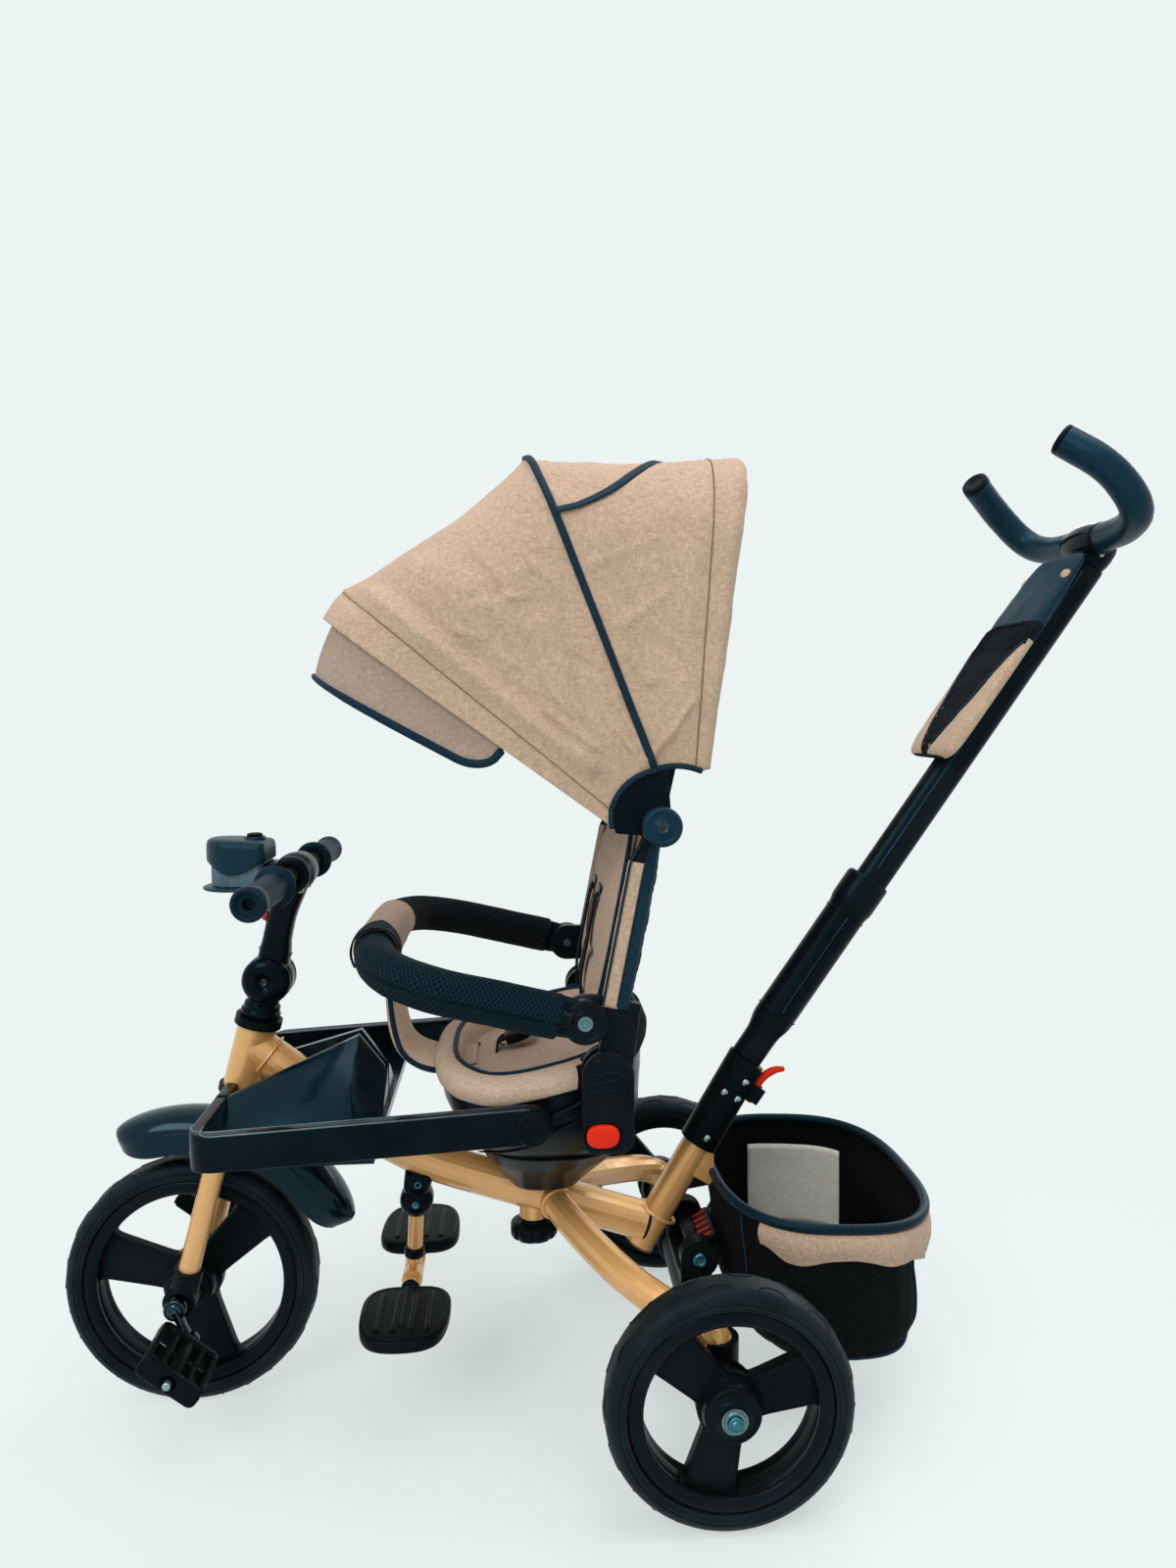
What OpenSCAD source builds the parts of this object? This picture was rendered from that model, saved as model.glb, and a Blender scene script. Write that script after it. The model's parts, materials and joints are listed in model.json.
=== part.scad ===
// Children's push tricycle with a folding canopy, reclining seat and parent push bar.
// X runs forward, Y to the rider's left, Z up; the floor is Z = 0.

/* [Wheels] */
// Diameter of the front tyre
front_wheel_d = 285; // [270:1:300]
// Width of the front tyre
front_tyre_w = 43; // [36:1:48]
// Diameter of the rear tyres
rear_wheel_d = 246; // [226:1:250]
// Width of the rear tyres
rear_tyre_w = 45; // [34:1:46]
// Distance between the front and rear axles
wheelbase = 583.5; // [570:0.5:600]
// Overall width over the rear tyres
track_w = 527.4; // [510:0.2:550]
// Thickness of a tyre's tread band
tyre_t = 21; // [16:1:24]
// Radius of a wheel hub
hub_r = 28; // [25:1:31]
// Thickness of the wheel spokes
spoke_t = 16; // [10:1:22]

/* [Fork and steering] */
// Lean of the steering axis from vertical, in degrees
rake = 15; // [12:0.5:18]
// Outer diameter of the head tube
head_d = 44; // [40:1:48]
// Length of the head tube
head_len = 74; // [66:1:80]
// Diameter of the steerer tube
steerer_d = 28; // [24:1:30]
// Diameter of the fork legs
fork_leg_d = 24; // [20:1:27]
// Distance of a fork leg from the middle plane
fork_leg_y = 46; // [44:0.5:50]
// Radius of the front axle
spindle_r = 6; // [5:0.5:7]
// Throw of the pedal cranks
crank_throw = 40; // [36:1:46]
// Length of a pedal along its spindle
pedal_len = 68; // [58:1:76]

/* [Handlebar] */
// Diameter of the folding knuckle ball
knuckle_d = 56; // [50:1:60]
// Diameter of the stem
stem_d = 34; // [30:1:38]
// Diameter of the handlebar tube
bar_d = 22; // [19:1:25]
// Half of the handlebar's overall width
bar_half = 215; // [190:1:220]
// Length of a hand grip
grip_len = 113; // [100:1:120]
// Diameter of a hand grip
grip_d = 31; // [28:1:34]
// Diameter of the hole in the end of a grip
grip_hole_d = 12; // [8:0.5:14]

/* [Frame] */
// Diameter of the main tube
main_d = 45; // [40:1:48]
// Diameter of the push-bar socket tube
socket_d = 36; // [32:1:39]
// Diameter of the rear legs
leg_d = 35; // [30:1:37]
// Radius of the rear axle rod
axle_r = 6; // [5:0.5:7]

/* [Console] */
// Half-width over the guard rails
guard_half = 178; // [178:1:186]
// Height of a guard rail
rail_h = 38; // [32:1:42]
// Thickness of a guard rail
rail_t = 14; // [11:1:14]

/* [Footrest] */
// Diameter of the footrest strut
strut_d = 18; // [15:1:20]
// Length of a foot pad, front to back
pad_len = 100; // [90:1:106]
// Width of a foot pad
pad_w = 112; // [102:1:116]
// Thickness of a foot pad
pad_t = 15; // [12:1:18]

/* [Seat] */
// Half-width of the seat rim
seat_half = 158; // [154:1:160]
// Half-length of the seat rim
seat_reach = 116; // [110:1:118]
// Height of the seat rim at its front
seat_rim_z = 404; // [400:1:410]
// How much higher the rim stands at the back of the seat
seat_rise = 40; // [20:1:42]
// Wall of the seat shell
seat_wall = 6; // [4:0.5:8]

/* [Backrest] */
// Lean of the backrest from vertical, in degrees
back_lean = 11.2; // [9.2:0.1:13.2]
// Thickness of the back pad
back_pad_t = 30; // [24:1:34]
// Radius of the recline pins
recline_pin_r = 8; // [6:0.5:9]
// Thickness of a backrest upright
upright_t = 12; // [10:0.5:13]
// Width of a backrest upright, front to back
upright_w = 28; // [24:1:30]

/* [Safety bar] */
// Diameter of the padded arms
bar_foam_d = 46; // [40:1:50]
// Diameter of the middle sleeve
bar_sleeve_d = 50; // [46:1:54]
// Diameter of the tube inside the padding
bar_core_d = 20; // [16:1:22]

/* [Canopy] */
// Distance from the canopy pivot to the rear bow
rear_bow_r = 388; // [380:1:396]
// Distance from the canopy pivot to the middle bow
mid_bow_r = 396; // [388:1:404]
// Distance from the canopy pivot to the front bow
front_bow_r = 400; // [392:1:408]
// Half-width of the canopy
canopy_half = 180; // [180:1:186]
// Thickness of the canopy cloth and its lining
cloth_t = 5; // [4:0.5:7]
// Diameter of the canopy bows
bow_d = 7; // [6:0.5:9]

/* [Basket] */
// Half-length of the basket rim
basket_reach = 119; // [112:1:120]
// Half-width of the basket rim
basket_half = 155; // [145:1:158]
// Depth of the basket
basket_depth = 165; // [150:1:172]
// Diameter of the rim wire
rim_wire_d = 9; // [7:0.5:11]

/* [Push bar] */
// Lean of the push bar from vertical, in degrees
push_lean = 34.8; // [33:0.1:36]
// Width of the push-bar casing, front to back
casing_w = 48; // [46:1:54]
// Thickness of the push-bar casing
casing_t = 40; // [36:1:44]
// Width of the sliding tube, front to back
tube_w = 34; // [32:1:35]
// Thickness of the sliding tube
tube_t = 27; // [24:1:30]
// Diameter of the padded horns
horn_d = 34.6; // [30:0.2:38]

/* [Hidden] */
$fn = 48;

gap = 0.3;      // gap between touching soft or faceted pieces
fit = 0.05;     // radial clearance of shafts in their bores
cut = 0.5;      // how far a cutting solid runs past a face

front_r = front_wheel_d / 2;
rear_r = rear_wheel_d / 2;
rear_y = (track_w - rear_tyre_w) / 2;

// push-bar points, measured from the rear axle
socket_low = [60, 0, 160];
socket_lean = 30.5;
bar_joint = [-70, 0, 384];
push_dir = [-sin(push_lean), 0, cos(push_lean)];
casing_len = 260;
push_len = 735;
push_top = bar_joint + push_dir * push_len;
bracket_d = 46;
bracket_up = 10;
handle_back = push_top[0] - bracket_d / 2 * cos(push_lean) - bracket_up * sin(push_lean);
x_mid = (wheelbase + front_r + handle_back) / 2;

gold = [0.80, 0.60, 0.34];
black = [0.06, 0.07, 0.09];
dark = [0.03, 0.03, 0.04];
beige = [0.80, 0.68, 0.55];
red = [0.85, 0.13, 0.08];
steel = [0.70, 0.75, 0.76];

// ---------- geometry helpers ----------

function unit(v) = v / norm(v);
function mix(a, b, t) = a + (b - a) * t;
function bend(a, b, c, n) =
    [for (i = [0:n]) mix(mix(a, b, i / n), mix(b, c, i / n), i / n)];

// polyline p with each inner corner eased over the length ease
function rounded(p, ease, n) = concat(
    [p[0]],
    [for (i = [1:len(p) - 2])
        let (back = p[i - 1] - p[i], on = p[i + 1] - p[i])
        let (a = p[i] + unit(back) * min(ease, norm(back) / 2.1))
        let (c = p[i] + unit(on) * min(ease, norm(on) / 2.1))
        each bend(a, p[i], c, n)],
    [p[len(p) - 1]]);

function ring(rx, ry, n = 16) = [for (i = [0:n - 1]) [rx * cos(360 * i / n), ry * sin(360 * i / n)]];

// closed skin over rings of equal length, each running counter-clockwise round the way it goes;
// a hollow ring is an outer line and then the inner one coming back
module loft(rings, hollow = false) {
    n = len(rings);
    m = len(rings[0]);
    far = (n - 1) * m;
    sides = [for (i = [0:n - 2], k = [0:m - 1])
        let (a = i * m + k, b = i * m + (k + 1) % m)
        each [[a, a + m, b + m], [a, b + m, b]]];
    strip = [for (k = [0:m / 2 - 2]) each [[k, k + 1, m - 2 - k], [k, m - 2 - k, m - 1 - k]]];
    fill = [for (k = [1:m - 2]) [0, k, k + 1]];
    cap = hollow ? strip : fill;
    lid = [for (f = cap) [f[2] + far, f[1] + far, f[0] + far]];
    polyhedron([for (r = rings) each r], concat(sides, cap, lid), convexity = 6);
}

// shape carried along path; up fixes the shape's second axis
module sweep(path, shape, up) {
    last = len(path) - 1;
    loft([for (i = [0:last])
        let (t = unit(path[min(i + 1, last)] - path[max(i - 1, 0)]))
        let (side = unit(cross(up, t)), lift = cross(t, side))
        [for (q = shape) path[i] + side * q[0] + lift * q[1]]]);
}

// one level of a bowl: a rounded oval at height z, tipped down towards the front
function level(cx, z, a, b, tip = 0, e = 2.6, n = 32) =
    [for (i = [0:n - 1])
        let (c = cos(360 * i / n), s = sin(360 * i / n))
        let (x = a * sign(c) * pow(abs(c), 2 / e))
        [cx + x, b * sign(s) * pow(abs(s), 2 / e), z - tip * x]];

module from_axle() { translate([-x_mid, 0, 0]) children(); }
module both_sides() {
    children();
    mirror([0, 1, 0]) children();
}
// local Z runs along the wheel axis, towards the rider's left
module across(p) { translate(p) rotate([-90, 0, 0]) children(); }
module at_front_axle() { from_axle() translate([wheelbase, 0, front_r]) children(); }
module on_steering() { at_front_axle() rotate([0, -rake, 0]) children(); }
module on_socket() { from_axle() translate(socket_low) rotate([0, -socket_lean, 0]) children(); }
module on_push_bar() { from_axle() translate(bar_joint) rotate([0, -push_lean, 0]) children(); }
module rod(d, from, to) { translate([0, 0, from]) cylinder(d = d, h = to - from); }
module pipe(d, bore, from, to) {
    difference() {
        rod(d, from, to);
        rod(bore, from - cut, to + cut);
    }
}
// round-ended bar cross-section, w along X and t along Y
module stadium(w, t) {
    square([w - t, t], center = true);
    for (x = [-1, 1]) translate([x * (w - t) / 2, 0]) circle(d = t);
}

// ---------- main frame ----------

head_low = 234;
head_high = head_low + head_len;
steer_x = wheelbase;
function steer_point(s) = [steer_x - s * sin(rake), 0, front_r + s * cos(rake)];
main_path = rounded([steer_point(head_high - 24), [333, 0, 279], [52, 0, 187]], 60, 6);
leg_end_y = rear_y - rear_tyre_w / 2 - 28;
leg_path = rounded([[166, 8, 226], [142, 62, 216], [90, 132, 190], [32, leg_end_y - 8, 172],
    [0, leg_end_y, 154], [0, leg_end_y, rear_r + 12]], 40, 4);

module main_tube_cutter(grow) {
    sweep(main_path, ring(main_d / 2 + grow, main_d / 2 + grow, 24), [0, 1, 0]);
}

module main_frame() color(gold) {
    difference() {
        union() {
            on_steering() rod(head_d, head_low, head_high);
            from_axle() main_tube_cutter(0);
            from_axle() translate(knob_at) rod(34, knob_h + gap, knob_h + 24);
        }
        on_steering() rod(steerer_d + 2 * cut, head_low - head_d, head_high + head_d);
        from_axle() translate(knob_at) rod(knob_stud_d + 2 * fit, knob_h, knob_h + 14);
    }
    on_socket() rod(socket_d, 0, socket_len + socket_grip);
    from_axle() both_sides() sweep(leg_path, ring(leg_d / 2, leg_d / 2, 16), leg_up);
    // hook plates that hold the front of the basket rim
    difference() {
        on_socket() for (side = [-1, 1])
            translate([-socket_d / 2 - 3, side * (hook_gap / 2 + hook_t / 2), hook_s])
                cube([26, hook_t, 34], center = true);
        from_axle() {
            across([rim_front[0], -hook_gap, rim_front[2]])
                cylinder(d = rim_wire_d + 2 * gap, h = 2 * hook_gap);
            translate([rim_front[0] - 60, -hook_gap, rim_front[2] - 80])
                cube([60, 2 * hook_gap, 160]);
            loft(basket_outer(gap));
        }
    }
}
leg_up = [0.9, 0.35, 0];
// black end caps that carry the axle below the rear legs
module axle_caps() color(dark) from_axle() both_sides() difference() {
    translate([0, leg_end_y, rear_r - 20]) cylinder(d = leg_d + 6, h = 56);
    sweep(leg_path, ring(leg_d / 2 + gap, leg_d / 2 + gap, 16), leg_up);
    across([0, 0, rear_r]) cylinder(r = axle_r + fit, h = rear_y);
}
socket_len = 142;
socket_grip = 34;
hook_gap = 24;
hook_t = 3;
hook_s = 124;

module headset_cups() color(black) on_steering() {
    pipe(head_d + 8, steerer_d + 2 * fit, head_low - 7, head_low);
    pipe(head_d + 9, steerer_d + 2 * fit, head_high, head_high + 10);
}

// ---------- fork, wheel and pedals ----------

crown_s = 206;
crown_t = 18;

module fork() color(gold) {
    on_steering() {
        rod(steerer_d, crown_s, head_high + 24);
        translate([0, 0, crown_s + crown_t / 2])
            cube([30, 2 * fork_leg_y, crown_t], center = true);
        rod(steerer_d + 10, crown_s, head_low - 7 - gap);
        for (side = [-1, 1]) translate([0, side * fork_leg_y, 0])
            rod(fork_leg_d, boot_top - 20, crown_s + crown_t);
    }
}
boot_top = 34;

module fork_boots() color(dark) difference() {
    on_steering() for (side = [-1, 1]) translate([0, side * fork_leg_y, 0]) difference() {
        union() {
            rod(fork_leg_d + 8, 0, boot_top);
            rotate([90, 0, 0]) cylinder(d = fork_leg_d + 12, h = fork_leg_d + 2, center = true);
        }
        rod(fork_leg_d + 2 * fit, boot_top - 20, boot_top + cut);
    }
    at_front_axle() rotate([90, 0, 0])
        cylinder(r = spindle_r + fit, h = 4 * fork_leg_y, center = true);
}

fender_half = fork_leg_y - fork_leg_d / 2 - 1;
fender_top = crown_s - 4;
fender_skirt = front_r + 16;
fender_t = 3;
fender_from = 66;
fender_to = 161;
// deep scoop between the fork legs: crowned top, side skirts, drawn in at both ends
function scoop(half, top, skirt) = [
    [half, skirt], [half - 1, mix(skirt, top, 0.45)], [half * 0.8, mix(skirt, top, 0.8)],
    [half * 0.42, mix(skirt, top, 0.96)], [0, top]];
function scoop_ring(a, w) =
    let (top = fender_top - 12 * (1 - w), skirt = fender_skirt + 20 * (1 - w))
    let (half = fender_half * mix(0.4, 1, w))
    let (outer = scoop(half, top, skirt), inner = scoop(half - fender_t, top - fender_t, skirt))
    [for (q = concat(outer, [for (k = [3:-1:0]) [-outer[k][0], outer[k][1]]],
            [for (k = [0:4]) [-inner[k][0], inner[k][1]]], [for (k = [3:-1:0]) inner[k]]))
        [q[1] * cos(a), q[0], q[1] * sin(a)]];

module front_fender() color(black) {
    n = 16;
    at_front_axle() loft([for (i = [0:n])
        let (w = pow(sin(180 * (0.05 + 0.9 * i / n)), 0.5))
        scoop_ring(mix(fender_to, fender_from, i / n), w)], hollow = true);
    on_steering() rod(14, fender_top - fender_t - 1, crown_s - gap);
}

crank_tilt = 22;
crank_y = fork_leg_y + fork_leg_d / 2 + 8;
crank_t = 9;
pedal_y = crank_y + crank_t + 2;
function crank_end(side) =
    [-side * crank_throw * sin(crank_tilt), 0, -side * crank_throw * cos(crank_tilt)];

module crank() color(steel) at_front_axle() {
    rotate([90, 0, 0]) cylinder(r = spindle_r, h = 2 * crank_y + crank_t, center = true);
    for (side = [-1, 1]) {
        arm = crank_end(side);
        edge = [-arm[2], arm[0]] / crank_throw * crank_w / 2;
        foot = [arm[0], arm[2]];
        translate([0, side * (crank_y + crank_t / 2), 0]) rotate([90, 0, 0])
            linear_extrude(crank_t, center = true) {
                circle(d = 24);
                translate(foot) circle(d = 19);
                polygon([edge, foot + edge, foot - edge, -edge]);
            }
        translate(arm + [0, side * (pedal_y + pedal_len / 2 - 1), 0]) rotate([90, 0, 0])
            cylinder(r = pedal_pin_r, h = pedal_len + 4, center = true);
    }
}
crank_w = 13;
pedal_pin_r = 4.5;

// block pedal: end plates and cross-ribs round a spindle barrel
module pedal(side) color(dark) at_front_axle() translate(crank_end(side)) {
    pedal_mid = side * (pedal_y + pedal_len / 2);
    translate([0, pedal_mid, 0]) rotate([0, -38, 0]) difference() {
        union() {
            rotate([90, 0, 0]) cylinder(d = 20, h = pedal_len, center = true);
            for (end = [-1, 1]) translate([0, end * (pedal_len / 2 - 4), 0])
                cube([74, 8, 22], center = true);
            for (x = [-34, -17, 17, 34]) translate([x, 0, 0])
                cube([6, pedal_len, 22], center = true);
            cube([74, 5, 14], center = true);
        }
        rotate([90, 0, 0]) cylinder(r = pedal_pin_r + fit, h = pedal_len + 2 * cut, center = true);
    }
}
module pedal_left() pedal(1);
module pedal_right() pedal(-1);

spoke_in = 38;
spoke_out = 54;
// three-spoke rim with a hub, bored for its axle
module rim(r, w, hub_w, bore, turn) {
    lip = 9;
    rotate([90, 0, 0]) difference() {
        union() {
            rotate_extrude() translate([r, 0]) polygon([
                [-lip, -w / 2], [0, -w / 2 + 2], [0, w / 2 - 2], [-lip, w / 2],
                [-lip - 7, w / 2 - 4], [-lip - 4, 0], [-lip - 7, -w / 2 + 4]]);
            cylinder(r = hub_r, h = hub_w, center = true);
            for (k = [0:2]) rotate([0, 0, turn + 120 * k]) linear_extrude(spoke_t, center = true)
                polygon([[hub_r - 8, -spoke_in / 2], [r - lip, -spoke_out / 2],
                    [r - lip, spoke_out / 2], [hub_r - 8, spoke_in / 2]]);
        }
        cylinder(r = bore, h = hub_w + w, center = true);
    }
}

module tyre(r, w) rotate([90, 0, 0]) rotate_extrude() polygon([
    [r - tyre_t, -w / 2 + 3], [r - 14, -w / 2], [r - 11, -w / 2 + 1], [r - 3, -w / 2 + 8],
    [r, -w / 2 + 14], [r, w / 2 - 14], [r - 3, w / 2 - 8], [r - 11, w / 2 - 1],
    [r - 14, w / 2], [r - tyre_t, w / 2 - 3]]);

front_hub_w = 2 * (fork_leg_y - fork_leg_d / 2) - 9;
module front_rim() color(dark) at_front_axle()
    rim(front_r - tyre_t, front_tyre_w - 4, front_hub_w, spindle_r + fit, 17);
module front_tyre() color(black) at_front_axle() tyre(front_r, front_tyre_w);

// ---------- handlebar ----------

collar_s = head_high + 10 + gap;
knuckle_s = collar_s + 46;
pivot_pin_r = 5;
slot_t = 26;
stem_top_s = 497;
bar_s = 491;

module stem_knuckle() color(black) on_steering() {
    difference() {
        union() {
            rod(44, collar_s, collar_s + 14);
            rod(38, collar_s, knuckle_s);
            translate([0, 0, knuckle_s]) rotate([90, 0, 0])
                cylinder(d = knuckle_d, h = 50, center = true);
        }
        rod(steerer_d + 2 * fit, collar_s - cut, head_high + 24 + gap);
        translate([0, 0, knuckle_s]) cube([2 * knuckle_d, slot_t + 2 * gap, knuckle_d + 2], center = true);
    }
    translate([0, 0, knuckle_s]) rotate([90, 0, 0])
        cylinder(r = pivot_pin_r, h = 49, center = true);
}

module stem() color(black) on_steering() {
    difference() {
        union() {
            translate([0, 0, knuckle_s]) rotate([90, 0, 0])
                cylinder(d = knuckle_d - 2, h = slot_t, center = true);
            rod(stem_d - 8, knuckle_s + 18, knuckle_s + knuckle_d / 2 + 6);
            rod(stem_d, knuckle_s + knuckle_d / 2 + 2, stem_top_s);
            translate([0, 0, bar_s]) rotate([90, 0, 0]) cylinder(d = 42, h = 60, center = true);
        }
        translate([0, 0, knuckle_s]) rotate([90, 0, 0])
            cylinder(r = pivot_pin_r + fit, h = slot_t + 2 * cut, center = true);
        translate([0, 0, bar_s]) rotate([90, 0, 0])
            cylinder(d = bar_d + 2 * fit, h = 60 + 2 * cut, center = true);
        translate([0, 0, button_s]) rotate([0, 90, 0])
            translate([0, 0, 4]) cylinder(r = button_r + gap, h = stem_d);
    }
}
button_s = 434;
button_r = 6;

module handlebar() color(black) on_steering() translate([0, 0, bar_s]) rotate([90, 0, 0])
    cylinder(d = bar_d, h = 2 * (bar_half - 12), center = true);

module grips() color(dark) on_steering() for (side = [0, 1]) mirror([0, side, 0])
    translate([0, bar_half - grip_len, bar_s]) rotate([-90, 0, 0]) difference() {
        union() {
            cylinder(d = grip_d + 14, h = 6);
            cylinder(d = grip_d, h = grip_len - 7);
            translate([0, 0, grip_len - 12]) cylinder(d = grip_d + 4, h = 12);
        }
        translate([0, 0, -cut]) cylinder(d = bar_d + 2 * fit, h = grip_len - 12 + cut);
        cylinder(d = grip_hole_d, h = grip_len + cut);
    }

module stem_button() color(red) on_steering() translate([0, 0, button_s]) rotate([0, 90, 0])
    translate([0, 0, 9]) cylinder(r = button_r, h = 15);

// headlight: round-nosed body under a hood, on the front of the bar clamp
lamp_x = 26;
lamp_len = 62;
lamp_w = 60;
module lamp_plan(grow) {
    translate([0, -lamp_w / 2 - grow]) square([lamp_len - lamp_w / 2, lamp_w + 2 * grow]);
    translate([lamp_len - lamp_w / 2, 0]) circle(d = lamp_w + 2 * grow);
}
module on_lamp() { from_axle() translate(steer_point(bar_s) + [lamp_x, 0, -6]) children(); }
module headlight_body() color(black) {
    on_lamp() difference() {
        union() {
            translate([0, 0, 20]) linear_extrude(28) lamp_plan(2);
            linear_extrude(20) translate([-2, 0]) square([26, lamp_w - 8], center = true);
            linear_extrude(20) translate([8, -lamp_w / 2 + 6]) square([16, lamp_w - 12]);
            translate([0, 0, -4]) linear_extrude(4) lamp_plan(6);
        }
        translate([18, 0, 37]) cylinder(r = lamp_knob_r + gap, h = 12);
        translate([-lamp_x, 0, 6]) rotate([0, -rake, 0]) rotate([90, 0, 0])
            cylinder(d = 42 + 2 * gap, h = 2 * lamp_w, center = true);
    }
}
lamp_knob_r = 12;
module headlight_lens() color(steel) on_lamp() difference() {
    translate([0, 0, gap]) linear_extrude(20 - 2 * gap) lamp_plan(-1);
    translate([-30, -lamp_w, -cut]) cube([54 + gap, 2 * lamp_w, 22]);
}
module headlight_button() color(dark) on_lamp() translate([18, 0, 42])
    cylinder(r = lamp_knob_r, h = 12);

// ---------- console and footrest ----------

console_z = 340;
console_front = 536;
console_rear = 350;
apex = [386, 0, 426];
floor_t = 10;
module on_axle_steering() { translate(steer_point(0)) rotate([0, -rake, 0]) children(); }
// room for the fork crown to turn under the head tube
module crown_sweep() {
    on_axle_steering() rod(2 * (fork_leg_y + fork_leg_d / 2 + 5), 100, head_low - 7 - gap);
    on_axle_steering() rod(head_d + 9, head_low - 8, head_low + gap);
}
// floor of the tray, with the raised wings either side of the head tube
module console_tray() color(black) from_axle() difference() {
    union() {
        translate([console_rear, -guard_half + rail_t + gap, console_z])
            cube([console_front - 12 - gap - console_rear, 2 * (guard_half - rail_t - gap), floor_t]);
        both_sides() loft([
            [[523, 104, console_z + 2], [523, 58, console_z + 2], [523, 58, 376], [523, 62, 376]],
            [[apex[0], 84, console_z + 2], [apex[0], 8, console_z + 2],
                [apex[0], 8, apex[2]], [apex[0], 14, apex[2]]],
            [[356, 60, console_z + 2], [356, 6, console_z + 2], [356, 6, 386], [356, 10, 386]]]);
    }
    main_tube_cutter(gap);
    translate([0, 0, -30]) main_tube_cutter(gap);
    crown_sweep();
    on_axle_steering() rod(head_d + 2 * gap, head_low - 40, head_high + 60);
}

rail_rear = [188, 0, 378];
module guard_rails() color(black) from_axle() both_sides() {
    difference() {
        union() {
            translate([console_front - 12, 0, console_z]) cube([12, guard_half - 1, rail_h]);
            loft([for (p = [[console_front, console_z], [rail_rear[0], rail_rear[2] - rail_h / 2]])
                [[p[0], guard_half, p[1]], [p[0], guard_half - rail_t, p[1]],
                    [p[0], guard_half - rail_t, p[1] + rail_h], [p[0], guard_half, p[1] + rail_h]]]);
            across([rail_rear[0], 130, rail_rear[2]]) cylinder(d = 28, h = guard_half - 131);
        }
        crown_sweep();
        on_axle_steering() rod(head_d + 2 * gap, head_low - 40, head_high + 60);
        seat_outer(gap);
    }
}
module rail_knobs() color(dark) from_axle() both_sides()
    across([rail_rear[0], guard_half, rail_rear[2]]) cylinder(d = 36, h = 9);

foot_pivot = [324, 0, 226];
foot_bar = [329, 0, 138];
foot_lean = atan((foot_bar[0] - foot_pivot[0]) / (foot_pivot[2] - foot_bar[2]));
ear_t = 5;
ear_y = strut_d / 2 + 1;
foot_pin_r = 5;
module footrest_bracket() color(dark) from_axle() difference() {
    union() {
        for (side = [-1, 1]) across(foot_pivot + [0, side * (ear_y + ear_t / 2), 0])
            cylinder(d = 36, h = ear_t, center = true);
        translate(foot_pivot + [-14, -ear_y - ear_t, 14]) cube([28, 2 * (ear_y + ear_t), 30]);
        across(foot_pivot) cylinder(r = foot_pin_r, h = 2 * (ear_y + ear_t), center = true);
    }
    main_tube_cutter(gap);
    translate(foot_pivot + [-16, -ear_y, 0]) cube([32, 2 * ear_y, 16]);
}
module footrest_strut() color(gold) from_axle() difference() {
    union() {
        across(foot_pivot) cylinder(d = 22, h = strut_d + 1, center = true);
        translate(foot_bar) rotate([0, -foot_lean, 0])
            rod(strut_d, 0, norm(foot_pivot - foot_bar) - 6);
        across(foot_bar) cylinder(d = strut_d + 6, h = 46, center = true);
        across(foot_bar) cylinder(d = strut_d - 4, h = 2 * (pad_y + pad_w / 2 - 14), center = true);
    }
    across(foot_pivot) cylinder(r = foot_pin_r + fit, h = strut_d + 2 * cut, center = true);
}
pad_y = 100;
module footrest_pads() color(dark) from_axle() both_sides() difference() {
    translate([foot_bar[0], pad_y, foot_bar[2] - pad_t / 2]) linear_extrude(pad_t) {
        square([pad_len - 36, pad_w], center = true);
        square([pad_len, pad_w - 36], center = true);
        for (x = [-1, 1], y = [-1, 1])
            translate([x * (pad_len / 2 - 18), y * (pad_w / 2 - 18)]) circle(r = 18);
    }
    across(foot_bar) cylinder(d = strut_d - 4 + 2 * fit, h = pad_y + pad_w / 2 - 14 + fit);
}

knob_at = [186, 0, 176];
knob_h = 24;
knob_stud_d = 10;
module frame_knob() color(dark) from_axle() translate(knob_at) {
    cylinder(d = 56, h = knob_h - 6);
    cylinder(d = 30, h = knob_h);
    cylinder(d = knob_stud_d, h = knob_h + 12);
}

// ---------- seat ----------

seat_x = 176;
base_top = 316;
rise_from = 58;
// a level of the seat that climbs towards the back
function climbing(cx, z, a, b) = [for (p = level(cx, z, a, b))
    let (back = max(0, (seat_x + rise_from - p[0]) / (rise_from + seat_reach)))
    p + [0, 0, seat_rise * pow(back, 1.2)]];
function seat_outer_rings(grow) = [
    level(seat_x - 12, base_top, 88 + grow, 112 + grow),
    level(seat_x - 6, base_top + 26, 104 + grow, 134 + grow),
    level(seat_x, base_top + 56, seat_reach - 3 + grow, seat_half - 5 + grow),
    climbing(seat_x, seat_rim_z, seat_reach + grow, seat_half + grow)];
module seat_outer(grow) { loft(seat_outer_rings(grow)); }
module seat_shell() color(dark) from_axle() loft(concat(seat_outer_rings(0), [
    climbing(seat_x, seat_rim_z, seat_reach - seat_wall, seat_half - seat_wall),
    level(seat_x, base_top + 56, seat_reach - 3 - seat_wall, seat_half - 5 - seat_wall),
    level(seat_x - 6, base_top + 30, 104 - seat_wall, 134 - seat_wall),
    level(seat_x - 12, base_top + seat_wall, 84 - seat_wall, 108 - seat_wall)]));
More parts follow.
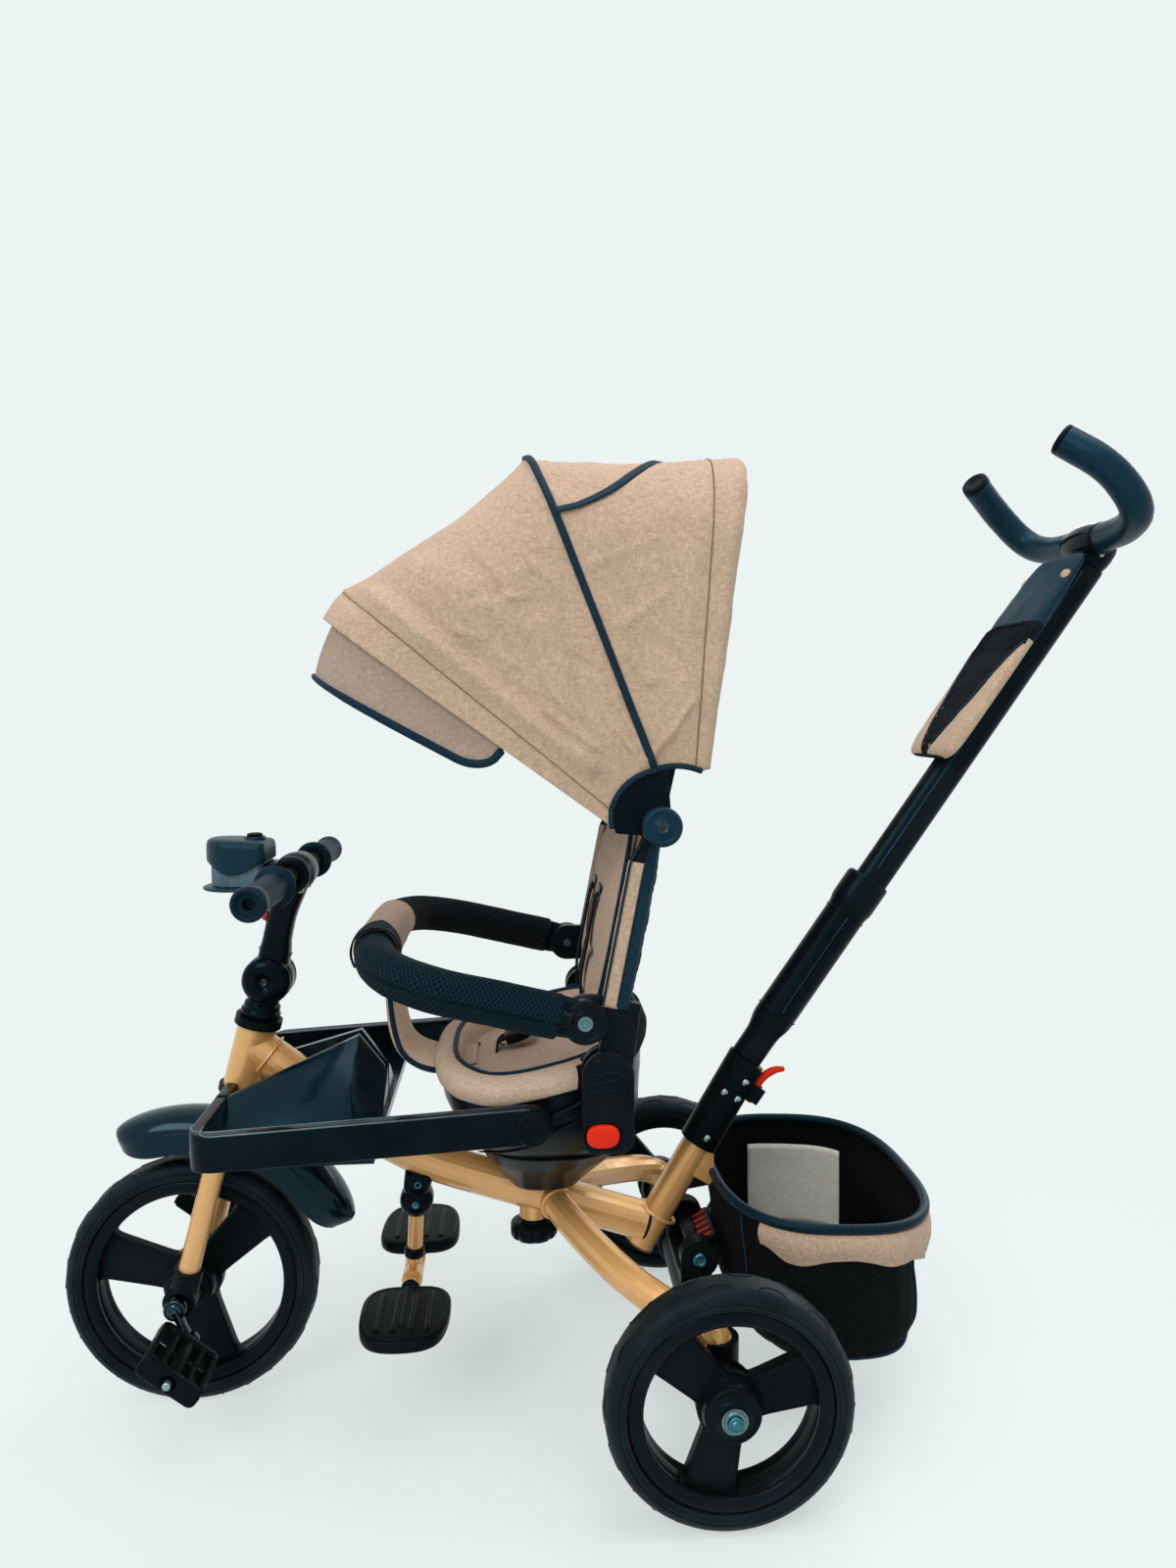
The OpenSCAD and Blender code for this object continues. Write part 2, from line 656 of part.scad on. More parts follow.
// padded liner: a thick cushion in the bowl, rolled over the rim, with a pommel at the front
liner_roll = 7;
module seat_liner() color(beige) from_axle() {
    loft([
        level(seat_x - 12, base_top + seat_wall + gap, 76, 98),
        level(seat_x - 6, base_top + 30, 96 - seat_wall, 126 - seat_wall),
        level(seat_x, base_top + 56, seat_reach - 4 - seat_wall, seat_half - 6 - seat_wall),
        climbing(seat_x, seat_rim_z + gap, seat_reach - 1 - seat_wall, seat_half - 1 - seat_wall),
        climbing(seat_x, seat_rim_z + gap + 0.1, seat_reach, seat_half),
        climbing(seat_x, seat_rim_z + liner_roll, seat_reach, seat_half),
        climbing(seat_x - 6, seat_rim_z + liner_roll, seat_reach - 16, seat_half - 22),
        level(seat_x, base_top + 60, seat_reach - 30, seat_half - 30),
        level(seat_x - 4, base_top + 48, seat_reach - 46, seat_half - 46)]);
    // pommel standing at the front of the seat
    loft([
        level(pommel_x - 4, seat_rim_z - 20, 10, 30),
        level(pommel_x + 3, seat_rim_z - 8, 21, 40),
        level(pommel_x + 3, seat_rim_z + 3, 21, 44),
        level(pommel_x - 3, seat_rim_z + liner_roll + 3, 32, 46),
        level(pommel_x + 6, seat_rim_z + 48, 22, 42),
        level(pommel_x + 12, seat_rim_z + 64, 10, 34)]);
}
pommel_x = seat_x + seat_reach + 21.6;
module seat_base() color(dark) from_axle() difference() {
    loft([
        level(seat_x - 4, 246, 42, 42),
        level(seat_x - 6, 272, 60, 66),
        level(seat_x - 8, 292, 76, 90),
        level(seat_x - 12, base_top - gap, 88, 112)]);
    main_tube_cutter(gap);
}

recline_at = [112, 0, 408];
slot_in = 171;
slot_out = slot_in + upright_t + 2 * gap;
wall_out = slot_out + 5;
button_at = [118, 0, 372];
press_r = 10;
press_spread = 8;
module recline_button_shape(grow) {
    for (x = [-1, 1]) translate([x * press_spread / 2, 0]) circle(r = press_r + grow);
    square([press_spread, 2 * (press_r + grow)], center = true);
}
module recline_housings() color(dark) from_axle() both_sides() difference() {
    union() {
        for (y = [slot_in - 11, slot_out]) across([recline_at[0], y, recline_at[2] - 2])
            linear_extrude(y < slot_in ? 11 : 5) rotate(90) stadium(104, 52);
        translate([recline_at[0] - 22, slot_in - 1, 356]) cube([44, slot_out - slot_in + 2, 28]);
        across([recline_at[0], slot_in - 1, recline_at[2]])
            cylinder(r = recline_pin_r, h = slot_out - slot_in + 2);
        translate([recline_at[0] - 22, 100, 362]) cube([44, slot_in - 101, 34]);
    }
    seat_outer(gap);
    across([button_at[0], slot_out - 10, button_at[2]]) linear_extrude(30) recline_button_shape(gap);
}
module recline_button(side) color(red) from_axle() mirror([0, side < 0 ? 1 : 0, 0])
    across([button_at[0], slot_out - 4, button_at[2]]) linear_extrude(13) recline_button_shape(0);
module recline_button_left() recline_button(1);
module recline_button_right() recline_button(-1);

// ---------- backrest and safety bar ----------

back_len = 281;
function back_point(s, off = 0) = recline_at + [-s * sin(back_lean) + off * cos(back_lean), 0,
    s * cos(back_lean) + off * sin(back_lean)];
module on_back() { from_axle() translate(recline_at) rotate([0, -back_lean, 0]) children(); }
bar_pivot = [135.7, 0, 490.3];
bar_pin_r = 5;
upright_y = slot_in + gap;

module backrest_frame() color(dark) {
    both_sides() difference() {
        union() {
            on_back() across([0, upright_y, 0]) cylinder(d = 42, h = upright_t);
            on_back() translate([-upright_w / 2, upright_y, 0]) cube([upright_w, upright_t, back_len]);
            from_axle() across(bar_pivot + [0, upright_y, 0]) cylinder(d = 46, h = upright_t);
            from_axle() translate([back_point(90)[0], upright_y, bar_pivot[2] - 20])
                cube([bar_pivot[0] - back_point(90)[0], upright_t, 40]);
            on_back() across([0, upright_y, back_len]) cylinder(d = 40, h = upright_t);
        }
        on_back() across([0, 0, 0]) cylinder(r = recline_pin_r + fit, h = 300);
        from_axle() across(bar_pivot) cylinder(r = bar_pin_r, h = 300);
        on_back() across([0, upright_y - cut, back_len])
            cylinder(r = hub_pin_r + fit, h = upright_t + 2 * cut);
    }
    for (s = [60, back_len - 36]) on_back()
        translate([-4, -upright_y - 1, s]) cube([8, 2 * (upright_y + 1), 22]);
}
hub_pin_r = 6;

module back_pad() color(beige) on_back() difference() {
    loft([for (q = [[3, 48, 5, 94], [2, 57, back_pad_t / 2 - 3, 116], [-2, 120, back_pad_t / 2, 140],
            [-2, back_len - 22, back_pad_t / 2, 140], [-2, back_len + 2, 5, 118]])
        level(q[0], q[1], q[2], q[3], 0, 4)]);
    for (s = [60, back_len - 36]) translate([-4 - gap, -upright_y, s - gap])
        cube([8 + 2 * gap, 2 * upright_y, 22 + 2 * gap]);
}

bar_slope = 0.235;
bar_front_x = 356;
bar_y = 194;
function bar_at(x, y) = [x, y, bar_pivot[2] + bar_slope * (x - bar_pivot[0])];
bar_path = rounded([bar_at(bar_pivot[0] + 14, bar_y), bar_at(bar_front_x, bar_y),
    bar_at(bar_front_x, -bar_y), bar_at(bar_pivot[0] + 14, -bar_y)], 128, 9);
bar_normal = unit([-bar_slope, 0, 1]);
eye_y = upright_y + upright_t + gap;
eye_t = 14;
module safety_bar() color(dark) from_axle() {
    difference() {
        union() {
            sweep(bar_path, ring(bar_core_d / 2, bar_core_d / 2, 12), bar_normal);
            both_sides() across(bar_pivot + [0, eye_y, 0]) cylinder(d = 44, h = eye_t);
        }
        across(bar_pivot) cylinder(r = bar_pin_r + fit, h = 500, center = true);
    }
}
function part_of(path, from, to) = [for (i = [from:to]) path[i]];
pad_start = [for (side = [1, -1]) bar_at(bar_pivot[0] + 28, side * bar_y)];
module bar_padding() from_axle() {
    half = part_of(bar_path, 1, 8);
    arm = concat([pad_start[0]], half);
    both_sides() color(dark) difference() {
        sweep(arm, ring(bar_foam_d / 2, bar_foam_d / 2, 16), bar_normal);
        sweep(bar_path, ring(bar_core_d / 2 + gap, bar_core_d / 2 + gap, 12), bar_normal);
    }
    color(beige) difference() {
        sweep(part_of(bar_path, 9, len(bar_path) - 10), ring(bar_sleeve_d / 2, bar_sleeve_d / 2, 16),
            bar_normal);
        sweep(bar_path, ring(bar_core_d / 2 + gap, bar_core_d / 2 + gap, 12), bar_normal);
    }
}
module bar_bolts() color(steel) from_axle() both_sides() {
    across(bar_pivot + [0, upright_y, 0]) cylinder(r = bar_pin_r, h = eye_y + eye_t + gap - upright_y);
    across(bar_pivot + [0, eye_y + eye_t + gap, 0]) cylinder(d = 15, h = 4);
}

// ---------- canopy ----------

hub_at = back_point(back_len);
rear_angle = 102.5;
mid_angle = 71;
front_angle = 37;
visor_angle = 20;
crown_rise = 4;
corner_ease = 105;
hub_plate_y = upright_y + upright_t + gap;
bow_low = 120;

function polar(q) = [q[0] * cos(q[1]), 0, q[0] * sin(q[1])];
// arch from a hem point up one side, over and down the other; hem and top are [reach, angle]
function arch(hem, top, half, drop) =
    let (low = polar(hem), high = polar(top), way = unit(high - low))
    let (left = high - way * drop + [0, -half, 0], right = high - way * drop + [0, half, 0])
    [for (p = rounded([low + [0, -half, 0], left, high + way * (crown_rise - drop), right,
            low + [0, half, 0]], corner_ease, 6)) hub_at + p];

module bow(a, r, half) {
    sweep(arch([bow_low, a], [r, a], half, cloth_t + bow_d / 2 + gap), ring(bow_d / 2, bow_d / 2, 8),
        [-sin(a), 0, cos(a)]);
}
module canopy_hubs() color(dark) from_axle() both_sides() {
    across(hub_at + [0, lane_2 - 2, 0]) cylinder(r = hub_pin_r, h = hub_plate_y + 1 - lane_2 + 2);
    across(hub_at + [0, lane_2 - 2 - gap, 0]) cylinder(r = hub_pin_r + 3, h = 2);
    across(hub_at + [0, hub_plate_y, 0]) cylinder(d = 40, h = 12);
}

lane_t = 3;
lane_0 = upright_y - gap - lane_t;
lane_1 = lane_0 - gap - lane_t;
lane_2 = lane_1 - gap - lane_t;
module bow_with_ears(a, r, lane) {
    bow(a, r, lane + lane_t / 2 - 0.2);
    both_sides() difference() {
        union() {
            across(hub_at + [0, lane, 0]) cylinder(d = 24, h = lane_t);
            translate(hub_at + [0, lane + lane_t / 2, 0]) rotate([0, -a, 0])
                translate([bow_low / 2 + 8, 0, 0]) cube([bow_low, lane_t, bow_d], center = true);
        }
        across(hub_at + [0, lane - cut, 0]) cylinder(r = hub_pin_r + fit, h = lane_t + 2 * cut);
    }
}
module rear_bow() color(dark) from_axle() bow_with_ears(rear_angle, rear_bow_r, lane_0);
module mid_bow() color(dark) from_axle() bow_with_ears(mid_angle, mid_bow_r, lane_1);
module front_bow() color(dark) from_axle() bow_with_ears(front_angle, front_bow_r, lane_2);

sag = 10;
seam = 0.2;
rear_hem = [68, 126.5];
mid_hem = [56, 84];
front_hem = [46, 5];
// cloth between two edges, each [hem, top]; dip is its sag between the bows
module fan(from, to, n, dip) {
    loft([for (i = [0:n])
        let (t = i / n, hem = mix(from[0], to[0], t))
        let (top = mix(from[1], to[1], t) - [4 * dip * t * (1 - t), 0])
        let (inner = arch(hem, top, canopy_half - cloth_t, cloth_t))
        concat(arch(hem, top, canopy_half, 0), [for (k = [len(inner) - 1:-1:0]) inner[k]])],
        hollow = true);
}
module canopy_rear_panel() color(beige) from_axle()
    fan([mid_hem, [mid_bow_r, mid_angle + seam]], [rear_hem, [rear_bow_r, rear_angle]], 6, sag);
module canopy_front_panel() color(beige) from_axle()
    fan([front_hem, [front_bow_r, front_angle]],
        [mid_hem - [0, 1], [mid_bow_r, mid_angle - seam]], 6, sag);
module visor() color(beige) from_axle()
    fan([[182, visor_angle - 2], [front_bow_r - 16, visor_angle + 3]],
        [[182, front_angle - 4.8], [front_bow_r, front_angle - 0.06]], 4, 0);

// ---------- rear wheels, axle and brake ----------

rear_hub_w = rear_tyre_w + 10;
module rear_axle() color(steel) from_axle() {
    across([0, 0, rear_r]) cylinder(r = axle_r, h = 2 * (rear_y + rear_hub_w / 2 + 3), center = true);
    both_sides() across([0, rear_y + rear_hub_w / 2 + gap, rear_r]) cylinder(d = 26, h = 3);
}
module rear_wheel_at(side) { from_axle() translate([0, side * rear_y, rear_r]) children(); }
module rear_rim_left() color(dark) rear_wheel_at(1)
    rim(rear_r - tyre_t, rear_tyre_w - 4, rear_hub_w, axle_r + fit, 44);
module rear_rim_right() color(dark) rear_wheel_at(-1)
    rim(rear_r - tyre_t, rear_tyre_w - 4, rear_hub_w, axle_r + fit, 44);
module rear_tyre_left() color(black) rear_wheel_at(1) tyre(rear_r, rear_tyre_w);
module rear_tyre_right() color(black) rear_wheel_at(-1) tyre(rear_r, rear_tyre_w);

brake_pin = [-4, 0, 168];
brake_reach = 30;
module brake_housing() color(dark) from_axle() {
    difference() {
        union() {
            across([0, 0, rear_r]) cylinder(d = 46, h = 120, center = true);
            translate([-18, -60, rear_r]) cube([36, 120, 28]);
            both_sides() across([brake_pin[0], 42, brake_pin[2]]) cylinder(d = 44, h = 18);
        }
        across([0, 0, rear_r]) cylinder(r = axle_r + fit, h = 130, center = true);
        translate([-60, -42, rear_r + 24]) cube([80, 84, 60]);
    }
    across(brake_pin) cylinder(r = 5, h = 90, center = true);
}
module brake_pedal() color(red) from_axle() difference() {
    union() {
        across(brake_pin) cylinder(d = 20, h = 80, center = true);
        translate(brake_pin) rotate([0, 28, 0])
            translate([-brake_reach, -36, -4]) cube([brake_reach + 2, 72, 8]);
    }
    across(brake_pin) cylinder(r = 5 + fit, h = 100, center = true);
}

// ---------- basket ----------

basket_x = -147;
basket_z = 246;
basket_tip = -0.04;
basket_wall = 5;
rim_front = [basket_x + basket_reach - 0.6, 0, basket_z - basket_tip * basket_reach];
module basket_rim() color(dark) from_axle() {
    n = 28;
    outline = level(basket_x, basket_z, basket_reach, basket_half, basket_tip, 2.8, n);
    sides = ring(rim_wire_d / 2, rim_wire_d / 2, 8);
    rings = [for (i = [0:n - 1])
        let (t = unit(outline[(i + 1) % n] - outline[(i + n - 1) % n]))
        let (side = unit(cross([0, 0, 1], t)), lift = cross(t, side))
        [for (q = sides) outline[i] + side * q[0] + lift * q[1]]];
    m = len(sides);
    polyhedron([for (r = rings) each r], [for (i = [0:n - 1], k = [0:m - 1])
        let (j = (i + 1) % n, l = (k + 1) % m)
        [i * m + k, j * m + k, j * m + l, i * m + l]], convexity = 4);
}
basket_top = basket_z - rim_wire_d / 2 - gap;
function basket_outer(grow) = [
    level(basket_x - 10, basket_z - basket_depth, basket_reach - 36 + grow, basket_half - 26 + grow, 0, 3),
    level(basket_x - 6, basket_z - basket_depth + 40, basket_reach - 14 + grow, basket_half - 8 + grow,
        0, 3),
    level(basket_x - 2, basket_z - 60, basket_reach - 4 + grow, basket_half + grow, basket_tip / 2, 3),
    level(basket_x, basket_top, basket_reach + 1 + grow, basket_half + 1 + grow, basket_tip, 2.8)];
module basket() color(dark) from_axle() loft(concat(basket_outer(0), [
    level(basket_x, basket_top, basket_reach - basket_wall, basket_half - basket_wall, basket_tip, 2.8),
    level(basket_x - 2, basket_z - 60, basket_reach - 4 - basket_wall, basket_half - basket_wall,
        basket_tip / 2, 3),
    level(basket_x - 10, basket_z - basket_depth + basket_wall, basket_reach - 42,
        basket_half - 32, 0, 3)]));

// ---------- push bar ----------

sleeve_from = 142;
lever_x = -35;
lever_pin_r = 3;
lever_ear_t = 4;
module push_sleeve() color(dark) {
    sleeve_body();
    on_push_bar() {
        for (side = [-1, 1]) translate([lever_x + 7, side * (lever_t + lever_ear_t + 2 * gap) / 2, lever_s])
            cube([26, lever_ear_t, 20], center = true);
        translate([lever_x, 0, lever_s]) rotate([90, 0, 0])
            cylinder(r = lever_pin_r, h = lever_t + 2 * lever_ear_t, center = true);
    }
}
module sleeve_body() difference() {
    on_socket() translate([0, 0, sleeve_from]) linear_extrude(160) stadium(46, socket_d + 6);
    on_socket() rod(socket_d + 2 * fit, 0, sleeve_from + socket_grip + gap);
    on_push_bar() translate([-100, -60, 0]) cube([200, 120, 200]);
}
lever_s = -30;
lever_t = 10;
module latch_lever() color(red) on_push_bar() translate([lever_x, lever_t / 2, lever_s])
    rotate([90, 0, 0]) linear_extrude(lever_t) difference() {
        union() {
            circle(r = lever_pin_r + 3);
            polygon([[0, -5], [5, 5], [-2, 20], [-15, 35], [-22, 38], [-23, 33], [-10, 20], [-6, 0]]);
        }
        circle(r = lever_pin_r + fit);
    }
neck_len = 44;
module push_casing() color(dark) on_push_bar() difference() {
    union() {
        linear_extrude(neck_len + 20) stadium(casing_w - 10, casing_t - 6);
        translate([0, 0, neck_len]) linear_extrude(casing_len - neck_len) stadium(casing_w, casing_t);
        translate([0, 0, casing_len - 38]) linear_extrude(38) stadium(casing_w + 5, casing_t + 5);
    }
    translate([0, 0, tube_stop]) linear_extrude(casing_len) stadium(tube_w + 2 * gap, tube_t + 2 * gap);
}
tube_stop = 6;
slide_travel = 120;
tube_from = tube_stop + slide_travel + 1;
module push_tube() color(dark) on_push_bar() difference() {
    translate([0, 0, tube_from]) linear_extrude(push_len - 20 - tube_from) stadium(tube_w, tube_t);
    for (side = [-1, 1]) translate([0, side * tube_t / 2, casing_len + 20])
        rod(3, 0, push_len - casing_len - 60);
}
module push_bracket() color(black) on_push_bar() {
    rod(bracket_d, push_len - 20, push_len + bracket_up);
    rotate([0, push_lean, 0]) translate([horn_at[0], 0, horn_at[2]] + unturned_top) rotate([90, 0, 0])
        cylinder(d = horn_core_d, h = 2 * horn_core_y, center = true);
}
unturned_top = push_dir * push_len;
horn_core_d = 18;
horn_core_y = 66;
horn_at = [8, 0, 10];
horn_root = bracket_d / 2 + gap;
horn_path = [for (p = rounded([[0, horn_root, 0], [0, 84, 2], [14, 124, 16], [52, 130, 58],
    [93, 106, 91]], 34, 5)) push_top + horn_at + p];
module push_grips() color(dark) from_axle() both_sides() difference() {
    sweep(horn_path, ring(horn_d / 2, horn_d / 2, 16), [0.57, 0, 0.82]);
    translate(horn_path[0] + [-horn_d, -horn_d, -horn_d]) cube([2 * horn_d, horn_d, 2 * horn_d]);
    across(push_top + horn_at) cylinder(d = horn_core_d + 2 * gap, h = horn_core_y + gap);
}
pouch_w = 124;
pouch_t = 18;
pouch_len = 285;
pouch_at = [tube_w / 2 + gap + pouch_t / 2 + 0.5, 0, push_len - 30 - pouch_len];
module push_pouch() color(beige) on_push_bar() translate(pouch_at) loft([
        level(0, 0, pouch_t / 2 - 4, pouch_w / 2 - 8, 0, 4),
        level(0, 14, pouch_t / 2 + 0.5, pouch_w / 2, 0, 4),
        level(0, pouch_len * 0.6, pouch_t / 2, pouch_w / 2, 0, 4),
        level(-2, pouch_len, pouch_t / 2 - 5, pouch_w / 2 - 14, 0, 4)]);

main_frame();
headset_cups();
fork();
fork_boots();
front_fender();
crank();
pedal_left();
pedal_right();
front_rim();
front_tyre();
stem_knuckle();
stem();
handlebar();
grips();
stem_button();
headlight_body();
headlight_lens();
headlight_button();
console_tray();
guard_rails();
rail_knobs();
footrest_bracket();
footrest_strut();
footrest_pads();
frame_knob();
seat_base();
seat_shell();
seat_liner();
recline_housings();
recline_button_left();
recline_button_right();
backrest_frame();
back_pad();
safety_bar();
bar_padding();
bar_bolts();
canopy_hubs();
rear_bow();
mid_bow();
front_bow();
canopy_rear_panel();
canopy_front_panel();
visor();
rear_axle();
rear_rim_left();
rear_rim_right();
rear_tyre_left();
rear_tyre_right();
brake_housing();
brake_pedal();
axle_caps();
basket_rim();
basket();
push_sleeve();
latch_lever();
push_casing();
push_tube();
push_bracket();
push_grips();
push_pouch();
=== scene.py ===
# Children's push tricycle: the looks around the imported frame. Metres, +X forward, +Y the rider's left.
import bmesh
import bpy
import json
import numpy as np
from math import cos, pi, radians, sin
from mathutils import Matrix, Vector, noise


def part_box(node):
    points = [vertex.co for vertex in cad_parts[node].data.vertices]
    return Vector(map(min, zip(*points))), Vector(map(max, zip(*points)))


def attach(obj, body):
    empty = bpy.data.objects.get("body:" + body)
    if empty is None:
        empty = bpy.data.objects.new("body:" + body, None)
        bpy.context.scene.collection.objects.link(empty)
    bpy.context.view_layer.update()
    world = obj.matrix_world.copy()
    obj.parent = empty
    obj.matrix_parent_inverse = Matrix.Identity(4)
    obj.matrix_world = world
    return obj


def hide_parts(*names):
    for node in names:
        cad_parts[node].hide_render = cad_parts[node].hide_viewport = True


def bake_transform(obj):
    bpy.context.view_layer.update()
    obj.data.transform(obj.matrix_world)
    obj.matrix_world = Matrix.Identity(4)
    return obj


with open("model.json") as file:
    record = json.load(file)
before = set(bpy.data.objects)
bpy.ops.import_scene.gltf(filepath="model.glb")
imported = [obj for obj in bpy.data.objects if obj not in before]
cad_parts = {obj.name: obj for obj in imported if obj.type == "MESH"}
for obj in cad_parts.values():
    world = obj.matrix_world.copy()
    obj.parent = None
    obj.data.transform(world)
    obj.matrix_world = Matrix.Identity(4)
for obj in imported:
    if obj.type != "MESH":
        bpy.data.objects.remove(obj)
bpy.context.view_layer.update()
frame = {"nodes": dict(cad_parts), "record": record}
NODES = frame["nodes"]


# ---------- where things are ----------
# The rear axle is the zero point of the places in this file, which are written in millimetres.
MM = 0.001
SIDES = ((1, "left"), (-1, "right"))
AXLE_X = sum(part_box("rear_axle"), Vector()).x / 2


def at(x, y, z):
    """A point given in millimetres from the rear axle, as the frame's metres."""
    return Vector((AXLE_X + x * MM, y * MM, z * MM))


def mix(a, b, t):
    """The value between a and b at the share t."""
    return a + (b - a) * t


def smoothstep(t):
    """An eased step from 0 to 1."""
    t = min(max(t, 0.0), 1.0)
    return t * t * (3 - 2 * t)


# ---------- camera, light and floor ----------

BACKDROP = (0.832, 0.905, 0.896)
FLOOR_COLOUR = (0.71, 0.79, 0.78)


def make_camera():
    """The photograph's camera."""
    data = bpy.data.cameras.new("camera")
    data.sensor_width = 36
    data.lens = 23.63
    data.clip_start = 0.01
    yaw, pitch, roll = radians(3.916), radians(3.626), radians(-0.333)
    ahead = Vector((-sin(yaw) * cos(pitch), -cos(yaw) * cos(pitch), -sin(pitch)))
    right = Vector((-cos(yaw), sin(yaw), 0))
    up = right.cross(ahead)
    side = right * cos(roll) + up * sin(roll)
    top = up * cos(roll) - right * sin(roll)
    camera = bpy.data.objects.new("camera", data)
    turn = Matrix((side, top, -ahead)).transposed().to_4x4()
    turn.translation = at(200.1, 1198.0, 791.1)
    camera.matrix_world = turn
    bpy.context.scene.collection.objects.link(camera)
    bpy.context.scene.camera = camera


def make_world():
    """Pale to the camera and in reflections, plain white light on the object."""
    world = bpy.data.worlds.new("studio")
    world.use_nodes = True
    tree = world.node_tree
    tree.nodes.clear()
    path = tree.nodes.new("ShaderNodeLightPath")
    seen = tree.nodes.new("ShaderNodeMath")
    seen.operation = "MAXIMUM"
    tree.links.new(path.outputs["Is Camera Ray"], seen.inputs[0])
    tree.links.new(path.outputs["Is Transmission Ray"], seen.inputs[1])
    either = tree.nodes.new("ShaderNodeMath")
    either.operation = "MAXIMUM"
    tree.links.new(seen.outputs[0], either.inputs[0])
    tree.links.new(path.outputs["Is Glossy Ray"], either.inputs[1])
    light = tree.nodes.new("ShaderNodeBackground")
    light.inputs["Color"].default_value = (0.95, 0.98, 1.0, 1)
    light.inputs["Strength"].default_value = 0.62
    pale = tree.nodes.new("ShaderNodeBackground")
    pale.inputs["Color"].default_value = (*BACKDROP, 1)
    pick = tree.nodes.new("ShaderNodeMixShader")
    out = tree.nodes.new("ShaderNodeOutputWorld")
    tree.links.new(either.outputs[0], pick.inputs[0])
    tree.links.new(light.outputs[0], pick.inputs[1])
    tree.links.new(pale.outputs[0], pick.inputs[2])
    tree.links.new(pick.outputs[0], out.inputs[0])
    bpy.context.scene.world = world


def make_lamp(name, place, target, power, size):
    """A square light at place, turned towards target."""
    data = bpy.data.lights.new(name, "AREA")
    data.energy = power
    data.size = size
    lamp = bpy.data.objects.new(name, data)
    lamp.location = place
    lamp.rotation_euler = (Vector(target) - Vector(place)).to_track_quat("-Z", "Y").to_euler()
    bpy.context.scene.collection.objects.link(lamp)


def make_floor():
    """Pale paper under the object, which catches its shadow."""
    size = 12
    mesh = bpy.data.meshes.new("floor")
    mesh.from_pydata([(-size, -size, 0), (size, -size, 0), (size, size, 0), (-size, size, 0)], [],
                     [(0, 1, 2, 3)])
    floor = bpy.data.objects.new("floor", mesh)
    floor.location.z = -0.0005
    bpy.context.scene.collection.objects.link(floor)
    paint = bpy.data.materials.new("floor_paper")
    paint.use_nodes = True
    tree = paint.node_tree
    shader = tree.nodes["Principled BSDF"]
    shader.inputs["Base Color"].default_value = (*FLOOR_COLOUR, 1)
    shader.inputs["Roughness"].default_value = 0.9
    shader.inputs["Specular IOR Level"].default_value = 0.0
    # away from the object the floor fades into the backdrop
    place = tree.nodes.new("ShaderNodeTexCoord")
    reach = tree.nodes.new("ShaderNodeVectorMath")
    reach.operation = "LENGTH"
    fade = tree.nodes.new("ShaderNodeMapRange")
    fade.interpolation_type = "SMOOTHSTEP"
    fade.inputs["From Min"].default_value = -1.2
    fade.inputs["From Max"].default_value = 1.4
    pale = tree.nodes.new("ShaderNodeEmission")
    pale.inputs["Color"].default_value = (*BACKDROP, 1)
    pick = tree.nodes.new("ShaderNodeMixShader")
    tree.links.new(place.outputs["Object"], reach.inputs[0])
    tree.links.new(reach.outputs["Value"], fade.inputs["Value"])
    tree.links.new(fade.outputs[0], pick.inputs[0])
    tree.links.new(shader.outputs[0], pick.inputs[1])
    tree.links.new(pale.outputs[0], pick.inputs[2])
    tree.links.new(pick.outputs[0], tree.nodes["Material Output"].inputs[0])
    mesh.materials.append(paint)


make_camera()
make_world()
make_lamp("key", (1.6, 2.4, 2.6), (0, 0, 0.5), 55, 1.6)
make_lamp("top", (-0.4, 0.4, 3.0), (0, 0, 0.5), 40, 2.0)
make_lamp("fill", (-2.2, -1.8, 1.8), (0, 0, 0.5), 30, 1.6)
make_floor()
bpy.context.scene.view_settings.view_transform = "Standard"


# ---------- materials ----------

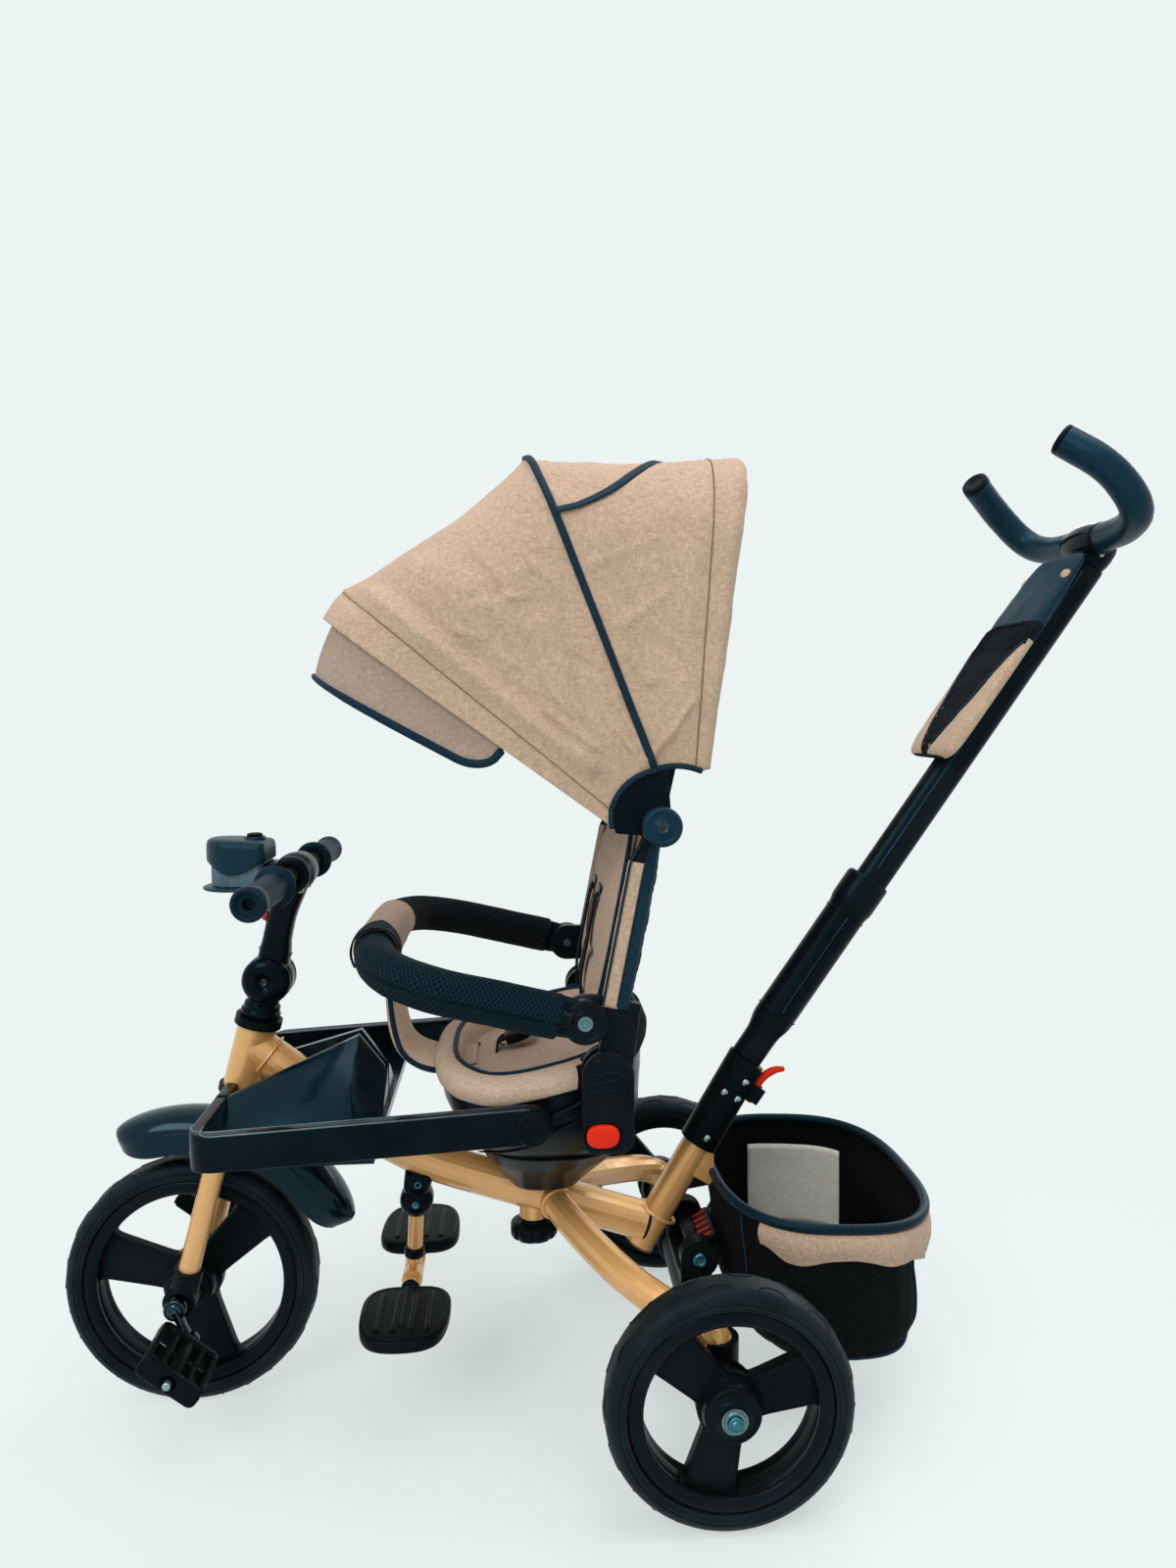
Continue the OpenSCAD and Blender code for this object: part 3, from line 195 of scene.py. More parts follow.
class Paint:
    """A material with its Principled shader, and short ways to add colour variation and bump."""

    def __init__(self, name, colour, **sockets):
        self.name = name
        self.material = bpy.data.materials.new(name)
        self.material.use_nodes = True
        self.tree = self.material.node_tree
        self.shader = self.tree.nodes["Principled BSDF"]
        self.colour = colour
        self.shader.inputs["Base Color"].default_value = (*colour, 1)
        for socket, value in sockets.items():
            value = (*value, 1) if isinstance(value, tuple) else value
            self.shader.inputs[socket.replace("_", " ")].default_value = value
        self.place = self.tree.nodes.new("ShaderNodeTexCoord").outputs["Object"]

    def node(self, kind, **values):
        """A shader node with the named properties and sockets set."""
        node = self.tree.nodes.new(kind)
        for key, value in values.items():
            if hasattr(node, key):
                setattr(node, key, value)
            else:
                node.inputs[key.replace("_", " ")].default_value = value
        return node

    def noise(self, scale, detail=3.0, stretch=(1, 1, 1)):
        """Noise in the piece's own space; stretch scales it by axis."""
        spread = self.node("ShaderNodeMapping")
        spread.inputs["Scale"].default_value = stretch
        self.tree.links.new(self.place, spread.inputs["Vector"])
        made = self.node("ShaderNodeTexNoise", Scale=scale, Detail=detail)
        self.tree.links.new(spread.outputs[0], made.inputs["Vector"])
        return made.outputs["Fac"]

    def wave(self, axis, scale):
        """Even bands along one axis."""
        made = self.node("ShaderNodeTexWave", bands_direction=axis, Scale=scale, Detail=1.0)
        self.tree.links.new(self.place, made.inputs["Vector"])
        return made.outputs["Fac"]

    def stripes(self, angle, period):
        """Waves from 0 to 1 across the piece's own length and girth, period in metres."""
        turn = self.node("ShaderNodeMapping")
        turn.inputs["Rotation"].default_value = (0, 0, radians(angle))
        self.tree.links.new(self.node("ShaderNodeTexCoord").outputs["UV"], turn.inputs["Vector"])
        made = self.node("ShaderNodeTexWave", bands_direction="X", Scale=2 * pi / (20 * period))
        self.tree.links.new(turn.outputs[0], made.inputs["Vector"])
        return made.outputs["Fac"]

    def maths(self, operation, a, b):
        """A sum or another operation on two values or sockets."""
        made = self.node("ShaderNodeMath", operation=operation)
        for value, socket in ((a, made.inputs[0]), (b, made.inputs[1])):
            if isinstance(value, (int, float)):
                socket.default_value = value
            else:
                self.tree.links.new(value, socket)
        return made.outputs[0]

    def vary(self, fac, other, low=0.35, high=0.65):
        """The base colour turns towards other where fac is high."""
        span = self.node("ShaderNodeMapRange", From_Min=low, From_Max=high)
        self.tree.links.new(fac, span.inputs["Value"])
        blend = self.node("ShaderNodeMix", data_type="RGBA")
        self.tree.links.new(span.outputs[0], blend.inputs["Factor"])
        colours = [s for s in blend.inputs if s.type == "RGBA"]
        before = self.shader.inputs["Base Color"]
        if before.is_linked:
            self.tree.links.new(before.links[0].from_socket, colours[0])
        else:
            colours[0].default_value = (*self.colour, 1)
        colours[1].default_value = (*other, 1)
        made = [s for s in blend.outputs if s.type == "RGBA"][0]
        self.tree.links.new(made, before)
        return self

    def rough(self, fac, low, high):
        """The roughness runs from low to high with fac."""
        span = self.node("ShaderNodeMapRange", To_Min=low, To_Max=high)
        self.tree.links.new(fac, span.inputs["Value"])
        self.tree.links.new(span.outputs[0], self.shader.inputs["Roughness"])
        return self

    def bump(self, height, distance, strength=1.0):
        """Adds a bump over those that are there already."""
        made = self.node("ShaderNodeBump", Strength=strength, Distance=distance)
        self.tree.links.new(height, made.inputs["Height"])
        before = self.shader.inputs["Normal"]
        if before.is_linked:
            self.tree.links.new(before.links[0].from_socket, made.inputs["Normal"])
        self.tree.links.new(made.outputs[0], before)
        return self


NAVY = (0.22, 0.58, 0.80)


def plastic(name, colour, roughness, grain, level=0.5):
    """Plastic or painted steel with a fine grain, and faint changes of tone and gloss."""
    paint = Paint(name, colour, Roughness=roughness, Specular_IOR_Level=level, Specular_Tint=NAVY)
    paint.vary(paint.noise(9.0, 4.0), tuple(c * 1.9 + 0.002 for c in colour))
    paint.rough(paint.noise(30.0, 4.0), roughness * 0.8, roughness * 1.35)
    return paint.bump(paint.noise(grain, 2.0), 0.00008, 0.5)


def woven(name, colour, light, dark, thread=900.0, sheen=0.12, level=0.18):
    """Heathered cloth: crossing threads, with slubs and a soft change of tone."""
    paint = Paint(name, colour, Roughness=0.92, Specular_IOR_Level=level, Sheen_Weight=sheen,
                  Sheen_Roughness=0.5)
    paint.vary(paint.noise(430.0, 3.0, (1, 1, 0.4)), light, 0.42, 0.72)
    paint.vary(paint.noise(390.0, 3.0, (0.4, 1, 1)), dark, 0.46, 0.76)
    paint.vary(paint.noise(7.0, 3.0), dark, 0.5, 1.2)
    threads = paint.maths("ADD", paint.wave("X", thread), paint.wave("Z", thread))
    threads = paint.maths("ADD", threads, paint.wave("Y", thread))
    return paint.bump(threads, 0.0002, 0.35).bump(paint.noise(260.0, 3.0), 0.0004, 0.5)


def metal(name, colour, light, roughness):
    """Bare metal, a little uneven in tone and gloss."""
    paint = Paint(name, colour, Roughness=roughness, Metallic=1.0)
    paint.vary(paint.noise(400.0, 3.0), light)
    paint.rough(paint.noise(120.0, 3.0), roughness * 0.75, roughness * 1.5)
    return paint.bump(paint.noise(1500.0, 2.0), 0.00005, 0.5)


def mottled(name, colour, light, spots, grain, height, strength, **sockets):
    """A colour with spots of light over a fine bump; spots and grain are each a noise's scale and detail."""
    paint = Paint(name, colour, **sockets)
    paint.vary(paint.noise(*spots), light)
    return paint.bump(paint.noise(*grain), height, strength)


def make_gold():
    """The frame's gold paint, with paler and darker patches under a clear coat."""
    gold = Paint("gold_paint", (0.69, 0.362, 0.118), Roughness=0.32, Metallic=0.35, Coat_Weight=0.6,
                 Coat_Roughness=0.12)
    gold.vary(gold.noise(5.0, 3.0), (0.78, 0.435, 0.165), 0.4, 0.9)
    gold.vary(gold.noise(60.0, 5.0), (0.54, 0.255, 0.072), 0.62, 0.9)
    return gold.bump(gold.noise(700.0, 2.0), 0.00006, 0.4)


def make_mesh_cloth():
    """Black net with crossing threads."""
    net = Paint("mesh_cloth", (0.0022, 0.0034, 0.0042), Roughness=0.62, Specular_IOR_Level=0.1,
                Specular_Tint=NAVY)
    threads = net.maths("MAXIMUM", net.stripes(32, 0.0040), net.stripes(-32, 0.0040))
    net.vary(threads, (0.0045, 0.0165, 0.0260), 0.66, 0.93)
    return net.bump(threads, 0.0011, 0.9).bump(net.noise(900.0, 2.0), 0.0002, 0.4)


def make_navy_mesh():
    """Navy net with a square weave."""
    net = Paint("navy_mesh", (0.0042, 0.0165, 0.0270), Roughness=0.5, Specular_IOR_Level=0.16,
                Specular_Tint=NAVY)
    net.vary(net.noise(6.0, 3.0), (0.0070, 0.0250, 0.0390))
    return net.bump(net.maths("ADD", net.wave("X", 240.0), net.wave("Y", 240.0)), 0.0003, 0.5)


def make_lens():
    """The ribbed front of the lamp."""
    lens = Paint("lamp_lens", (0.060, 0.135, 0.175), Roughness=0.12, Transmission_Weight=0.35, IOR=1.49)
    lens.vary(lens.noise(50.0, 2.0), (0.105, 0.200, 0.245))
    return lens.bump(lens.wave("Y", 150.0), 0.0008, 0.8)


def make_paints():
    """Every material, by its name."""
    paints = [
        make_gold(), make_mesh_cloth(), make_navy_mesh(), make_lens(),
        plastic("black_plastic", (0.0028, 0.0036, 0.0038), 0.36, 900.0, 0.07),
        plastic("gloss_black", (0.0016, 0.0027, 0.0036), 0.15, 300.0, 0.11),
        plastic("satin_black", (0.0022, 0.0032, 0.0038), 0.27, 500.0, 0.09),
        plastic("black_steel", (0.0024, 0.0034, 0.0042), 0.28, 600.0, 0.11),
        woven("beige_fabric", (0.455, 0.318, 0.222), (0.560, 0.405, 0.292), (0.365, 0.252, 0.174)),
        woven("lining", (0.36, 0.29, 0.225), (0.43, 0.35, 0.28), (0.30, 0.235, 0.18)),
        # a pale grey patch, made lighter still as painted light against the shade inside the basket
        woven("grey_patch_and_painted_light", (0.78, 0.755, 0.670), (0.86, 0.835, 0.750), (0.68, 0.655, 0.580)),
        # painted light: the seat's beige made lighter than the canopy's, to stand in for light where the
        # canopy shades the seat
        woven("seat_fabric_painted_light", (0.585, 0.425, 0.310), (0.690, 0.520, 0.390), (0.480, 0.345, 0.250)),
        # painted shade: the beige cloth darkened for the visor
        woven("painted_shade_fabric", (0.335, 0.250, 0.195), (0.405, 0.305, 0.240), (0.275, 0.203, 0.157)),
        woven("black_fabric", (0.0044, 0.0062, 0.0076), (0.0085, 0.0125, 0.0165), (0.0028, 0.0036, 0.0044),
              sheen=0.0, level=0.08),
        woven("basket_weave", (0.0032, 0.0042, 0.0044), (0.0064, 0.0086, 0.0094), (0.0022, 0.0028, 0.0030),
              700.0, sheen=0.0, level=0.06),
        metal("bright_bolt", (0.24, 0.34, 0.37), (0.34, 0.44, 0.46), 0.26),
        metal("teal_bolt", (0.022, 0.125, 0.165), (0.070, 0.215, 0.250), 0.30),
        metal("crank_metal", (0.020, 0.034, 0.042), (0.035, 0.060, 0.070), 0.16),
        metal("chrome_metal", (0.10, 0.17, 0.19), (0.16, 0.25, 0.27), 0.26),
        mottled("grip_foam", (0.0032, 0.0098, 0.0155), (0.0055, 0.0160, 0.0245), (300.0, 4.0),
                (1400.0, 3.0), 0.0003, 0.5, Roughness=0.42, Specular_IOR_Level=0.14, Specular_Tint=NAVY),
        mottled("tyre_black", (0.0045, 0.0058, 0.0058), (0.009, 0.012, 0.0125), (22.0, 5.0),
                (900.0, 4.0), 0.0002, 0.5, Roughness=0.5, Specular_IOR_Level=0.16, Specular_Tint=NAVY),
        mottled("horn_foam", (0.0034, 0.0150, 0.0265), (0.0060, 0.0225, 0.0370), (260.0, 4.0),
                (1400.0, 3.0), 0.0003, 0.5, Roughness=0.34, Specular_IOR_Level=0.24, Specular_Tint=NAVY),
        mottled("lamp_shell", (0.0045, 0.0165, 0.0270), (0.0070, 0.0240, 0.0370), (12.0, 3.0),
                (800.0, 2.0), 0.00008, 0.5, Roughness=0.38, Specular_IOR_Level=0.24, Specular_Tint=NAVY),
        mottled("fender_paint", (0.0016, 0.0068, 0.0115), (0.0028, 0.0115, 0.0185), (7.0, 3.0),
                (500.0, 2.0), 0.00006, 0.4, Roughness=0.2, Specular_IOR_Level=0.24, Specular_Tint=NAVY,
                Coat_Weight=0.12, Coat_Roughness=0.08),
        # painted highlight: a pale blue-grey for the thin lines on the rails' top edges
        mottled("painted_edge_highlight", (0.045, 0.085, 0.110), (0.075, 0.130, 0.155), (60.0, 3.0),
                (700.0, 2.0), 0.00006, 0.4, Roughness=0.2, Specular_IOR_Level=0.6),
        # painted highlight: a bright navy for thin lines on the push bar's casing and tube, in place of their
        # blue gloss highlights
        mottled("painted_navy_highlight", (0.0060, 0.0260, 0.0560), (0.0090, 0.0380, 0.0800), (60.0, 3.0),
                (700.0, 2.0), 0.00006, 0.4, Roughness=0.3, Specular_IOR_Level=0.5, Specular_Tint=NAVY),
        mottled("seam_thread", (0.150, 0.098, 0.064), (0.240, 0.165, 0.115), (700.0, 2.0),
                (1800.0, 2.0), 0.0002, 0.6, Roughness=0.8, Specular_IOR_Level=0.15),
        mottled("piping", (0.0045, 0.0090, 0.0140), (0.009, 0.024, 0.040), (500.0, 3.0),
                (900.0, 3.0), 0.0003, 0.6, Roughness=0.6, Specular_IOR_Level=0.22, Specular_Tint=NAVY),
        mottled("red_plastic", (0.62, 0.016, 0.003), (0.70, 0.026, 0.006), (40.0, 3.0),
                (800.0, 2.0), 0.00006, 0.4, Roughness=0.34, Specular_IOR_Level=0.12),
    ]
    return {paint.name: paint.material for paint in paints}


PAINTS = make_paints()
# the record's material slot for each look that has none of its own
SLOTS = {part["node"]: part["material_slot"] for part in frame["record"]["subparts"]}
for node, shape in NODES.items():
    shape.data.materials.clear()
    shape.data.materials.append(PAINTS[SLOTS[node]])


# ---------- mesh helpers: points are in millimetres from the rear axle ----------

def vec(x, y, z):
    return np.array((x, y, z), float)


def unit(v):
    return v / np.linalg.norm(v)


def from_axle(place):
    """A place given in the frame's metres, as millimetres from the rear axle."""
    return np.array(place) / MM - vec(AXLE_X / MM, 0, 0)


def travel(line):
    """How far each point of the line lies from its start, along the line."""
    return np.concatenate([[0], np.cumsum(np.linalg.norm(np.diff(line, axis=0), axis=1))])


def round_corner(before, corner, after, ease, steps):
    """Points on a curve that cuts the corner, from ease before it to ease after it."""
    a = corner + unit(before - corner) * min(ease, np.linalg.norm(before - corner) / 2.1)
    c = corner + unit(after - corner) * min(ease, np.linalg.norm(after - corner) / 2.1)
    return [mix(mix(a, corner, i / steps), mix(corner, c, i / steps), i / steps) for i in range(steps + 1)]


def eased(points, ease, steps):
    """The polyline with each inner corner rounded over the length ease."""
    points = [np.array(p, float) for p in points]
    line = [points[0]]
    for corner in zip(points, points[1:], points[2:]):
        line += round_corner(*corner, ease, steps)
    return np.array(line + [points[-1]])


def spline(points, steps):
    """A smooth line through the points, with steps short pieces between each two."""
    p = [np.array(q, float) for q in points]
    last = len(p) - 1
    line = []
    for i in range(last):
        a, b, c, d = (p[min(max(i + k, 0), last)] for k in (-1, 0, 1, 2))
        for j in range(steps):
            t = j / steps
            line.append(0.5 * (2 * b + (c - a) * t + (2 * a - 5 * b + 4 * c - d) * t ** 2
                               + (3 * b - a - 3 * c + d) * t ** 3))
    return np.array(line + [p[-1]])


def resample(line, count, closed=False):
    """count + 1 points evenly spread along the line, or count round a closed one."""
    line = np.array(line, float)
    if closed:
        line = np.vstack([line, line[:1]])
    run = travel(line)
    places = np.linspace(0, run[-1], count + 1)
    made = np.stack([np.interp(places, run, line[:, k]) for k in range(3)], axis=1)
    return made[:-1] if closed else made


def link(name, mesh, paint, body, stands_for=(), smooth=True):
    """Puts a mesh in the scene with its paint and body, and hides the nodes it replaces."""
    mesh.materials.append(PAINTS[paint])
    mesh.polygons.foreach_set("use_smooth", [smooth] * len(mesh.polygons))
    made = bpy.data.objects.new(name, mesh)
    bpy.context.scene.collection.objects.link(made)
    if body:
        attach(made, body)
    if stands_for:
        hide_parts(*stands_for)
    return made


def mesh_piece(name, points, faces, paint, body, stands_for=(), smooth=True, uvs=None, fix=True):
    """A mesh object from points in millimetres from the rear axle."""
    mesh = bpy.data.meshes.new(name)
    shifted = np.array(points, float) * MM + np.array((AXLE_X, 0, 0))
    mesh.from_pydata([tuple(p) for p in shifted], [], [tuple(int(i) for i in f) for f in faces])
    if uvs is not None:
        layer = mesh.uv_layers.new(name="uv")
        loops = np.empty(len(mesh.loops), int)
        mesh.loops.foreach_get("vertex_index", loops)
        layer.data.foreach_set("uv", np.array(uvs, float)[loops].ravel())
    if fix:
        work = bmesh.new()
        work.from_mesh(mesh)
        bmesh.ops.recalc_face_normals(work, faces=work.faces)
        work.to_mesh(mesh)
        work.free()
    mesh.update()
    return link(name, mesh, paint, body, stands_for, smooth)


def skin(rings, ring_closed=True, path_closed=False, caps=True):
    """Points and faces of a skin over rings of equal length."""
    rings = np.array(rings, float)
    n, m = rings.shape[:2]
    faces = []
    for i in range(n if path_closed else n - 1):
        for k in range(m if ring_closed else m - 1):
            a, b = i * m + k, i * m + (k + 1) % m
            c, d = (i + 1) % n * m + (k + 1) % m, (i + 1) % n * m + k
            faces.append((a, b, c, d))
    if caps and ring_closed and not path_closed:
        faces.append(tuple(range(m)))
        faces.append(tuple((n - 1) * m + k for k in reversed(range(m))))
    return rings.reshape(-1, 3), faces


def skin_piece(name, rings, paint, body, stands_for=(), smooth=True):
    """A closed skin over rings, with both its ends filled."""
    points, faces = skin(rings)
    return mesh_piece(name, points, faces, paint, body, stands_for, smooth)


def grid_piece(name, rows, paint, body):
    """A sheet over a grid of points, open at its edges."""
    points, faces = skin(rows, ring_closed=False, caps=False)
    return mesh_piece(name, points, faces, paint, body)


def frames(line, up=None, closed=False):
    """Two directions square to the line at each point, turned as little as possible."""
    line = np.array(line, float)
    if closed:
        ways = np.roll(line, -1, axis=0) - np.roll(line, 1, axis=0)
    else:
        ways = np.gradient(line, axis=0)
    ways /= np.linalg.norm(ways, axis=1)[:, None]
    if up is not None:
        sides = np.cross(np.tile(up, (len(line), 1)), ways)
        sides /= np.linalg.norm(sides, axis=1)[:, None]
        return sides, np.cross(ways, sides)
    start = vec(0, 0, 1) if abs(ways[0][2]) < 0.9 else vec(1, 0, 0)
    sides = [unit(np.cross(start, ways[0]))]
    for way in ways[1:]:
        side = sides[-1] - way * np.dot(sides[-1], way)
        sides.append(unit(side))
    sides = np.array(sides)
    return sides, np.cross(ways, sides)


def oval(rx, ry, count, power=2.0):
    """A rounded outline: power 2 is an ellipse, and more is squarer."""
    angles = np.arange(count) * 2 * pi / count
    c, s = np.cos(angles), np.sin(angles)
    return np.stack([rx * np.sign(c) * np.abs(c) ** (2 / power), ry * np.sign(s) * np.abs(s) ** (2 / power)],
                    axis=1)


def round_ends(rings, run, line, dome, least):
    """Adds rings that round both ends, standing out by dome; least is the last ring's share of the girth."""
    steps = 5
    for first, middle, way in ((True, line[0], unit(line[0] - line[1])),
                               (False, line[-1], unit(line[-1] - line[-2]))):
        base = rings[0] if first else rings[-1]
        for k in range(1, steps + 1):
            a = pi / 2 * k / steps
            ring = middle + (base - middle) * max(cos(a), least) + way * dome * sin(a)
            rings.insert(0 if first else len(rings), ring)
            run.insert(0 if first else len(run), run[0] - dome / steps if first else run[-1] + dome / steps)


def sweep(name, line, outline, paint, body, stands_for=(), up=None, scale=None, closed=False, dome=0.0,
          smooth=True):
    """outline (x, y pairs) carried along line; scale grows it by place, and dome rounds the ends."""
    line = np.array(line, float)
    outline = np.array(outline, float)
    sides, lifts = frames(line, up, closed)
    grow = np.ones(len(line)) if scale is None else np.array([scale(t) for t in np.linspace(0, 1, len(line))])
    rings = [p + g * (outline[:, :1] * side + outline[:, 1:] * lift)
             for p, g, side, lift in zip(line, grow, sides, lifts)]
    run = list(travel(line))
    if dome:
        round_ends(rings, run, line, dome, 0.04)
    points, faces = skin(rings, path_closed=closed)
    uvs = [(u * MM, v * MM) for v in run for u in travel(outline)]
    return mesh_piece(name, points, faces, paint, body, stands_for, smooth, uvs)


def tube(name, line, radius, paint, body, stands_for=(), sides=16, **more):
    """A round tube along line."""
    return sweep(name, line, oval(radius, radius, sides), paint, body, stands_for, **more)


def lathe(name, profile, centre, way, paint, body, stands_for=(), sides=48, closed=False):
    """profile (radius, along) turned about the line through centre that runs along way."""
    way = unit(np.array(way, float))
    side = unit(np.cross(way, vec(0, 0, 1) if abs(way[2]) < 0.9 else vec(1, 0, 0)))
    other = np.cross(way, side)
    angles = np.arange(sides) * 2 * pi / sides
    wheel = np.cos(angles)[:, None] * side + np.sin(angles)[:, None] * other
    rings = [np.array(centre, float) + way * h + wheel * max(r, 0.01) for r, h in profile]
    points, faces = skin(rings, path_closed=closed, caps=not closed)
    return mesh_piece(name, points, faces, paint, body, stands_for)


def plate(name, outlines, thickness, bevel, origin, x_way, y_way, paint, body, stands_for=(), steps=2):
    """A flat plate with holes: outlines are closed lines of x, y pairs, the outer one and the holes."""
    curve = bpy.data.curves.new(name, "CURVE")
    curve.dimensions = "2D"
    curve.fill_mode = "BOTH"
    curve.extrude = (thickness / 2 - bevel) * MM
    curve.bevel_depth = bevel * MM
    curve.bevel_resolution = steps
    curve.offset = -bevel * MM
    for outline in outlines:
        run = curve.splines.new("POLY")
        run.points.add(len(outline) - 1)
        for point, (x, y) in zip(run.points, outline):
            point.co = (x * MM, y * MM, 0, 1)
        run.use_cyclic_u = True
    flat = bpy.data.objects.new(name, curve)
    bpy.context.scene.collection.objects.link(flat)
    bpy.context.view_layer.update()
    mesh = bpy.data.meshes.new_from_object(flat.evaluated_get(bpy.context.evaluated_depsgraph_get()))
    bpy.data.objects.remove(flat)
    x_way, y_way = Vector(x_way).normalized(), Vector(y_way).normalized()
    turn = Matrix((x_way, y_way, x_way.cross(y_way))).transposed().to_4x4()
    turn.translation = at(*origin)
    mesh.transform(turn)
    mesh.name = name
    mesh.materials.clear()
    work = bmesh.new()
    work.from_mesh(mesh)
    bmesh.ops.remove_doubles(work, verts=work.verts, dist=0.00001)
    bmesh.ops.recalc_face_normals(work, faces=work.faces)
    work.to_mesh(mesh)
    work.free()
    made = link(name, mesh, paint, body, stands_for, smooth=True)
    crisp(made, 50)
    return made


def crisp(piece, angle):
    """Shades the edges that turn by more than angle degrees as sharp ones."""
    piece.data.set_sharp_from_angle(angle=radians(angle))


def modify(piece, kind, **values):
    """Adds a modifier with the named values."""
    made = piece.modifiers.new(kind.lower(), kind)
    for key, value in values.items():
        setattr(made, key, value)
    return piece


def soften(piece, width, segments=2, angle=30):
    """Rounds the piece's sharp edges."""
    modify(piece, "BEVEL", width=width * MM, segments=segments, limit_method="ANGLE",
           angle_limit=radians(angle), harden_normals=True)
    return piece


def both(maker):
    """Runs maker for the left side (1) and the right side (-1)."""
    for side, word in SIDES:
        maker(side, word)


def rough_noise(points, size, seed):
    """Smooth noise from -1 to 1 at each point; size is its grain in millimetres."""
    flat = np.array(points, float).reshape(-1, 3) / size
    shift = Vector((seed * 7.3, seed * 3.1, seed * 5.7))
    made = [noise.noise(Vector(p) + shift) for p in flat]
    return np.array(made).reshape(np.array(points).shape[:-1])


# ---------- canopy ----------
# Reach and angle are polar places in the side view, from the canopy's pivot.

HUB = vec(57.4, 0, 683.65)
CANOPY_HALF, CANOPY_RISE = 180, 4
CORNER_EASE = 105
ARCH_STEPS = 220
MID_TOP, MID_HEM = (397.5, 71), (56, 84)
REAR_TOP, REAR_HEM = (388, 102.5), (68, 126.5)
FRONT_TOP, FRONT_HEM = (400, 37), (52, 18.7)
FLAP_TOP, FLAP_HEM = (402, 31.9), (49, -1)
VISOR_TOP, VISOR_HEM = (388, 23.2), (176, 16.5)


def polar(place):
    """A reach and an angle in degrees, as a vector in the side view."""
    return vec(place[0] * cos(radians(place[1])), 0, place[0] * sin(radians(place[1])))


def arch(hem, top):
    """The cloth's line from one hem up, over the head and down to the other hem."""
    low, high = polar(hem), polar(top)
    way = unit(high - low)
    y = vec(0, CANOPY_HALF, 0)
    line = eased([low + y, high + y, high + way * CANOPY_RISE, high - y, low - y], CORNER_EASE, 12)
    return HUB + resample(line, ARCH_STEPS)


def between(a, b, t):
    """The pair of numbers between a and b at the share t."""
    return tuple(mix(u, v, t) for u, v in zip(a, b))


def fan(a, b, places, dip):
    """Rows of cloth between two edges, each (hem, top), sunk by dip half-way."""
    rows = []
    for t in places:
        hem, top = between(a[0], b[0], t), between(a[1], b[1], t)
        rows.append(arch(hem, (top[0] - 4 * dip * t * (1 - t), top[1])))
    return np.array(rows)


def outward(rows):
    """The unit normal at each point of a grid of cloth, away from the child."""
    along = np.gradient(rows, axis=0)
    across = np.gradient(rows, axis=1)
    normals = np.cross(across, along)
    normals /= np.linalg.norm(normals, axis=2)[:, :, None] + 1e-9
    away = rows - (HUB + vec(90, 0, 120))
    flip = np.sign((normals * away).sum(axis=2))
    return normals * np.where(flip == 0, 1, flip)[:, :, None]


# sharp little folds in the side view, from the pivot: start, end, width, height
CREASES = [
    ((176, 268), (148, 225), 3.2, 1.7), ((148, 225), (118, 150), 3.0, 1.3),
    ((120, 150), (92, 112), 3.5, 1.4), ((106, 212), (78, 108), 3.0, 1.8),
    ((130, 262), (96, 228), 3.4, 1.6), ((150, 225), (127, 229), 2.6, 1.7),
    ((118, 119), (64, 78), 4.0, 2.2), ((160, 172), (140, 158), 3.5, 1.2),
    ((98, 101), (66, 60), 4.5, 2.0), ((44, 196), (-8, 232), 4.0, 1.2),
    ((74, 256), (4, 284), 5.0, 0.9), ((35, 176), (13, 142), 3.2, 1.5),
    ((13, 143), (0, 148), 3.0, 1.4), ((12, 66), (-34, 126), 3.5, 1.9),
    ((20, 62), (-16, 96), 3.0, 1.4), ((44, 126), (29, 94), 3.0, 1.8),
    ((48, 100), (24, 70), 3.0, 1.4), ((210, 196), (176, 186), 4.0, 1.0),
    ((88, 170), (60, 150), 5.0, -1.3), ((190, 224), (150, 236), 5.5, -1.0),
    ((60, 240), (30, 214), 6.0, -1.2), ((10, 190), (-20, 160), 6.0, -1.2),
]
# long soft rolls: start, end, width, height
ROLLS = [
    ((296, 240), (70, 58), 9.0, 3.6), ((262, 236), (84, 86), 8.0, -1.8),
    ((246, 262), (120, 190), 16.0, 2.0), ((-40, 330), (-18, 90), 12.0, 1.6),
    ((40, 330), (10, 120), 18.0, -2.0), ((200, 120), (70, 22), 10.0, 1.6),
]


def folded(rows, seed, deep=1.0):
    """Cloth with its creases, rolls and the small unevenness of stretched fabric."""
    normals = outward(rows)
    x, z = rows[:, :, 0] - HUB[0], rows[:, :, 2] - HUB[2]
    side = np.clip((np.abs(rows[:, :, 1]) - 95) / 60, 0, 1)
    push = np.zeros(x.shape)
    for (start, end, width, height) in CREASES + ROLLS:
        a, b = np.array(start, float), np.array(end, float)
        span = b - a
        t = ((x - a[0]) * span[0] + (z - a[1]) * span[1]) / (span @ span)
        near = np.clip(t, 0, 1)
        off = np.hypot(x - a[0] - near * span[0], z - a[1] - near * span[1])
        taper = np.clip(np.minimum(t + 0.25, 1.25 - t) / 0.35, 0, 1)
        push += height * taper * np.exp(-(off / width) ** 2)
    push *= side * deep
    push += rough_noise(rows, 95, seed) * 3.6 + rough_noise(rows, 34, seed + 1) * 1.7
    push += rough_noise(rows, 13, seed + 2) * 0.45
    return rows + normals * push[:, :, None]


def groove(rows, places, middle, depth, width, span):
    """Presses a seam line into the rows near one place."""
    normals = outward(rows)
    dent = depth * np.exp(-((np.array(places) - middle) * span / width) ** 2)
    return rows - normals * dent[:, None, None]


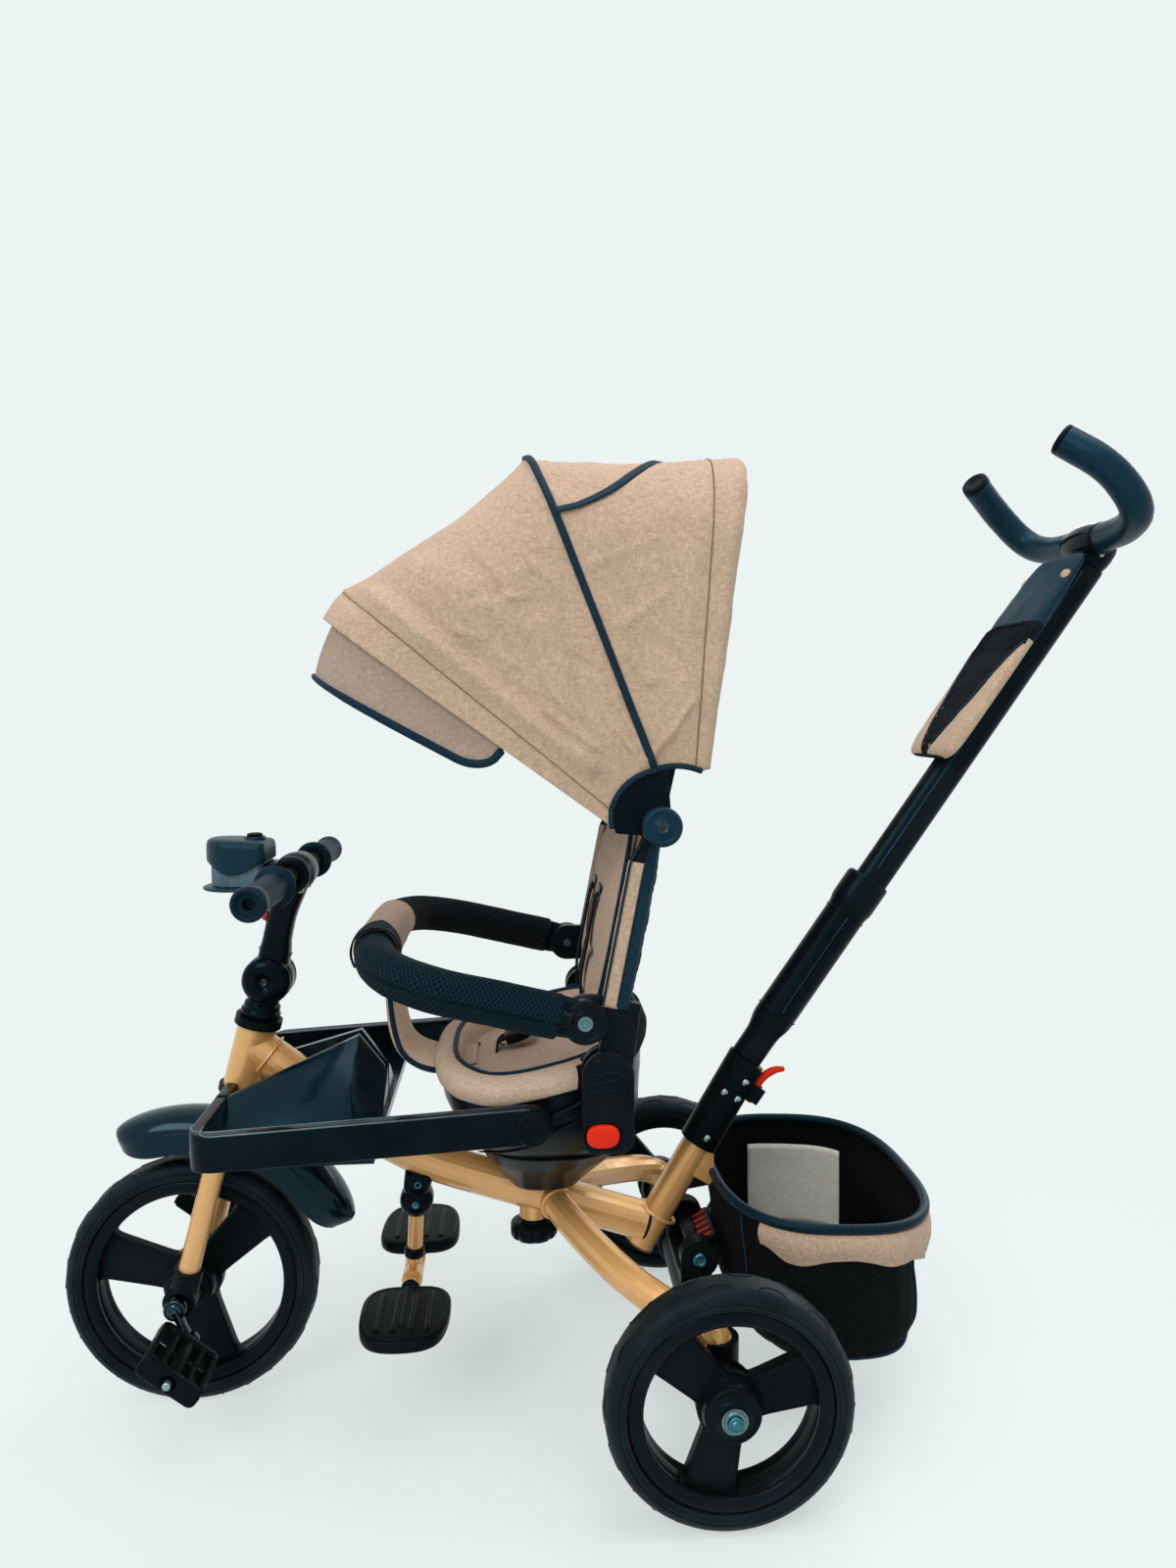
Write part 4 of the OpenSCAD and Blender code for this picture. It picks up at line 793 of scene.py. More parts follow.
def cloth_piece(name, rows, paint, thickness):
    """A sheet from a grid of rows, with its thickness towards the inside."""
    points, faces = skin(rows, ring_closed=False, caps=False)
    run = travel(rows[0]) * MM
    uvs = [(u, i * 0.004) for i in range(len(rows)) for u in run]
    made = mesh_piece(name, points, faces, paint, None, (), True, uvs, fix=False)
    centre = np.array(at(*(HUB + vec(90, 0, 120))))
    middle = made.data.polygons[len(made.data.polygons) // 2]
    if np.dot(np.array(middle.normal), np.array(middle.center) - centre) < 0:
        made.data.flip_normals()
    made.data.materials.append(PAINTS["lining"])
    modify(made, "SOLIDIFY", thickness=thickness * MM, offset=-1, material_offset=1, material_offset_rim=0)
    return made


def seam_places(count, seams):
    """Evenly spread places from 0 to 1, with close rows beside each seam."""
    places = set(round(i / count, 4) for i in range(count + 1))
    for seam in seams:
        places |= {round(seam + d, 4) for d in (-0.012, -0.006, 0, 0.006, 0.012) if 0 <= seam + d <= 1}
    return sorted(places)


def raised(line, by):
    """A line of the cloth lifted off it, away from the child."""
    away = line - (HUB + vec(60, 0, 60))
    away[:, 1] *= 1.5
    return line + away / np.linalg.norm(away, axis=1)[:, None] * by


def tape(name, line, width, thickness):
    """A flat binding laid along a line of the canopy."""
    tangents = np.gradient(line, axis=0)
    away = raised(line, 1.0) - line
    rings = []
    for p, way, out in zip(line, tangents, away):
        way = unit(way)
        out = unit(out - way * np.dot(out, way))
        side = np.cross(way, out)
        rings.append([p + side * x + out * y for x, y in oval(width / 2, thickness / 2, 12, 2.6)])
    return skin_piece(name, rings, "piping", None)


def make_canopy():
    """The two canopy panels and the visor, with their piping, bindings and stitching."""
    back = seam_places(60, [])
    rear = fan((MID_HEM, MID_TOP), (REAR_HEM, REAR_TOP), back, 21)
    rear = folded(rear, 1, 2.0)
    # behind the last bow the cloth turns in as a narrow facing
    edge, inward = rear[-1], -outward(rear)[-1]
    facing = []
    for k in range(1, 9):
        a = pi * k / 9
        facing.append(edge + vec(-1, 0, 0.12) * 12 * sin(a) + inward * 13 * (1 - cos(a)))
    rear = np.vstack([rear, np.array(facing)])
    rear_piece = cloth_piece("canopy_rear_cloth", rear, "beige_fabric", 2.2)
    places = seam_places(70, [0.0])
    front = folded(fan((MID_HEM, MID_TOP), (FRONT_HEM, FRONT_TOP), places, 26), 3, 2.0)
    flap_places = [0.0, 0.02, 0.05, 0.08, 0.11, 0.14] + [round(0.2 + 0.8 * i / 12, 4) for i in range(13)]
    flap = fan((FRONT_HEM, FRONT_TOP), (FLAP_HEM, FLAP_TOP), flap_places, -1.5)
    flap = flap + outward(flap) * (rough_noise(flap, 40, 6) * 1.2)[:, :, None]
    start = front[-1] - flap[0]
    fade = np.clip(1 - np.array(flap_places) / 0.5, 0, 1)
    flap = flap + start[None] * fade[:, None, None]
    for seam, depth in ((0.05, 1.8), (0.16, 1.3)):
        flap = groove(flap, flap_places, seam, depth, 1.5, 36)
    front = np.vstack([front, flap[1:]])
    # the free edge of the flap turns under
    edge, inward = front[-1], -outward(front)[-1]
    front = np.vstack([front, (edge + inward * 2.5 + (front[-2] - edge) * 0.2)[None],
                       (edge + inward * 4.5 + (front[-2] - edge) * 1.2)[None]])
    front_piece = cloth_piece("canopy_front_cloth", front, "beige_fabric", 2.2)

    # visor: its back corners are rounded off, and its beige is darkened as painted shade
    visor_places = [i / 26 for i in range(27)]
    rows = fan((VISOR_HEM, VISOR_TOP), ((176, 31.0), (398, 36.6)), visor_places, -2)
    inset = outward(rows) * -5.5
    rows = rows + inset + outward(rows) * (rough_noise(rows, 70, 9) * 1.6)[:, :, None]
    spread = np.linspace(0, 1, ARCH_STEPS + 1)
    corner = 0.055
    near = np.clip((corner - np.minimum(spread, 1 - spread)) / corner, 0, 1)
    lift = (1 - np.sqrt(np.clip(1 - near ** 2, 0, 1))) * 0.62
    shaped = np.empty_like(rows)
    for k in range(ARCH_STEPS + 1):
        wanted = lift[k] + (1 - lift[k]) * np.array(visor_places)
        for axis in range(3):
            shaped[:, k, axis] = np.interp(wanted, visor_places, rows[:, k, axis])
    visor_piece = cloth_piece("visor_cloth", shaped, "painted_shade_fabric", 2.0)
    lip = resample(shaped[0], 150)
    binding = sweep("visor_binding", lip, oval(2.6, 4.2, 12, 2.4), "piping", None, up=vec(0.6, 0, 0.8),
                    dome=2.5)
    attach(visor_piece, "visor")
    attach(binding, "visor")
    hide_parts("visor")

    # piping along the middle bow, the bound edge of the roof window, and the bound hem
    mid_line = resample(raised(front[0] * 0.5 + rear[0] * 0.5, 1.2), 150)
    piping = tape("mid_piping", mid_line, 8.0, 5.0)
    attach(piping, "mid_canopy")
    rear_bind = hem_binding("rear_hem_binding", rear[:len(back)])
    front_bind = hem_binding("front_hem_binding", front[:-2])
    window = window_binding(rear[:len(back)], back)
    # lines of stitching beside the last bow and along the turned flap
    stitched = [tube("rear_stitching", resample(raised(rear[53], 0.4), 150), 0.8, "seam_thread", None,
                     sides=6)]
    flap_row = len(places) + 1
    flap_stitching = tube("flap_stitching", resample(raised(front[flap_row], 0.2), 150), 0.8, "seam_thread",
                          None, sides=6)
    shares = {"canopy_rear_panel": (rear_piece, rear), "canopy_front_panel": (front_piece, front)}
    for node, (piece, rows) in shares.items():
        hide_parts(node)
    blend_fan(rear_piece)
    blend_fan(front_piece)
    for piece in rear_bind + [window] + stitched:
        blend_fan(piece)
    for piece in front_bind + [flap_stitching]:
        blend_fan(piece)


def blend_fan(piece):
    """Writes the piece's place into its mesh points, leaving the object at the origin with no turn."""
    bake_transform(piece)


def hem_binding(name, rows):
    """Black tape along both hems of a panel."""
    made = []
    for end, side in ((0, "left"), (-1, "right")):
        line = resample(rows[:, end], 60)
        made.append(sweep(f"{name}_{side}", line, oval(3.0, 4.6, 12, 2.4), "piping", None,
                          up=vec(0, 1, 0), dome=2.0))
    return made


def window_binding(rows, places):
    """The curved tape round the window in the roof, from the middle bow back and over the top."""
    line = []
    low, reach = 0.28, 0.75
    for i in range(81):
        across = mix(low, 1 - low, i / 80)
        near = min(abs(across - 0.5) / (0.5 - low), 1.0)
        t = reach * (1 - near ** 2.6) ** 0.62
        k = across * ARCH_STEPS
        row = np.array([np.interp(t, places, rows[:, int(k), axis]) for axis in range(3)])
        column = rows[:, min(int(k) + 1, ARCH_STEPS)]
        nxt = np.array([np.interp(t, places, column[:, axis]) for axis in range(3)])
        line.append(mix(row, nxt, k - int(k)))
    return tape("window_binding", resample(raised(np.array(line), 0.6), 140), 9.5, 3.2)


make_canopy()


# ---------- seat ----------

SEAT_X, SEAT_REACH, SEAT_HALF, RIM_Z, BASE_Z = 176, 116, 158, 404, 316


def rim_rise(x):
    """How much the seat rim climbs towards the back."""
    return 40 * max(0.0, (SEAT_X + 58 - x) / (58 + SEAT_REACH)) ** 1.2


def level(cx, z, a, b, power=2.6, climb=0.0):
    """A rounded oval at height z; climb is the share of the rim's rise that it follows."""
    ring = np.zeros((96, 3))
    ring[:, :2] = oval(a, b, 96, power)
    ring[:, 0] += cx
    ring[:, 2] = z
    for p in ring:
        p[2] += climb * rim_rise(p[0])
    return ring


def make_seat_shell():
    """The hard bowl of the seat."""
    rings = [level(SEAT_X - 12, BASE_Z, 82, 106, 2.8), level(SEAT_X - 12, BASE_Z + 1, 88, 112, 2.8),
             level(SEAT_X - 9, BASE_Z + 12, 97, 123, 2.7), level(SEAT_X - 6, BASE_Z + 26, 104, 134),
             level(SEAT_X - 3, BASE_Z + 40, 109.5, 146, climb=0.06),
             level(SEAT_X, BASE_Z + 56, 113, 152.5, climb=0.16),
             level(SEAT_X, BASE_Z + 68, 114.6, 154.6, climb=0.4),
             level(SEAT_X, RIM_Z - 11, 115.4, 156, climb=0.9),
             level(SEAT_X, RIM_Z - 10, 117.6, 158.4, climb=1),
             level(SEAT_X, RIM_Z - 7, 118.4, 159.2, climb=1),
             level(SEAT_X, RIM_Z - 3.5, 117.6, 158.6, climb=1),
             level(SEAT_X, RIM_Z - 3, 115.8, 157, climb=1), level(SEAT_X, RIM_Z - 1, 115.6, 156.8, climb=1),
             level(SEAT_X, RIM_Z, 114, 155, climb=1), level(SEAT_X, RIM_Z - 1, 111, 152, climb=1),
             level(SEAT_X, RIM_Z - 30, 108, 147, climb=0.7), level(SEAT_X - 6, BASE_Z + 30, 98, 128),
             level(SEAT_X - 12, BASE_Z + 7, 76, 100)]
    shell = skin_piece("seat_shell_skin", rings, "satin_black", "chassis", ["seat_shell"])
    crisp(shell, 40)
    # raised character lines along each flank, and the groove under the rim
    for side, word in SIDES:
        lines = [[(288, 118, 352), (250, 143, 356), (206, 154, 366), (160, 157, 384), (122, 156, 402)],
                 [(284, 122, 340), (240, 141, 344), (190, 149, 354), (140, 152, 372)],
                 [(246, 128, 334), (214, 137, 337), (176, 143, 346)]]
        for number, points in enumerate(lines):
            line = spline([(x, y * side, z) for x, y, z in points], 10)
            width = (2.6, 2.0, 1.6)[number]
            tube(f"seat_ridge_{number}_{word}", line, width, "satin_black", "chassis", sides=10,
                 scale=lambda t: 0.25 + 0.75 * sin(pi * min(max(t, 0.0), 1.0)) ** 0.5, dome=1.0)


def make_seat_base():
    """The foot of the seat, which spreads from the main tube to the shell."""
    rings = [level(SEAT_X - 4, 246.5, 34, 34), level(SEAT_X - 4, 247.5, 40, 40),
             level(SEAT_X - 4, 252, 44, 45), level(SEAT_X - 5, 261, 51, 54), level(SEAT_X - 6, 272, 60, 66),
             level(SEAT_X - 7, 283, 69, 79), level(SEAT_X - 8, 292, 76, 90),
             level(SEAT_X - 10, 306, 84, 104), level(SEAT_X - 12, BASE_Z - 2, 88, 112),
             level(SEAT_X - 12, BASE_Z - 0.5, 86, 110)]
    skin_piece("seat_base_skin", resample_rows(np.array(rings), 3), "satin_black", "chassis", ["seat_base"])


def make_liner():
    """The padded cloth rolled over the shell's rim, with the bowl inside it."""
    rows = [level(SEAT_X, RIM_Z - 13, 119.4, 160.4, climb=0.97),
            level(SEAT_X, RIM_Z - 8, 121.6, 162.6, climb=1),
            level(SEAT_X, RIM_Z + 1, 122.4, 163.2, climb=1),
            level(SEAT_X, RIM_Z + 7, 119.4, 160.6, climb=1),
            level(SEAT_X, RIM_Z + 11.5, 113.5, 155, climb=1),
            level(SEAT_X - 1, RIM_Z + 13, 106, 147, climb=1),
            level(SEAT_X - 3, RIM_Z + 11.5, 99.5, 139.5, climb=1),
            level(SEAT_X - 4, RIM_Z + 7, 95.5, 134.5, climb=1),
            level(SEAT_X - 4, RIM_Z - 2, 92.5, 131, climb=0.92),
            level(SEAT_X - 4, RIM_Z - 14, 89, 127, climb=0.7),
            level(SEAT_X - 4, RIM_Z - 26, 84, 122, climb=0.4),
            level(SEAT_X - 4, BASE_Z + 56, 76, 115, climb=0.15), level(SEAT_X - 4, BASE_Z + 52, 66, 104),
            level(SEAT_X - 4, BASE_Z + 51, 46, 80), level(SEAT_X - 4, BASE_Z + 51.5, 22, 46),
            level(SEAT_X - 4, BASE_Z + 51.5, 4, 8)]
    grid = resample_rows(np.array(rows), 3)
    centre = vec(SEAT_X, 0, RIM_Z + 40)
    away = grid - centre
    away /= np.linalg.norm(away, axis=2)[:, :, None]
    wrinkle = rough_noise(grid, 46, 21) * 2.0 + rough_noise(grid, 17, 22) * 0.9
    # gathers where the cloth turns over the rim
    turn = np.arctan2(grid[:, :, 1] / SEAT_HALF, (grid[:, :, 0] - SEAT_X) / SEAT_REACH)
    heights = grid[:, :, 2] - RIM_Z
    gather = np.exp(-((heights - 4) / 16) ** 2) * 0.55 * np.sin(turn * 46 + 3 * np.sin(turn * 9))
    grid = grid + away * (wrinkle + gather)[:, :, None]
    # the liner's beige is lightened as painted light
    liner = skin_piece("seat_liner_cloth", grid, "seat_fabric_painted_light", "chassis", ["seat_liner"])
    # towards the back the outside of the roll is the black cover, with piping where it ends
    liner.data.materials.append(PAINTS["black_fabric"])
    count = grid.shape[1]
    for number, face in enumerate(liner.data.polygons[:(len(grid) - 1) * count]):
        row, k = number // count, number % count
        if row < 13 and grid[row, k, 0] < 143:
            face.material_index = 1
    behind = [k for k in range(count) if grid[13, k, 0] < 143]
    start = next(i for i, k in enumerate(behind) if k - behind[i - 1] != 1)
    line = np.array([grid[13, k] for k in behind[start:] + behind[:start]]) + vec(0, 0, 0.8)
    tube("liner_cover_piping", line, 2.2, "piping", "chassis", sides=10, dome=1.5)


def resample_rows(rows, times):
    """The same rings with smooth ones worked in between."""
    return np.stack([spline(rows[:, k], times) for k in range(rows.shape[1])], axis=1)


def ring_line(cx, z, a, b, climb, power=2.6):
    """A closed line round the seat, like one of its levels."""
    return np.array([vec(cx + x, y, z + climb * rim_rise(cx + x)) for x, y in oval(a, b, 120, power)])


def make_cushion():
    """The crowned seat cushion with its piped edge, in the bottom of the bowl."""
    rings = []
    for grow, z in ((0.90, 371), (0.97, 374), (1.0, 379), (1.0, 384), (0.975, 389), (0.93, 392.5),
                    (0.84, 395), (0.70, 396.6), (0.5, 397.2), (0.3, 397), (0.12, 396.6), (0.02, 396.5)):
        rings.append(level(SEAT_X + 2, z, 78 * grow, 112 * grow, 2.7, climb=0.22))
    grid = resample_rows(np.array(rings), 3)
    x, y = grid[:, :, 0] - SEAT_X, grid[:, :, 1]
    top = np.clip((grid[:, :, 2] - 385) / 10, 0, 1)
    # sewn channels and the hollow that a child sits in
    channels = sum(np.exp(-((y - c) / 2.6) ** 2) for c in (-58, 58)) * 4.0
    hollow = 6.0 * np.exp(-((x - 8) / 62) ** 2 - (y / 66) ** 2)
    fold = rough_noise(grid, 30, 31) * 1.8 + rough_noise(grid, 12, 32) * 0.6
    grid[:, :, 2] += (fold - channels - hollow) * top
    # the cushion's beige is lightened as painted light
    cushion = skin_piece("seat_cushion", grid, "seat_fabric_painted_light", "chassis")
    edge = ring_line(SEAT_X + 2, 389.5, 77.5, 111.5, 0.3, 2.7)
    tube("cushion_piping", edge, 3.4, "piping", "chassis", sides=12, closed=True)
    # piped opening of the inner liner, on top of the rolled rim
    edge = ring_line(SEAT_X - 2, RIM_Z + 12.4, 101, 141.5, 1.0)
    tube("liner_piping", edge, 3.0, "piping", "chassis", sides=12, closed=True)


def strap(name, line, body, up):
    """A length of flat black webbing."""
    sweep(name, line, oval(25 / 2, 2.4 / 2, 14, 5), "black_fabric", body, up=up)


def make_harness():
    """Two black webbing straps over the cushion with their keepers, the crotch strap and the buckle."""
    for number, y in enumerate((-36, 40)):
        line = spline([(96, y * 0.9, 452), (108, y * 0.92, 424), (128, y, 402), (156, y, 395),
                       (190, y * 0.98, 394), (214, y * 0.85, 398), (226, y * 0.7, 400)], 10)
        strap(f"harness_strap_{number}", line, "chassis", vec(0.3, 0, 1))
        lathe(f"strap_keeper_{number}", [(2, 0), (15.5, 0), (16.5, 1), (16.5, 3.4), (15.5, 4.4), (9, 4.4),
                                         (8, 3), (2, 3)], (162, y, 396), (0, 0, 1), "black_plastic",
              "chassis", sides=32)
    crotch = spline([(222, 0, 386), (228, 0, 400), (224, 0, 414), (208, 0, 420)], 10)
    strap("crotch_strap", crotch, "chassis", vec(1, 0, 0.2))
    outline = [(-17, -15), (17, -15), (20, -8), (20, 8), (14, 16), (-14, 16), (-20, 8), (-20, -8)]
    plate("harness_buckle", [rounded_outline(outline, 5)], 12, 2.4, (203, 0, 422), (0, 1, 0), (-1, 0, 0.35),
          "black_plastic", "chassis")
    plate("buckle_button", [rounded_outline([(-8, -7), (8, -7), (8, 7), (-8, 7)], 3)], 4, 1.2,
          (203, 0, 428.6), (0, 1, 0), (-1, 0, 0.35), "red_plastic", "chassis")


def rounded_outline(points, ease, steps=5):
    """A closed flat outline with its corners rounded."""
    points = [np.array((x, y, 0.0)) for x, y in points]
    line = []
    for corner in zip(points[-1:] + points, points, points[1:] + points[:1]):
        line += round_corner(*corner, ease, steps)
    return [(p[0], p[1]) for p in line]


def make_pommel():
    """The padded flap that runs out from the seat's front and turns up to the safety bar."""
    # centre line in the side view, half width and half thickness
    rows = [(250, 396, 36, 5), (266, 394, 39, 7), (284, 393, 41, 8), (304, 396, 42, 8.5), (322, 404, 42, 8.5),
            (334, 417, 42, 8), (340, 434, 42, 8), (344, 454, 41, 8), (346, 474, 40, 7.5), (347, 490, 37, 5)]
    path = spline([(x, 0, z) for x, z, _, _ in rows], 5)
    halves = np.interp(np.linspace(0, 1, len(path)), np.linspace(0, 1, len(rows)), [r[2] for r in rows])
    thicks = np.interp(np.linspace(0, 1, len(path)), np.linspace(0, 1, len(rows)), [r[3] for r in rows])
    sides = frames(path, vec(0, 1, 0))[0]
    rings = []
    for i, p in enumerate(path):
        shape = oval(thicks[i], halves[i], 44, 3.2)
        shape[:, 0] *= 1 + 0.25 * np.cos(shape[:, 1] / halves[i] * pi / 2)
        rings.append([p + sides[i] * u + vec(0, 1, 0) * v for u, v in shape])
    grid = np.array(rings)
    centre = grid.mean(axis=1, keepdims=True)
    away = grid - centre
    away /= np.linalg.norm(away, axis=2)[:, :, None]
    grid = grid + away * (rough_noise(grid, 34, 41) * 2.2 + rough_noise(grid, 13, 42) * 0.7)[:, :, None]
    # the pommel's beige is lightened as painted light
    pommel = skin_piece("pommel_pad", grid, "seat_fabric_painted_light", "chassis")
    for side, word in SIDES:
        edge = np.array([p + vec(0, side * (h + 1.5), 0) for p, h in zip(path, halves)])
        tube(f"pommel_piping_{word}", edge, 3.0, "piping", "chassis", sides=12, dome=2.0)
    across = spline([path[-1] + vec(0, y, 4 - 8 * (abs(y) / 38) ** 3)
                     for y in (-38, -26, -13, 0, 13, 26, 38)], 6)
    tube("pommel_piping_top", across, 3.0, "piping", "chassis", sides=12, dome=2.0)


make_seat_shell()
make_seat_base()
make_liner()
make_cushion()
make_harness()
make_pommel()


# ---------- wheels ----------

FRONT_AXLE = vec(583.5, 0, 142.5)
REAR_R, FRONT_R, TYRE_T, REAR_Y = 123, 142.5, 21, 241.2


def tread_half(r, half):
    """The tyre's outline from the middle of the tread to its inner edge: (radius, off the middle)."""
    return [(r + 0.2, 0), (r + 0.1, half * 0.2), (r - 0.3, half * 0.42), (r - 1.3, half * 0.6),
            (r - 3.3, half * 0.76), (r - 6.2, half * 0.88), (r - 9.4, half * 0.955), (r - 12, half - 0.3),
            (r - 12.5, half - 1.1), (r - 13.3, half - 1.1), (r - 13.8, half - 0.1), (r - 16.6, half - 0.3),
            (r - 17.2, half - 1.1), (r - 18, half - 1.2), (r - 18.6, half - 0.7), (r - TYRE_T, half - 2.6)]


def mirrored(half_outline):
    """A whole outline from its half, running from one side over the middle to the other."""
    far = [(r, -y) for r, y in reversed(half_outline)]
    return far[:-1] + half_outline if half_outline[0][1] == 0 else far + half_outline


def make_tyre(name, centre, r, half, body, node):
    """A tyre and the loops of its tread."""
    outline = spline([(p, q, 0) for p, q in mirrored(tread_half(r, half))], 3)
    inner = [(r - TYRE_T, half * 0.5, 0), (r - TYRE_T, -half * 0.5, 0)]
    lathe(name, [(p, q) for p, q, _ in list(outline) + inner], centre, (0, 1, 0), "tyre_black", body, [node],
          sides=128, closed=True)
    # loops moulded round the shoulders of the tread
    shape = tread_half(r, half)
    along = [q for _, q in shape]
    radii = [p for p, _ in shape]
    rings, faces = [], []
    for side in (1, -1):
        for k in range(14):
            loop = []
            for i in range(19):
                t = -1 + i / 9
                y = half * (0.93 - 0.60 * (1 - abs(t) ** 2.6) ** 0.5)
                angle = 2 * pi * (k + 0.25 * side) / 14 + t * 0.135
                reach = np.interp(y, along[:9], radii[:9]) + 0.25
                loop.append(np.array(centre) + vec(reach * cos(angle), side * y, reach * sin(angle)))
            loop = np.array(loop)
            sides, lifts = frames(loop)
            made = [loop[i] + 0.75 * (sides[i] * u + lifts[i] * v) for i in range(19)
                    for u, v in oval(1, 1, 6)]
            points, quads = skin(np.array(made).reshape(19, 6, 3))
            faces += [tuple(i + len(rings) for i in quad) for quad in quads]
            rings += list(points)
    mesh_piece(f"{name}_tread_loops", rings, faces, "tyre_black", body)


def window_outline(r_out, hub, inner_half, outer_half, turn):
    """The open window between two spokes, with its corners rounded."""
    line = []

    def edge(u, side, spoke):
        v = side * mix(inner_half, outer_half, (u - 20) / (r_out - 20))
        return (u * cos(spoke) - v * sin(spoke), u * sin(spoke) + v * cos(spoke), 0)

    first, second = turn, turn + 2 * pi / 3
    for u in np.linspace(hub, r_out - 1, 9):
        line.append(edge(u, 1, first))
    start, end = np.arctan2(line[-1][1], line[-1][0]), np.arctan2(*reversed(edge(r_out - 1, -1, second)[:2]))
    span = (end - start) % (2 * pi)
    for a in np.linspace(start, start + span, 16)[1:-1]:
        line.append((r_out * cos(a), r_out * sin(a), 0))
    for u in np.linspace(r_out - 1, hub, 9):
        line.append(edge(u, -1, second))
    ring = resample(line, 96, closed=True)
    for _ in range(9):
        ring = (np.roll(ring, 1, axis=0) + ring * 2 + np.roll(ring, -1, axis=0)) / 4
    return [(p[0], p[1]) for p in ring]


def make_rim(name, centre, r, width, hub_half, turn, body, node):
    """A rim with its three spokes and its hub."""
    inner = r - TYRE_T
    half = width / 2 - 2
    lip = [(inner - 13.2, 0), (inner - 13.6, 5), (inner - 15.2, half - 8), (inner - 16.2, half - 4.6),
           (inner - 15.6, half - 2.2), (inner - 13, half - 0.4), (inner - 9, half + 0.3),
           (inner - 4, half - 0.6), (inner - 1.2, half - 1.6), (inner - 0.4, half - 3.4)]
    outline = mirrored(lip)
    lathe(name, outline, centre, (0, 1, 0), "satin_black", body, [node], sides=128, closed=True)
    outer = [(q[0], q[1]) for q in oval(inner - 10, inner - 10, 128)]
    windows = [window_outline(inner - 15.4, 24, 19, 27, turn + 2 * pi * k / 3) for k in range(3)]
    plate(f"{name}_spokes", [outer] + windows, 16, 2.6, centre, (1, 0, 0), (0, 0, 1), "black_plastic", body,
          steps=3)
    # raised edge that runs beside each window on both faces
    for k, window in enumerate(windows):
        for side, word in ((1, "a"), (-1, "b")):
            grown = np.array(window)
            grown = grown + (grown - grown.mean(axis=0)) * 0.075
            line = [np.array(centre) + vec(x, side * 8.0, z) for x, z in grown]
            tube(f"{name}_window_edge_{k}_{word}", line, 1.1, "satin_black", body, sides=8, closed=True)
    steps = [(0.1, hub_half - 1), (15, hub_half - 1), (16, hub_half - 1.6), (16.8, hub_half - 3.4),
             (24.4, hub_half - 3.8), (25.2, hub_half - 3), (26.8, hub_half - 3), (28, hub_half - 4.4),
             (28.4, hub_half - 8), (29.5, 10.5), (33, 8)]
    lathe(f"{name}_hub", mirrored([(r, y) for r, y in reversed(steps)])[::-1], centre, (0, 1, 0),
          "satin_black", body, sides=64)


def make_wheels():
    """All three wheels, and the washers and nuts on the rear axle."""
    for side, word in SIDES:
        lathe(f"front_hub_cover_{word}", [(6, 0), (22.4, 0), (24.6, 0.8), (25, 1.8), (24, 3), (19, 3.6),
                                          (6, 3.6)], FRONT_AXLE + vec(0, side * 28.0, 0), (0, side, 0),
              "black_plastic", "front_wheel", sides=48)
    make_tyre("tyre_front", FRONT_AXLE, FRONT_R, 21.5, "front_wheel", "front_tyre")
    make_rim("rim_front", FRONT_AXLE, FRONT_R, 43, 29.5, radians(17), "front_wheel", "front_rim")
    for side, word in SIDES:
        centre = vec(0, side * REAR_Y, REAR_R)
        body = f"rear_wheel_{word}"
        make_tyre(f"tyre_rear_{word}", centre, REAR_R, 22.5, body, f"rear_tyre_{word}")
        make_rim(f"rim_rear_{word}", centre, REAR_R, 45, 27.5, radians(44), body, f"rear_rim_{word}")
        # washer, nut and its domed end outside the hub
        face = centre + vec(0, side * 30.4, 0)
        lathe(f"axle_washer_{word}", [(2, 0), (10.4, 0), (10.8, 0.6), (10.2, 1.6), (8.6, 2.2), (2, 2.2)],
              face, (0, side, 0), "chrome_metal", "chassis")
        lathe(f"axle_nut_{word}", [(2, 1.8), (8.0, 1.8), (8.2, 2.6), (7.8, 5.2), (7.2, 6.0), (6.2, 6.3),
                                   (5.8, 5.6), (5.2, 5.4), (4.6, 6.8), (3.0, 7.8), (0.2, 8.2)], face,
              (0, side, 0), "teal_bolt", "chassis")


make_wheels()


# ---------- basket ----------

BASKET_X, BASKET_Z, BASKET_REACH, BASKET_HALF, BASKET_TIP = -147, 246, 119, 155, 0.04


def basket_level(cx, z, a, b, tip, power, count=144):
    """A rounded oval of the basket; tip raises it towards the front."""
    ring = np.zeros((count, 3))
    ring[:, :2] = oval(a, b, count, power)
    ring[:, 2] = z + tip * ring[:, 0]
    ring[:, 0] += cx
    return ring


